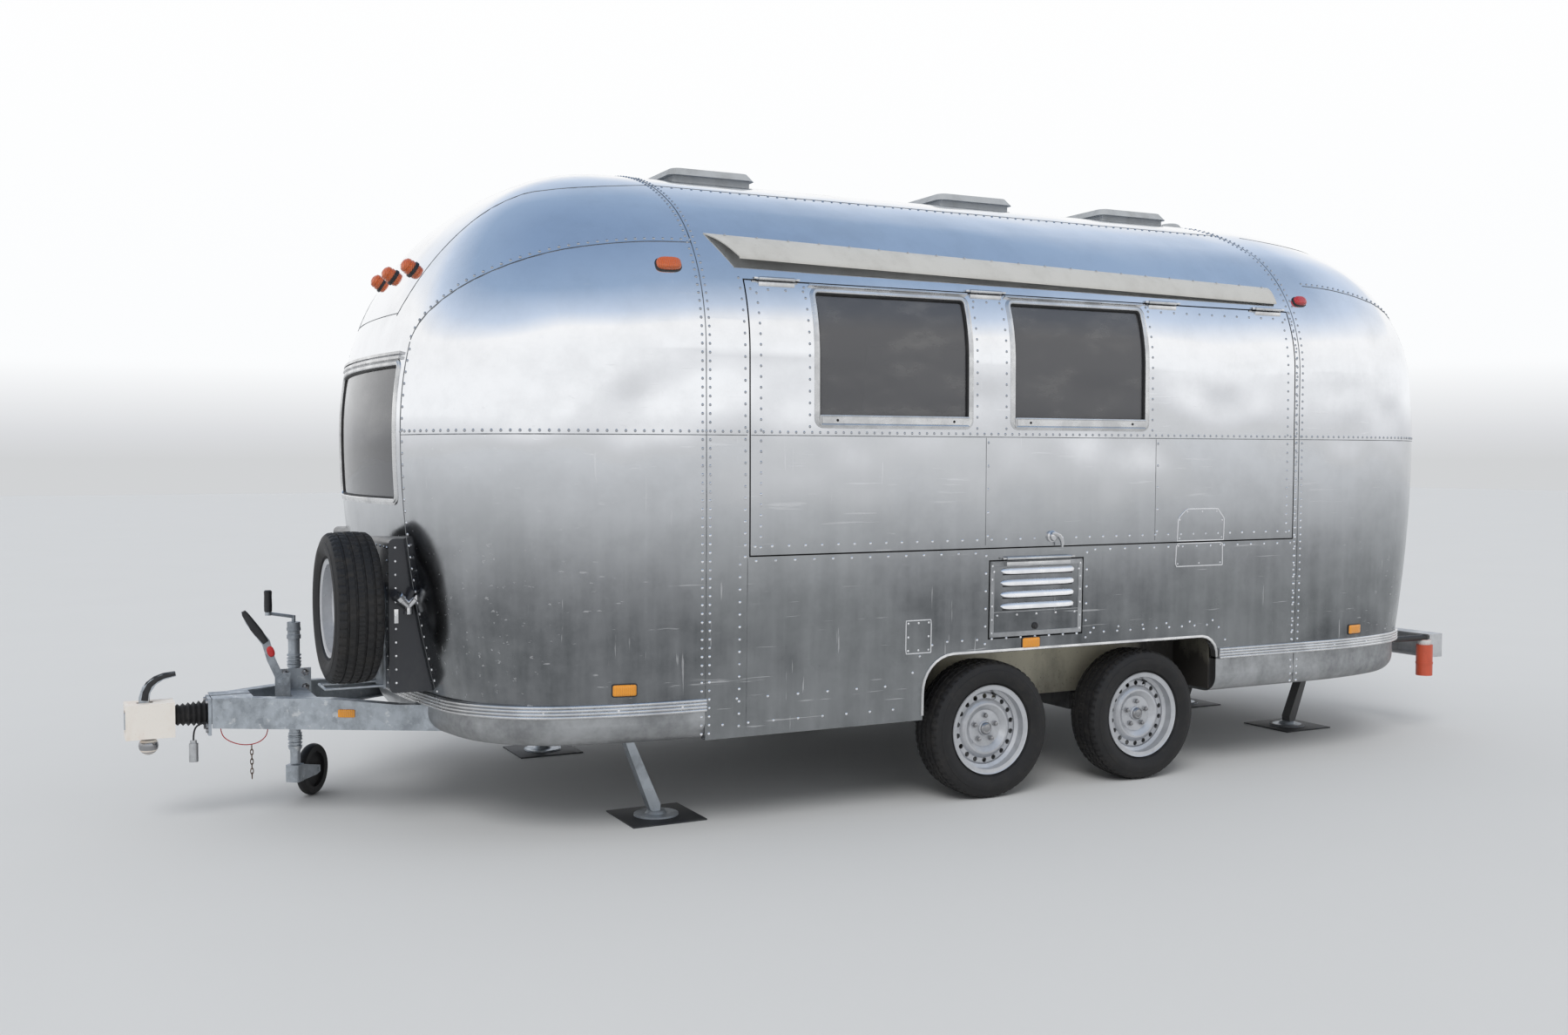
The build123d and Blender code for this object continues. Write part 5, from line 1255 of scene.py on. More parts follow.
def roof_profile():
    """The roof across, from its left seam to its right one, as places across with heights."""
    flank = [(half_width_at(z), z) for z in spread(ROOF_SEAM, SHOULDER_END, ROOF_STEP)]
    crown = spread(0, half_width_at(SHOULDER_END), CROWN_STEP)[::-1][1:]
    left = flank + [(y, ROOF_CENTRE + math.sqrt(ROOF_RADIUS**2 - y**2)) for y in crown]
    return left + [(-y, z) for y, z in left[-2::-1]]


def build_shells():
    """The fixed walls, the rounded ends and the roof."""
    for side, name, node in ((1, "left_wall", "left_side_shell"), (-1, "right_wall", "right_side_shell")):
        shape = skin_object(name, wall_grid(side, REAR_SEAM, FRONT_SEAM, BODY_LOW, ROOF_SEAM))
        holes = [arch_outline(), rectangle(BEHIND_BODY, ARCH[0], BELOW_BODY, REAR_RAIL_LOW)]
        if side > 0:
            holes += [rectangle(*with_gap(door)) for door in (HATCH, LOCKER)]
        else:
            holes.append(rounded(*with_gap(ENTRY), DOOR_CORNER + DOOR_GAP))
            holes += [window_outline(middle) for middle in RIGHT_WINDOWS]
        finish_skin(shape, [side_cutter(side, hole) for hole in holes], [], "caravan", node)
    for way, name, node in ((1, "front_end", "front_shell"), (-1, "rear_end", "rear_shell")):
        shape = skin_object(name, end_grid(way, RAIL_LOWS[way]))
        half, low_z, high_z = END_WINDOWS[way]
        outline = rounded(-half, half, low_z, high_z, WINDOW_CORNER)
        cutter = prism(outline, "X", *(way * reach for reach in END_CUT))
        finish_skin(shape, [cutter], [], "caravan", node)
    profile = roof_profile()
    grid = [[Vector((x, y, z)) for y, z in profile] for x in spread(REAR_SEAM, FRONT_SEAM, WALL_STEP)]
    finish_skin(skin_object("roof", grid), [], [], "caravan", "roof_shell")


def build_doors():
    """The serving hatch, the locker door and the entry door, with their hinges."""
    shape = skin_object("hatch_skin", wall_grid(1, *HATCH))
    cutters = [side_cutter(1, window_outline(middle)) for middle in HATCH_WINDOWS]
    finish_skin(shape, cutters, [], "hatch", "hatch_panel")
    shape = skin_object("locker_skin", wall_grid(1, *LOCKER))
    finish_skin(shape, [], [], "locker_door", "locker_door")
    shape = skin_object("entry_skin", wall_grid(-1, *ENTRY))
    keeper = side_cutter(-1, rounded(*ENTRY, DOOR_CORNER))
    cutter = side_cutter(-1, rounded(*ENTRY_PANE, PANE_CORNER))
    finish_skin(shape, [cutter], [keeper], "entry_door", "entry_door")
    build_top_hinges()
    build_entry_hinges()


def build_top_hinges():
    """Pins on the wall and barrels on the doors that swing up."""
    locker_top = LOCKER[3]
    locker_z = locker_top + LOCKER_HINGE_RISE
    for name, on, z, wall_z, places, half, top in (
        ("hatch", "hatch", HINGE_HEIGHT, HINGE_HEIGHT, HATCH_HINGES, HATCH_HINGE_HALF, HATCH[3]),
        ("locker", "locker_door", locker_z, locker_top, LOCKER_HINGES, LOCKER_HINGE_HALF, locker_top),
    ):
        y = half_width_at(wall_z) + HINGE_OUT
        fixed = Heap()
        moving = Heap()
        for place in places:
            end = half + 0.022
            turned(fixed, (place - end, y, z), (1, 0, 0), [(0, PIN_RADIUS), (2 * end, PIN_RADIUS)], 12)
            for way in (-1, 1):
                middle = place + way * (half + 0.014)
                low = (middle - LUG_HALF, y - 0.022, z - PIN_RADIUS)
                block(fixed, low, (middle + LUG_HALF, y + PIN_RADIUS, z + PIN_RADIUS), 0.001)
            barrel = [(0, BARREL_RADIUS), (2 * half, BARREL_RADIUS)]
            turned(moving, (place - half, y, z), (1, 0, 0), barrel, 16)
            low = (place - half, y - 0.030, top - 0.020)
            block(moving, low, (place + half, y + 0.001, top - 0.004), 0.001)
        fixed.piece(f"{name}_hinge_pins", "trim", "caravan", "frame_aluminium")
        moving.piece(f"{name}_hinge_barrels", "trim", on)


def build_entry_hinges():
    """Pins and barrels at the front edge of the entry door."""
    fixed = Heap()
    moving = Heap()
    x, y = ENTRY_HINGE
    pin, half = 0.052, 0.030
    for place in ENTRY_HINGES:
        turned(fixed, (x, y, place - pin), (0, 0, 1), [(0, PIN_RADIUS), (2 * pin, PIN_RADIUS)], 12)
        for way in (-1, 1):
            middle = place + way * 0.044
            low = (x - PIN_RADIUS, y - PIN_RADIUS, middle - LUG_HALF)
            block(fixed, low, (x + 0.034, y + 0.018, middle + LUG_HALF), 0.001)
        turned(moving, (x, y, place - half), (0, 0, 1), [(0, BARREL_RADIUS), (2 * half, BARREL_RADIUS)], 16)
        block(moving, (x - 0.040, y - 0.001, place - half), (x - 0.004, y + 0.026, place + half), 0.001)
    fixed.piece("entry_hinge_pins", "trim", "caravan")
    moving.piece("entry_hinge_barrels", "trim", "entry_door")


def side_window(frames, gaskets, panes, surface, middle):
    """Frame, gasket, pane, sill and drip edge of one side window."""
    half, tall = WINDOW_SIZE[0] / 2, WINDOW_SIZE[1]
    low_x, high_x = middle - half, middle + half
    outline = rounded_outline(low_x, high_x, WINDOW_LOW, WINDOW_LOW + tall, WINDOW_CORNER)
    framed(frames, surface, outline, FRAME_PROFILE)
    framed(gaskets, surface, outline, GASKET_PROFILE)
    heights = (WINDOW_LOW + PANE_INSET, WINDOW_LOW + tall - PANE_INSET)
    slab(panes, surface, (low_x + PANE_INSET, high_x - PANE_INSET), heights, *PANE_DEPTHS, (4, 24))
    sill = rounded_outline(low_x + 0.016, high_x - 0.016, WINDOW_LOW + 0.004, WINDOW_LOW + 0.048, 0.006)
    framed(frames, surface, sill, SILL_PROFILE)
    ledge = (WINDOW_LOW + 0.014, WINDOW_LOW + 0.040)
    slab(frames, surface, (low_x + 0.026, high_x - 0.026), ledge, -0.009, 0.0, (4, 1))
    drip = WINDOW_LOW + tall + 0.006
    slab(frames, surface, (low_x - 0.004, high_x + 0.004), (drip, drip + 0.006), *DRIP_DEPTHS, (4, 1))
    for offset in (-0.28, 0.28):
        spot = surface(middle + offset, WINDOW_LOW + 0.027)
        rivet(gaskets, spot + normal_at(spot) * 0.010, normal_at(spot), 0.006)


def end_window(frames, gaskets, panes, way):
    """Frame, gasket, pane and two drip edges of the window in one end."""
    surface = end_point(way)
    wide, low_z, high_z = END_WINDOWS[way]
    outline = rounded_outline(-wide, wide, low_z, high_z, WINDOW_CORNER)
    framed(frames, surface, outline, FRAME_PROFILE)
    framed(gaskets, surface, outline, GASKET_PROFILE)
    heights = (low_z + PANE_INSET, high_z - PANE_INSET)
    slab(panes, surface, (PANE_INSET - wide, wide - PANE_INSET), heights, *PANE_DEPTHS, (24, 20))
    for rise in (0.004, 0.022):
        slab(frames, surface, (-wide, wide), (high_z + rise, high_z + rise + 0.011), *DRIP_DEPTHS, (24, 1))


def build_windows():
    """Window frames with their gaskets, sills and tinted panes."""
    for name, on, side, middles, ends, frame_node, glass_node in (
        ("hatch", "hatch", 1, HATCH_WINDOWS, (), "hatch_window_frames", "hatch_window_glass"),
        ("wall", "caravan", -1, RIGHT_WINDOWS, (1, -1), "window_frames", "window_glass"),
    ):
        frames = Heap()
        gaskets = Heap()
        panes = Heap()
        for middle in middles:
            side_window(frames, gaskets, panes, wall_point(side), middle)
        for way in ends:
            end_window(frames, gaskets, panes, way)
        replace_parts(frames.piece(f"{name}_window_trim", "trim", on, "frame_aluminium"), frame_node)
        gaskets.piece(f"{name}_window_gaskets", "gap", on)
        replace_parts(panes.piece(f"{name}_window_panes", "glass", on, "tinted_glass"), glass_node)
    trim = Heap()
    framed(trim, wall_point(-1), rounded_outline(*ENTRY_PANE, PANE_CORNER), PANE_TRIM_PROFILE)
    trim.piece("entry_window_trim", "trim", "entry_door", "frame_aluminium")
    pane = Heap()
    low_x, high_x, low_z, high_z = ENTRY_PANE
    gap = 0.004
    along = (low_x + gap, high_x - gap)
    slab(pane, wall_point(-1), along, (low_z + gap, high_z - gap), *PANE_DEPTHS, (4, 20))
    piece = pane.piece("entry_window_pane", "glass", "entry_door", "tinted_glass")
    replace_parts(piece, "entry_door_glass")


def smooth_line(points, count=6):
    """A smooth line through points."""
    line = []
    for index in range(len(points) - 1):
        before = points[max(index - 1, 0)]
        start = points[index]
        stop = points[index + 1]
        after = points[min(index + 2, len(points) - 1)]
        for step in range(count):
            share = step / count
            bend = (2 * before - 5 * start + 4 * stop - after) * share**2
            twist = (3 * start - before - 3 * stop + after) * share**3
            line.append((2 * start + (stop - before) * share + bend + twist) / 2)
    return [*line, points[-1]]


def skin_point(point, way, side):
    """The skin's own point beside a place near one quarter of an end."""
    if abs(point.y) < NOSE_HALF:
        return end_point(way)(point.y, point.z)
    return wall_point(side)(point.x, point.z)


def seam_curve(way, side):
    """The seam that climbs from an end window's corner over the shoulder to the ring seam."""
    points = []
    for x, y, z in smooth_line([Vector(place) for place in CLIMB]):
        near = Vector((seam_x(way) + way * (x - FRONT_SEAM), side * y, z))
        points.append(skin_point(near, way, side))
    return points


def crown_curve(way, side):
    """The seam that runs up the crown of an end, from above its window to the ring seam."""
    surface = end_point(way)
    shares = spread(0, 1, 0.1)
    points = [surface(side * (0.40 + 0.19 * share**0.8), 2.05 + 0.50 * share**0.9) for share in shares]
    top = points[-1]
    for share in shares[1:]:
        x = top.x + (seam_x(way) - top.x) * share
        z = top.z + (ROOF_LAP - top.z) * share
        points.append(wall_point(side)(x, z))
    return points


def rivet_rows(heap, surface, rows):
    """Straight rows of rivets, each from its start, its stop and its pitch."""
    for start, stop, pitch in rows:
        rivet_row(heap, line_on(surface, start, stop), pitch)


def uprights(heap, rivets, surface, places, low, inset, pitch):
    """Narrow laps that rise to the belt, each with a row of rivets behind it."""
    for place in places:
        lap(heap, line_on(surface, (place, low), (place, BELT)), *NARROW_LAP)
        start = (place - inset[0], low + inset[1])
        rivet_row(rivets, line_on(surface, start, (place - inset[0], BELT - 0.02)), pitch)


def wall_seams(edges, fixed, side):
    """Ring seams, belt seams, roof seams and rows of rivets on one wall."""
    wall = wall_point(side)
    heights = spread(0.40, 2.72, 0.04)
    for x, offset in ((FRONT_SEAM, 0.016), (REAR_SEAM, 0.020)):
        lap(edges, [wall(x, z) for z in heights], WIDE_LAP, 0.0012)
        for way in (-1, 1):
            rivet_row(fixed, [wall(x + way * offset, z) for z in heights], 0.034)
    for start, stop in ((FRONT_SEAM, 1.06), (-1.86 if side > 0 else 0.41, REAR_BEND)):
        lap(edges, line_on(wall, (start, BELT_LAP), (stop, BELT_LAP)))
        rivet_row(fixed, line_on(wall, (start, BELT_LAP + 0.014), (stop, BELT_LAP + 0.014)), BELT_PITCH)
    roof = spread(REAR_SEAM, FRONT_SEAM, 0.1)
    lap(edges, [wall(x, ROOF_LAP) for x in roof], WIDE_LAP)
    rivet_row(fixed, [wall(x, ROOF_LAP - 0.006) for x in roof], 0.045)
    rivet_rows(fixed, wall, WALL_ROWS)
    rivet_row(fixed, [wall(x, z) for x, z in arch_outline(0.055)[2:-2] if z > 0.5], 0.075)


def end_seams(edges, fixed, way):
    """Upright, climbing, crown and belt seams of one end, with their rivets."""
    surface = end_point(way)
    low = RAIL_LOWS[way] + RAIL_HEIGHT
    seam_y = END_SEAMS[way]
    for side in (1, -1):
        climb = seam_curve(way, side)
        lap(edges, climb, WIDE_LAP)
        shifted = [point + Vector((0, -side * 0.004, 0.013)) for point in climb]
        rivet_row(fixed, [skin_point(point, way, side) for point in shifted], 0.038)
        lap(edges, crown_curve(way, side))
        lap(edges, line_on(surface, (side * seam_y, low + 0.01), (side * seam_y, 1.93)), WIDE_LAP)
        row_y = side * (seam_y + 0.014)
        rivet_row(fixed, line_on(surface, (row_y, low + 0.02), (row_y, 1.90)), 0.045)
        flank = [wall_point(side)(seam_x(way) + way * along, BELT_LAP) for along in spread(0, 0.90, 0.02)]
        nose = [surface(side * y, BELT_LAP) for y in spread(seam_y, 0.93, 0.02)]
        belt = flank + nose[::-1][1:]
        lap(edges, belt)
        rivet_row(fixed, [point + Vector((0, 0, 0.014)) for point in belt], BELT_PITCH)
    lap(edges, [surface(y, 2.06) for y in spread(-0.40, 0.40, 0.04)])


def hatch_seams():
    """Lap edges and rivets that swing with the hatch."""
    left = wall_point(1)
    rivets = Heap()
    joints = Heap()
    low_x, high_x, low_z, high_z = HATCH
    lap(joints, line_on(left, (low_x + 0.002, BELT_LAP), (high_x - 0.002, BELT_LAP)))
    rear, front = low_x + 0.02, high_x - 0.02
    rows = [
        ((rear, BELT_LAP + 0.013), (front, BELT_LAP + 0.013), BELT_PITCH),
        ((rear, low_z + 0.034), (front, low_z + 0.034), 0.075),
    ]
    spans = ((rear, -0.985), (-0.165, -0.030), (0.790, front))
    rows += [((start, high_z - 0.035), (stop, high_z - 0.035), 0.075) for start, stop in spans]
    rows += [((x, low_z + 0.03), (x, high_z - 0.05), 0.042) for x in (high_x - 0.045, low_x + 0.040)]
    for middle in HATCH_WINDOWS:
        for edge in (-WINDOW_SIZE[0] / 2 - 0.026, WINDOW_SIZE[0] / 2 + 0.026):
            rows.append(((middle + edge, WINDOW_LOW), (middle + edge, WINDOW_LOW + 0.56), 0.048))
    rivet_rows(rivets, left, rows)
    uprights(joints, rivets, left, (-0.069, -1.00), low_z + 0.01, (0.012, 0.04), 0.11)
    # Dark grey lap edges: partly dirt, partly painted shadow
    joints.piece("hatch_lap_edges", "seams", "hatch", sharp=60)
    rivets.piece("hatch_rivets", "rivets", "hatch", sharp=50)


def build_seams():
    """Lap edges and rows of rivets over the walls, the ends, the roof and the hatch."""
    fixed = Heap()
    edges = Heap()
    for side in (1, -1):
        wall_seams(edges, fixed, side)
    lap(edges, line_on(wall_point(1), (1.058, 0.40), (1.058, 1.085)), *NARROW_LAP)
    rivet_rows(fixed, wall_point(1), LEFT_ROWS)
    right = wall_point(-1)
    rivet_rows(fixed, right, RIGHT_ROWS)
    for middle in RIGHT_WINDOWS:
        outline = rounded_outline(middle - 0.40, middle + 0.40, WINDOW_LOW - 0.02, WINDOW_LOW + 0.585, 0.04)
        rivet_row(fixed, [right(*point) for point, _ in outline], 0.06)
    uprights(edges, fixed, right, (0.36, -0.68, -1.60), 0.66, (0.014, 0.04), 0.05)
    for way in (1, -1):
        end_seams(edges, fixed, way)
    # Dark grey lap edges: partly dirt, partly painted shadow
    edges.piece("lap_edges", "seams", "caravan", sharp=60)
    fixed.piece("body_rivets", "rivets", "caravan", sharp=50)
    hatch_seams()


def plate_on_wall(heap, outline, proud):
    """A thin plate on the left wall, from its corners."""
    surface = wall_point(1)
    middle = sum((Vector(corner) for corner in outline), Vector((0, 0))) / len(outline)
    rows = []
    for inset, lift in ((0, -0.0005), (0, proud * 0.6), (0.0015, proud)):
        row = []
        for corner in outline:
            away = Vector(corner) - middle
            away = away * (1 - inset / max(away.length, 0.01))
            spot = surface(middle.x + away.x, middle.y + away.y)
            row.append(spot + normal_at(spot) * lift)
        rows.append(row)
    heap.grid(rows, closed=True, caps=True)


def rivets_at(heap, surface, spots, radius=None):
    """Single rivets at places on the skin."""
    for place in spots:
        spot = surface(*place)
        rivet(heap, spot, normal_at(spot), radius)


def build_patches():
    """Riveted plates on the hatch and the wall, with their raised edges."""
    left = wall_point(1)
    groups = (
        ("hatch_patch", "hatch_patch_edge", "hatch", [HATCH_PATCH], 0.0016),
        ("wall_patches", "wall_patch_edges", "caravan", WALL_PATCHES, 0.0015),
    )
    for plates, _, on, outlines, proud in groups:
        flat = Heap()
        for outline in outlines:
            plate_on_wall(flat, outline, proud)
        flat.piece(plates, "sheet", on, sharp=8)
    for _, edges, on, outlines, _ in groups:
        raised = Heap()
        for outline in outlines:
            lap(raised, [left(*corner) for corner in (*outline, outline[0])], *PATCH_EDGE)
        raised.piece(edges, "bright", on)
    rivets = Heap()
    rivets_at(rivets, left, WALL_PATCH_RIVETS, PATCH_RIVET)
    rivets_at(rivets, left, SQUARE_PATCH_RIVETS)
    rivets.piece("patch_rivets", "rivets", "caravan")


def build_hatch_patch_rivets():
    """Rivets of the plate on the hatch."""
    rivets = Heap()
    rivets_at(rivets, wall_point(1), HATCH_PATCH_RIVETS, PATCH_RIVET)
    rivets.piece("hatch_patch_rivets", "rivets", "hatch")


def build_arch_lips():
    """Turned sheet edges round the wheel arches."""
    lip = Heap()
    for side in (1, -1):
        wall = wall_point(side)
        outline = [(ARCH[1], 0.395), *arch_outline()[1:-1], (ARCH[0], REAR_RAIL_LOW + 0.01)]
        points = resample([wall(x, z) for x, z in outline], 0.03)
        inside = wall(-0.55, 0.3)
        rows = []
        for index, point in enumerate(points):
            along = points[min(index + 1, len(points) - 1)] - points[max(index - 1, 0)]
            normal = normal_at(point)
            inward = along.cross(normal).normalized()
            if inward.dot(inside - point) < 0:
                inward = -inward
            rows.append([point + inward * a + normal * b for a, b in LIP_PROFILE])
        lip.grid(rows, closed=True, caps=True)
    lip.piece("arch_lips", "trim", "caravan")


def build_latch():
    """The hatch's latch: a round base and a bow that hangs from it."""
    latch = Heap()
    wall_y = half_width_at(1.12)
    turned(latch, (-0.418, wall_y - 0.002, 1.137), (0, 1, 0), LATCH_BASE, 24)
    tube(latch, [(x, wall_y + y, z) for x, z, y in LATCH_BOW], LATCH_RADII, 12, 0.6)
    latch.piece("hatch_latch", "chrome", "hatch")


def build_entry_fittings():
    """Handle, edge trim and rivets of the entry door."""
    right = wall_point(-1)
    handle = Heap()
    x, y = 0.48, -half_width_at(1.18)
    block(handle, (x - 0.023, y - 0.010, 1.105), (x + 0.023, y + 0.002, 1.255), 0.003)
    tube(handle, [(x, y - out, z) for z, out in HANDLE_BAR], 0.008, 12)
    handle.piece("entry_handle", "chrome", "entry_door")
    trim = Heap()
    framed(trim, right, rounded_outline(*ENTRY, DOOR_CORNER), DOOR_TRIM_PROFILE)
    trim.piece("entry_door_trim", "trim", "entry_door")
    rivets = Heap()
    low_x, high_x, low_z, high_z = ENTRY
    inset = 0.03
    corner = DOOR_CORNER - inset
    outline = rounded_outline(low_x + inset, high_x - inset, low_z + inset, high_z - inset, corner)
    rivet_row(rivets, [right(*point) for point, _ in outline], 0.05)
    rivet_row(rivets, line_on(right, (0.47, BELT + 0.01), (1.0, BELT + 0.01)), 0.04)
    rivets.piece("entry_rivets", "rivets", "entry_door")


def build_fittings():
    """Patches, the latch, the locker's frame and louvres, the entry handle and the arch's lip."""
    build_patches()
    build_latch()
    build_hatch_patch_rivets()
    build_arch_lips()
    build_locker_fittings()
    build_entry_fittings()


def louvre(heap, z):
    """One pressed louvre of the locker door, closed and rounded at both ends."""
    left = wall_point(1)
    depth = bpy.context.scene.caravan_sizes.louvre_depth
    rows = []
    for step in range(33):
        share = step / 16 - 1
        x = LOUVRE_CENTRE + share * LOUVRE_HALF
        size = (1 - abs(share) ** 10) ** 0.5
        foot = z - LOUVRE_DROP * size
        row = []
        for turn in range(7):
            angle = math.radians(turn * 15)
            spot = left(x, foot + LOUVRE_TALL * size * math.sin(angle))
            row.append(spot + normal_at(spot) * (depth * size * math.cos(angle) + LOUVRE_SEAT))
        spot = left(x, foot)
        rows.append([*row, spot + normal_at(spot) * LOUVRE_SEAT])
    heap.grid(rows, closed=True)


def build_locker_fittings():
    """Louvres with strips of painted shade under them, rim, lock and rivets of the locker door."""
    left = wall_point(1)
    low_x, high_x, low_z, high_z = LOCKER
    louvres = Heap()
    shade_strips = Heap()
    shade_ends = (LOUVRE_CENTRE - LOUVRE_HALF + 0.012, LOUVRE_CENTRE + LOUVRE_HALF - 0.012)
    for index in range(4):
        z = LOUVRE_MIDDLE + (index - 1.5) * LOUVRE_PITCH
        louvre(louvres, z)
        # Painted shade: a black strip just below each louvre, for the shade beneath it
        slab(shade_strips, left, shade_ends, (z - 0.019, z - 0.0125), -0.0008, 0.001, (6, 1))
    louvres.piece("locker_louvres", "bright", "locker_door", "polished_aluminium")
    shade_strips.piece("louvre_slots", "gap", "locker_door")
    rim = Heap()
    outer = rounded_outline(low_x + 0.001, high_x - 0.001, low_z + 0.001, high_z - 0.001, 0.004)
    framed(rim, left, outer, RIM_PROFILE)
    slab(rim, left, (low_x + 0.004, high_x - 0.004), (low_z + 0.108, low_z + 0.111), -0.0020, 0.001, (6, 1))
    rim.piece("locker_rim", "belly", "locker_door")
    rivets = Heap()
    rivet_rows(
        rivets, left,
        (
            ((low_x + 0.012, low_z + 0.02), (low_x + 0.012, high_z - 0.02), 0.06),
            ((high_x - 0.012, low_z + 0.02), (high_x - 0.012, high_z - 0.02), 0.06),
            ((low_x + 0.02, high_z - 0.045), (high_x - 0.02, high_z - 0.045), 0.09),
            ((low_x + 0.04, low_z + 0.095), (high_x - 0.04, low_z + 0.095), 0.11),
        ),
    )
    rivets.piece("locker_rivets", "rivets", "locker_door")
    lock = Heap()
    lock_z = low_z + 0.042
    turned(lock, (-0.336, half_width_at(lock_z) - 0.002, lock_z), (0, 1, 0), LOCK_FACE, 24)
    lock.piece("locker_lock", "black", "locker_door")


def hood_rows(share):
    """The hood's outer and under sides at one share of its length from the front."""
    upper = HOOD_ROOT[0] + (HOOD_ROOT[1] - HOOD_ROOT[0]) * share
    lip = HOOD_LIP[0] + (HOOD_LIP[1] - HOOD_LIP[0]) * share
    x = HOOD_FRONT + (HOOD_REAR - HOOD_FRONT) * share
    cut = HOOD_CUT * (1 - share) ** 8
    root_y = half_width_at(upper) + 0.001
    outer = []
    under = []
    for step in range(11):
        along = step / 10
        y = root_y + (HOOD_EDGE - root_y) * along
        z = upper + 0.003 + (lip + 0.010 - upper - 0.003) * along + HOOD_BOW * math.sin(math.pi * along)
        outer.append(Vector((x - cut * along, y, z)))
        under.append(outer[-1] - Vector((0.0005, 0.003, 0.004)))
    for z in (lip + 0.005, lip):
        outer.append(Vector((x - cut, HOOD_EDGE + 0.0005, z)))
        under.append(outer[-1] - Vector((0, 0.0035, 0)))
    return outer, under


def build_hood():
    """The long sheet hood over the hatch, lower at its rear end and cut back at its front."""
    heap = Heap()
    outer, under = zip(*[hood_rows(share) for share in spread(0, 1, 0.02)])
    heap.add(*shell_between(outer, under))
    upper, lip = HOOD_ROOT[1], HOOD_LIP[1]
    corners = (
        (half_width_at(upper), upper), (1.100, lip + 0.008), (1.100, lip + 0.001),
        (half_width_at(lip + 0.004) - 0.002, lip + 0.004),
    )
    ends = (HOOD_REAR, HOOD_REAR + 0.003)
    heap.grid([[Vector((x, y, z)) for y, z in corners] for x in ends], closed=True, caps=True)
    piece = heap.piece("hatch_hood_sheet", "hood", "caravan", "hood_sheet")
    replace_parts(piece, "hatch_hood")
    screws = Heap()
    for share in spread(0.03, 0.985, 0.05):
        upper = HOOD_ROOT[0] + (HOOD_ROOT[1] - HOOD_ROOT[0]) * share
        x = HOOD_FRONT + (HOOD_REAR - HOOD_FRONT) * share
        root = Vector((x, half_width_at(upper) + 0.008, upper + 0.0035))
        rivet(screws, root, Vector((0, 0.35, 0.94)).normalized(), 0.005)
    screws.piece("hood_screws", "rivets", "caravan")


def lens(heap, place, normal, along, half_length, half_height, depth, power):
    """A rounded lens on the skin, with its long side along a direction."""
    normal = Vector(normal).normalized()
    along = (Vector(along) - normal * Vector(along).dot(normal)).normalized()
    up = normal.cross(along)
    rows = []
    for lift, size in ((-0.008, 1.0), *((depth * share, size) for share, size in LENS_STEPS)):
        row = []
        for index in range(40):
            angle = 2 * math.pi * index / 40
            c, s = math.cos(angle), math.sin(angle)
            a = half_length * math.copysign(abs(c) ** (2 / power), c)
            b = half_height * math.copysign(abs(s) ** (2 / power), s)
            row.append(Vector(place) + along * a * size + up * b * size + normal * lift)
        rows.append(row)
    heap.grid(rows, closed=True, caps=True)


def wall_lamp(lenses, bases, spot, halves, depth, base_depth, power):
    """A lens on the left wall over its slightly larger base."""
    place = wall_point(1)(*spot)
    normal = normal_at(place)
    wide, tall = halves
    lens(lenses, place, normal, (1, 0, 0), wide, tall, depth, power)
    lens(bases, place, normal, (1, 0, 0), wide + BASE_RIM, tall + BASE_RIM, base_depth, power)


def round_lamp(lenses, bases, place, sunk, base, raised, dome):
    """A round lamp on the skin: its base sunk a little, its lens raised."""
    normal = normal_at(place)
    turned(bases, place - normal * sunk, normal, base, 28)
    turned(lenses, place + normal * raised, normal, dome, 28)


def build_lamps():
    """Marker lamps, crown lamps, reflectors and the rear lamps."""
    amber = Heap()
    bases = Heap()
    red = Heap()
    crown = Heap()
    wall_lamp(crown, bases, (1.357, 2.226), (0.050, 0.027), 0.026, 0.008, 3.2)
    wall_lamp(red, bases, (-1.965, 2.242), (0.036, 0.024), 0.024, 0.008, 3.0)
    for spot in ((1.562, 0.592), (-0.316, 0.674), (-2.305, 0.627)):
        wall_lamp(amber, bases, spot, (0.046, 0.022), 0.010, 0.005, 9)
    turn = math.radians(30)
    along = Vector((math.cos(turn), -math.sin(turn), 0))
    across = Vector((math.sin(turn), math.cos(turn), 0))
    lens(amber, Vector(DRAWBAR_END) - along * 0.555, across, along, 0.035, 0.0165, 0.006, 9)
    for y in (-0.3, 0, 0.3):
        round_lamp(crown, bases, end_point(1)(y, 2.25), 0.008, CROWN_BASE, 0.006, CROWN_DOME)
    for side in (1, -1):
        for z in (0.720, 0.800, 0.880):
            round_lamp(red, bases, end_point(-1)(side * 0.700, z), 0.010, TAIL_BASE, 0.010, TAIL_DOME)
    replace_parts(amber.piece("amber_lenses", "amber", "caravan", "amber_lens"), "amber_lamps")
    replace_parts(red.piece("red_lenses", "red", "caravan", "red_lens"), "red_lamps")
    crown.piece("crown_lenses", "orange", "caravan", "amber_lens")
    bases.piece("lamp_bases", "black", "caravan")


def tread_section():
    """A tyre's section as offset, radius and whether the tread's blocks stand there."""
    depth = bpy.context.scene.caravan_sizes.tread_depth
    flank = [(offset, radius, False) for offset, radius in TYRE_FLANK] + [(*TYRE_SHOULDER, True)]
    stations = [-TREAD_HALF]
    for groove in GROOVES:
        stations += [groove - 0.0055, groove - 0.004, groove + 0.004, groove + 0.0055]
    stations.append(TREAD_HALF)
    middle = []
    for offset in stations:
        deep = any(abs(offset - groove) < 0.005 for groove in GROOVES)
        middle.append((offset, TYRE_RADIUS - 0.9 * offset**2 - (depth if deep else 0), not deep))
    return flank + middle + [(-offset, radius, raised) for offset, radius, raised in flank[::-1]]


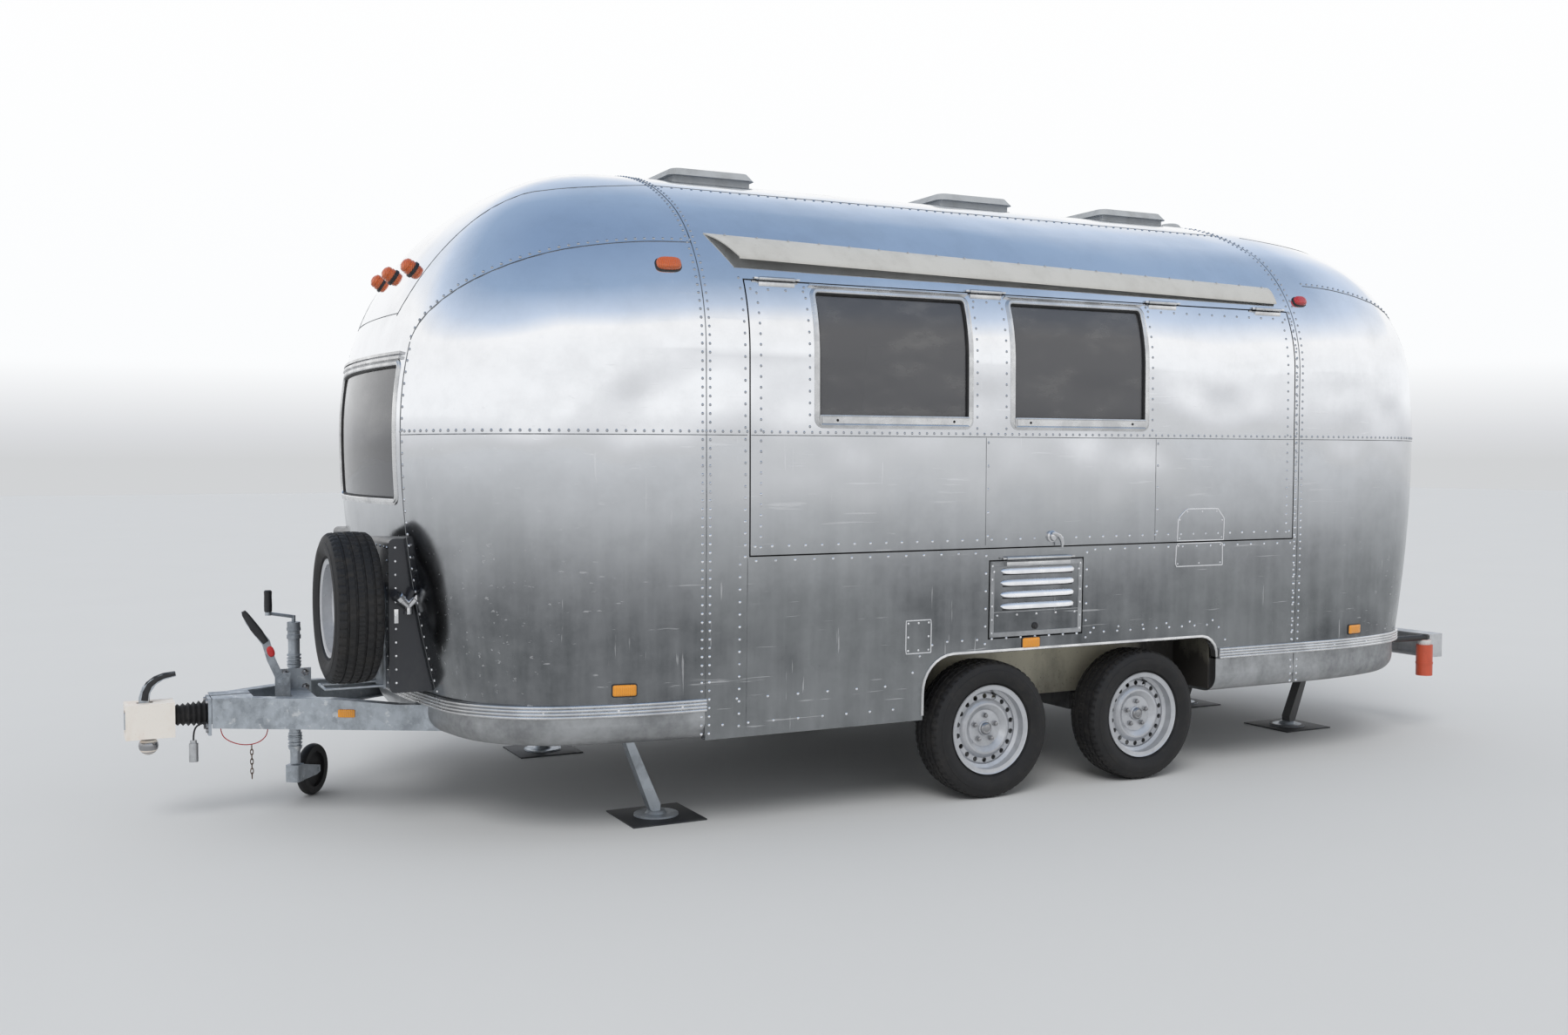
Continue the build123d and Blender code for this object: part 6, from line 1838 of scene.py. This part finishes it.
def tyre_mesh(heap, centre, facing, across, up):
    """A road tyre: tread with grooves and cuts across it, and ringed side walls."""
    cut = bpy.context.scene.caravan_sizes.tread_depth * 0.6
    section = tread_section()
    rows = []
    for index in range(TREAD_STEPS):
        angle = TREAD_START + 2 * math.pi * index / TREAD_STEPS
        out = across * math.cos(angle) + up * math.sin(angle)
        row = []
        for offset, radius, raised in section:
            phase = (index + (2 if offset > 0 else 0) + (1 if abs(offset) < 0.03 else 0)) % 4
            if raised and phase == 0:
                radius -= cut
            row.append(centre + facing * offset + out * radius)
        rows.append(row)
    heap.grid(rows, closed=True, wrap=True)


def build_wheels():
    """Tyres with tread, silver rims with their caps, bolts and valves, and the spare wheel."""
    for row, x in (("front", HUBS[0]), ("rear", HUBS[1])):
        for side_name, side in (("left", 1), ("right", -1)):
            place = f"{row}_{side_name}"
            centre = (x, side * HALF_TRACK, TYRE_RADIUS)
            wheel = f"wheel_{place}"
            wheel_parts(wheel, centre, (0, side, 0), wheel, f"tyre_{place}", f"rim_{place}")
    wheel_parts("spare", SPARE_CENTRE, (1, 0, 0), "caravan", "spare_tyre", "spare_rim")


def wheel_parts(name, centre, facing, on, tyre_node, rim_node):
    """Tyre, rim finish and small parts of one wheel."""
    centre = Vector(centre)
    facing = Vector(facing)
    across = Vector((0, 0, 1)).cross(facing).normalized()
    up = facing.cross(across)
    tread = Heap()
    tyre_mesh(tread, centre, facing, across, up)
    piece = tread.piece(f"{name}_tread", "tyre", on, "tyre_rubber", sharp=28)
    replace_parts(piece, tyre_node)
    dress(rim_node, "wheel")
    small = Heap()
    turned(small, centre + facing * 0.034, facing, HUB_CAP, 32)
    for index in range(5):
        angle = 2 * math.pi * index / 5 + 0.3
        out = across * math.cos(angle) + up * math.sin(angle)
        turned(small, centre + out * BOLT_CIRCLE + facing * 0.030, facing, WHEEL_BOLT, 6)
    small.piece(f"{name}_bolts", "ball", on)
    valve = Heap()
    spot = centre + up * 0.148 + across * 0.046
    stem = [spot + facing * out - across * lean for out, lean in ((0.012, 0), (0.036, 0.003), (0.058, 0.010))]
    tube(valve, stem, [0.006, 0.0055, 0.004], 10)
    valve.piece(f"{name}_valve", "black", on)


def dress(node, finish):
    """Gives a carried-over node its finish."""
    shape = frame["nodes"][node]
    if not shape.material_slots:
        shape.data.materials.append(None)
    for place in shape.material_slots:
        place.link = "OBJECT"
        place.material = finish_for(finish)


def build_frame_finishes():
    """Finishes of the nodes whose own shape is shown."""
    for finish, nodes in NODE_FINISHES.items():
        for node in nodes:
            dress(node, finish)


def build_cords():
    """The supply lead and the breakaway cable."""
    for name, node, finish, diameter, far_end, points, length in (
        ("supply_cord", "supply_lead", "lead", 0.007, "plug", SUPPLY_ROUTE, 0.107),
        ("breakaway_cord", "breakaway_cable", "cable", 0.004, "object", BREAKAWAY_ROUTE, 0.270),
    ):
        data = bpy.data.curves.new(name, "CURVE")
        data.dimensions = "3D"
        data.bevel_depth = diameter / 2
        data.bevel_resolution = 4
        data.resolution_u = 10
        data.use_fill_caps = True
        spline = data.splines.new("NURBS")
        spline.points.add(len(points) - 1)
        for place, point in zip(spline.points, points):
            place.co = (*point, 1)
        spline.order_u = 3
        spline.use_endpoint_u = True
        piece = add_object(name, data)
        data.materials.append(finish_for(finish))
        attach(piece, body("caravan"))
        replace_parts(piece, node)


def sleeve(heap, path, halves, wide):
    """A grip round a flat bar that bends in the caravan's middle plane."""
    rows = []
    for index, point in enumerate(path):
        along = (path[min(index + 1, len(path) - 1)] - path[max(index - 1, 0)]).normalized()
        across = Vector((0, 1, 0)).cross(along)
        row = []
        for step in range(20):
            angle = 2 * math.pi * step / 20
            c, s = math.cos(angle), math.sin(angle)
            side = wide * math.copysign(abs(c) ** 0.6, c)
            rise = halves[index] * math.copysign(abs(s) ** 0.6, s)
            row.append(point + Vector((0, side, 0)) + across * rise)
        rows.append(row)
    heap.grid(rows, closed=True, caps=True)


def build_bolts():
    """Bolt heads of the overrun gear, the drawbar's end flange and the coupling head."""
    bolts = Heap()
    for x, z in itertools.product((2.540, 2.624), (0.50, 0.565)):
        turned(bolts, (x, -0.134, z), (0, 1, 0), GEAR_BOLT, 6)
    for y, z in itertools.product((-0.045, 0.045), (0.375, 0.49)):
        turned(bolts, (2.949, y, z), (1, 0, 0), FLANGE_BOLT, 6)
    for x in (3.10, 3.14):
        turned(bolts, (x, 0.040, 0.440), (0, 1, 0), HEAD_BOLT, 6)
    bolts.piece("drawbar_bolts", "ball", "caravan")


def build_jockey_parts():
    """Rings and collar of the jockey wheel's tube, and the grip of its crank."""
    rings = Heap()
    x, y = JOCKEY_PLACE
    for low in JOCKEY_RINGS:
        turned(rings, (x, y, low), (0, 0, 1), JOCKEY_RING, 28)
    turned(rings, (x, y, 0.705), (0, 0, 1), JOCKEY_COLLAR, 28)
    rings.piece("jockey_rings", "zinc", "caravan")
    grips = Heap()
    turned(grips, (2.686, -0.151, 0.826), (0, 0, 1), CRANK_GRIP, 20)
    grips.piece("crank_grip", "black", "caravan")


def build_grips():
    """Grips of the brake lever and the coupling, the lever's button and the lock's ball."""
    lever = Heap()
    path = [LEVER_BASE + Vector((x, 0, z)) for x, z in LEVER_RUN]
    sleeve(lever, path, LEVER_HALVES, 0.0095)
    lever.piece("brake_lever_grip", "black", "brake_lever")
    button = Heap()
    spot = LEVER_BASE + Vector((0.048, 0.0062, 0.121))
    lens(button, spot, (0, 1, 0), (0.30, 0, 0.95), 0.0225, 0.0145, 0.007, 2.4)
    button.piece("brake_release", "button", "brake_lever")
    worn = Heap()
    sleeve(worn, [Vector((x, 0, z)) for x, z in COUPLING_RUN], COUPLING_HALVES, 0.0155)
    worn.piece("coupling_grip", "black", "caravan")
    ball = Heap()
    turned(ball, (3.170, 0, 0.325), (0, 0, -1), LOCK_BALL, 32)
    ball.piece("lock_ball", "ball", "caravan")


def build_box_parts():
    """Rivets, slot and chrome branch of the box behind the spare wheel."""
    rivets = Heap()
    ahead = Vector((1, 0, 0))
    for side in (1, -1):
        for z in spread(0.60, 1.13, 0.055):
            rivet(rivets, Vector((BOX_FACE, side * 0.570, z)), ahead, BOX_RIVET)
            rivet(rivets, Vector((2.31, side * 0.600, z)), Vector((0, side, 0)), BOX_RIVET)
    for y in spread(-0.52, 0.52, 0.075):
        for z in (0.585, 1.130):
            rivet(rivets, Vector((BOX_FACE, y, z)), ahead, BOX_RIVET)
    rivets.piece("box_rivets", "rivets", "caravan")
    slot = Heap()
    block(slot, (2.300, 0.5995, 0.834), (2.316, 0.6015, 0.889), 0.0005)
    slot.piece("box_slot", "trim", "caravan")
    fitting = Heap()
    turned(fitting, (2.262, 0.604, 0.866), (0, 0, 1), FITTING_STEM, 24)
    for lean in (0.042, -0.034):
        turned(fitting, (2.262, 0.610, 0.902), (lean, 0.020, 0.041), FITTING_BARREL, 24)
    fitting.piece("box_fitting", "chrome", "caravan")


def build_chain():
    """The short chain beside the breakaway cable, its links turned by turns."""
    chain = Heap()
    for index in range(7):
        middle = Vector((2.790, 0.103, 0.302 - index * 0.0195))
        across = Vector((1, 0, 0)) if index % 2 else Vector((0, 1, 0))
        points = []
        for step in range(17):
            angle = 2 * math.pi * step / 16
            rise = Vector((0, 0, 0.0125 * math.sin(angle)))
            points.append(middle + across * 0.0055 * math.cos(angle) + rise)
        tube(chain, points, 0.0019, 6)
    chain.piece("breakaway_chain", "rusty", "caravan")


def build_waste():
    """Cap and neck of the waste pipe."""
    x, y = WASTE_PLACE
    waste = Heap()
    turned(waste, (x, y, 0.4752), (0, 0, 1), WASTE_CAP, 32)
    waste.piece("waste_cap", "white", "caravan")
    neck = Heap()
    turned(neck, (x, y, 0.5010), (0, 0, 1), WASTE_NECK, 24)
    neck_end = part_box("waste_pipe")[1][0]
    turned(neck, (x - 0.002, y, 0.514), (1, 0, 0), [(0, 0.0158), (neck_end - x - 0.003, 0.0158)], 20)
    neck.piece("waste_neck", "black", "caravan")


def build_hitch():
    """Small parts of the drawbar, the brake lever, the jockey wheel, the coupling lock and the box."""
    build_bolts()
    build_jockey_parts()
    build_grips()
    build_box_parts()
    build_chain()
    build_waste()


def build_feet():
    """Boards and discs of the steadies, and the screws of the rails."""
    half = bpy.context.scene.caravan_sizes.board_width / 2
    step = STEADY_LEG * math.cos(STEADY_LEAN)
    for end, x, y in (("front", FRONT_PIVOT - step, 0.770), ("rear", REAR_PIVOT + step, 0.420)):
        for side_name, side in (("left", 1), ("right", -1)):
            name = f"{end}_{side_name}"
            board = Heap()
            block(board, (x - half, side * y - half, 0.0003), (x + half, side * y + half, 0.0066), 0.0015)
            board.piece(f"foot_board_{name}", "plate", f"steady_{name}")
            disc = Heap()
            turned(disc, (x, side * y, 0.006), (0, 0, 1), FOOT_DISC, 40)
            disc.piece(f"foot_disc_{name}", "zinc", f"steady_{name}")
    screws = Heap()
    for way, side in itertools.product((1, -1), (1, -1)):
        middle = RAIL_LOWS[way] + RAIL_HEIGHT / 2
        places = [end_point(way)(side * y, middle) for y in (0.25, 0.62, 0.86)]
        places += [wall_point(side)(seam_x(way) + way * along, middle) for along in (0.10, 0.35, 0.62)]
        for place in places:
            normal = normal_at(place)
            rivet(screws, place + normal * 0.0125, normal, 0.006)
    screws.piece("rail_screws", "rivets", "caravan")


# Stage


def build_floor():
    """The pale floor, a little mottled."""
    mesh = bpy.data.meshes.new("floor")
    half = FLOOR_HALF
    corners = [(-half, -half, 0), (half, -half, 0), (half, half, 0), (-half, half, 0)]
    mesh.from_pydata(corners, [], [(0, 1, 2, 3)])
    floor = add_object("floor", mesh)
    ground = Finish("floor_finish", {"Roughness": 0.85, "Specular IOR Level": 0.2})
    tone = look_value("floor")
    darker = tuple(part * 0.97 for part in tone)
    ground.feed("Base Color", ground.mix(ground.noise(0.8, detail=3), colour(tone), colour(darker)))
    mesh.materials.append(ground.material)


def build_world():
    """Even light from all round, behind which the camera and reflections see a pale sky."""
    world = bpy.data.worlds.new("studio")
    bpy.context.scene.world = world
    world.use_nodes = True
    tree = world.node_tree
    tree.nodes.clear()
    ways = add_node(tree, "ShaderNodeTexCoord", {}, {}, "Generated")
    rise = add_node(tree, "ShaderNodeSeparateXYZ", {}, {0: ways}, "Z")
    sky = add_node(tree, "ShaderNodeValToRGB", {"stops": SKY_STOPS}, {0: rise})
    shown = add_node(tree, "ShaderNodeBackground", {}, {0: sky, 1: 1.0})
    strength = look_value("sky_strength")
    light = add_node(tree, "ShaderNodeBackground", {}, {0: colour(SKY_LIGHT), 1: strength})
    seen = add_node(tree, "ShaderNodeLightPath", {}, {}, "Is Camera Ray")
    for ray in ("Is Glossy Ray", "Is Transmission Ray"):
        seen = seen.combine("MAXIMUM", seen, add_node(tree, "ShaderNodeLightPath", {}, {}, ray))
    both = add_node(tree, "ShaderNodeMixShader", {}, {0: seen, 1: light, 2: shown})
    add_node(tree, "ShaderNodeOutputWorld", {}, {0: both})


def build_stage():
    """Pale floor, soft light and the camera."""
    build_floor()
    build_world()
    lamp = bpy.data.lights.new("soft_sun", "SUN")
    lamp.angle = SUN_ANGLE
    lamp.energy = look_value("sun_strength")
    holder = add_object("soft_sun", lamp)
    holder.location = SUN_PLACE
    holder.visible_glossy = False
    holder.rotation_euler = Vector(SUN_WAY).to_track_quat("-Z", "Y").to_euler()
    lens_data = bpy.data.cameras.new("camera")
    lens_data.sensor_width = SENSOR_WIDTH
    lens_data.lens = SENSOR_WIDTH * look_value("focal_pixels") / IMAGE_WIDTH
    camera = add_object("camera", lens_data)
    camera.location = CAMERA_PLACE
    level = Vector((*CAMERA_WAY, 0)) * math.cos(CAMERA_DIP)
    aim = level - Vector((0, 0, math.sin(CAMERA_DIP)))
    camera.rotation_euler = aim.to_track_quat("-Z", "Y").to_euler()
    bpy.context.scene.camera = camera
    bpy.context.scene.view_settings.view_transform = "Standard"


# The add-on


class CaravanLooks(bpy.types.PropertyGroup):
    """Colours and strengths that a user would change."""

    sheet_bright: bpy.props.FloatVectorProperty(
        name="Bright sheet", description="Polished sheet high on the walls", subtype="COLOR", size=3,
        min=0, max=1, default=(0.91, 0.92, 0.94),
    )
    # The lower sheet's dark colour is a painted reflection of the dark ground, on top of dull sheet
    sheet_dull: bpy.props.FloatVectorProperty(
        name="Dull sheet", description="Hazy sheet low on the walls", subtype="COLOR", size=3,
        min=0, max=1, default=(0.125, 0.132, 0.138),
    )
    sheet_roughness: bpy.props.FloatProperty(
        name="Sheet roughness", description="Roughness of the cleanest sheet", default=0.05, min=0, max=1
    )
    glass_tint: bpy.props.FloatVectorProperty(
        name="Glass tint", description="Colour of the tinted panes", subtype="COLOR", size=3,
        min=0, max=1, default=(0.080, 0.080, 0.086),
    )
    hood_paint: bpy.props.FloatVectorProperty(
        name="Hood paint", description="Weathered paint of the hood", subtype="COLOR", size=3,
        min=0, max=1, default=(0.60, 0.585, 0.545),
    )
    wheel_paint: bpy.props.FloatVectorProperty(
        name="Wheel paint", description="Silver paint of the rims", subtype="COLOR", size=3,
        min=0, max=1, default=(0.60, 0.61, 0.63),
    )
    zinc: bpy.props.FloatVectorProperty(
        name="Zinc", description="Galvanised steel", subtype="COLOR", size=3,
        min=0, max=1, default=(0.50, 0.54, 0.58),
    )
    floor: bpy.props.FloatVectorProperty(
        name="Floor", description="Pale floor", subtype="COLOR", size=3,
        min=0, max=1, default=(0.72, 0.72, 0.71),
    )
    sky_strength: bpy.props.FloatProperty(
        name="Soft light", description="Strength of the light from all round", default=0.70, min=0, max=5
    )
    sun_strength: bpy.props.FloatProperty(
        name="Sun", description="Strength of the soft light from above", default=1.15, min=0, max=10
    )
    focal_pixels: bpy.props.FloatProperty(
        name="Focal length", description="Focal length in pixels of an 1800 pixel wide image",
        default=1690.0, min=1,
    )


class CaravanSizes(bpy.types.PropertyGroup):
    """Sizes of the small parts that a user would change."""

    rivet_radius: bpy.props.FloatProperty(
        name="Rivet radius", description="Radius of a rivet's head",
        default=0.0064, min=0.001, max=0.02, unit="LENGTH",
    )
    lap_height: bpy.props.FloatProperty(
        name="Lap height", description="How far a lapped edge stands proud",
        default=0.0010, min=0.0002, unit="LENGTH",
    )
    tread_depth: bpy.props.FloatProperty(
        name="Tread depth", description="Depth of the tyres' grooves",
        default=0.0078, min=0.001, max=0.01, unit="LENGTH",
    )
    louvre_depth: bpy.props.FloatProperty(
        name="Louvre depth", description="How far the louvres stand out",
        default=0.0145, min=0.002, unit="LENGTH",
    )
    board_width: bpy.props.FloatProperty(
        name="Board width", description="Side of the boards under the steadies",
        default=0.321, min=0.2, unit="LENGTH",
    )


class CARAVAN_OT_stage(bpy.types.Operator):
    """Pale floor, soft light and the camera."""

    bl_idname = "caravan.stage"
    bl_label = "Stage"

    def execute(self, context):
        build_stage()
        return {"FINISHED"}


class CARAVAN_OT_cords(bpy.types.Operator):
    """The supply lead and the breakaway cable."""

    bl_idname = "caravan.cords"
    bl_label = "Cords"

    def execute(self, context):
        build_cords()
        return {"FINISHED"}


class CARAVAN_OT_frame_finishes(bpy.types.Operator):
    """Finishes of the nodes whose own shape is shown."""

    bl_idname = "caravan.frame_finishes"
    bl_label = "Frame finishes"

    def execute(self, context):
        build_frame_finishes()
        return {"FINISHED"}


class CARAVAN_OT_shells(bpy.types.Operator):
    """The fixed walls, the rounded ends and the roof."""

    bl_idname = "caravan.shells"
    bl_label = "Shells"

    def execute(self, context):
        build_shells()
        return {"FINISHED"}


class CARAVAN_OT_doors(bpy.types.Operator):
    """The serving hatch, the locker door and the entry door, with their hinges."""

    bl_idname = "caravan.doors"
    bl_label = "Doors"

    def execute(self, context):
        build_doors()
        return {"FINISHED"}


class CARAVAN_OT_windows(bpy.types.Operator):
    """Window frames with their gaskets, sills and tinted panes."""

    bl_idname = "caravan.windows"
    bl_label = "Windows"

    def execute(self, context):
        build_windows()
        return {"FINISHED"}


class CARAVAN_OT_seams(bpy.types.Operator):
    """Lap edges and rows of rivets over the walls, the ends, the roof and the hatch."""

    bl_idname = "caravan.seams"
    bl_label = "Seams and rivets"

    def execute(self, context):
        build_seams()
        return {"FINISHED"}


class CARAVAN_OT_fittings(bpy.types.Operator):
    """Patches, the latch, the locker's frame and louvres, the entry handle and the arch's lip."""

    bl_idname = "caravan.fittings"
    bl_label = "Wall fittings"

    def execute(self, context):
        build_fittings()
        return {"FINISHED"}


class CARAVAN_OT_hood(bpy.types.Operator):
    """The long sheet hood over the hatch, lower at its rear end and cut back at its front."""

    bl_idname = "caravan.hood"
    bl_label = "Hatch hood"

    def execute(self, context):
        build_hood()
        return {"FINISHED"}


class CARAVAN_OT_lamps(bpy.types.Operator):
    """Marker lamps, crown lamps, reflectors and the rear lamps."""

    bl_idname = "caravan.lamps"
    bl_label = "Lamps"

    def execute(self, context):
        build_lamps()
        return {"FINISHED"}


class CARAVAN_OT_wheels(bpy.types.Operator):
    """Tyres with tread, silver rims with their caps, bolts and valves, and the spare wheel."""

    bl_idname = "caravan.wheels"
    bl_label = "Wheels"

    def execute(self, context):
        build_wheels()
        return {"FINISHED"}


class CARAVAN_OT_hitch(bpy.types.Operator):
    """Small parts of the drawbar, the brake lever, the jockey wheel, the coupling lock and the box."""

    bl_idname = "caravan.hitch"
    bl_label = "Hitch"

    def execute(self, context):
        build_hitch()
        return {"FINISHED"}


class CARAVAN_OT_feet(bpy.types.Operator):
    """Boards and discs of the steadies, and the screws of the rails."""

    bl_idname = "caravan.feet"
    bl_label = "Steady feet"

    def execute(self, context):
        build_feet()
        return {"FINISHED"}


builders = (
    CARAVAN_OT_stage,
    CARAVAN_OT_cords,
    CARAVAN_OT_frame_finishes,
    CARAVAN_OT_shells,
    CARAVAN_OT_doors,
    CARAVAN_OT_windows,
    CARAVAN_OT_seams,
    CARAVAN_OT_fittings,
    CARAVAN_OT_hood,
    CARAVAN_OT_lamps,
    CARAVAN_OT_wheels,
    CARAVAN_OT_hitch,
    CARAVAN_OT_feet,
)


class CARAVAN_PT_panel(bpy.types.Panel):
    """Lists the caravan's looks and its builders."""

    bl_idname = "CARAVAN_PT_panel"
    bl_label = "Caravan"
    bl_space_type = "VIEW_3D"
    bl_region_type = "UI"
    bl_category = "Caravan"

    def draw(self, context):
        looks = context.scene.caravan_looks
        for name in CaravanLooks.__annotations__:
            self.layout.prop(looks, name)
        for name in CaravanSizes.__annotations__:
            self.layout.prop(context.scene.caravan_sizes, name)
        for operator in builders:
            self.layout.operator(operator.bl_idname)


def register():
    """Registers the looks, the builders and the panel."""
    bpy.utils.register_class(CaravanLooks)
    bpy.types.Scene.caravan_looks = bpy.props.PointerProperty(type=CaravanLooks)
    bpy.utils.register_class(CaravanSizes)
    bpy.types.Scene.caravan_sizes = bpy.props.PointerProperty(type=CaravanSizes)
    for operator in builders:
        bpy.utils.register_class(operator)
    bpy.utils.register_class(CARAVAN_PT_panel)


def unregister():
    """Takes them out again."""
    bpy.utils.unregister_class(CARAVAN_PT_panel)
    for operator in reversed(builders):
        bpy.utils.unregister_class(operator)
    del bpy.types.Scene.caravan_sizes
    bpy.utils.unregister_class(CaravanSizes)
    del bpy.types.Scene.caravan_looks
    bpy.utils.unregister_class(CaravanLooks)


def main():
    """Builds everything in order."""
    register()
    for operator in builders:
        family, identifier = operator.bl_idname.split(".")
        getattr(getattr(bpy.ops, family), identifier)()


if __name__ == "__main__":
    main()
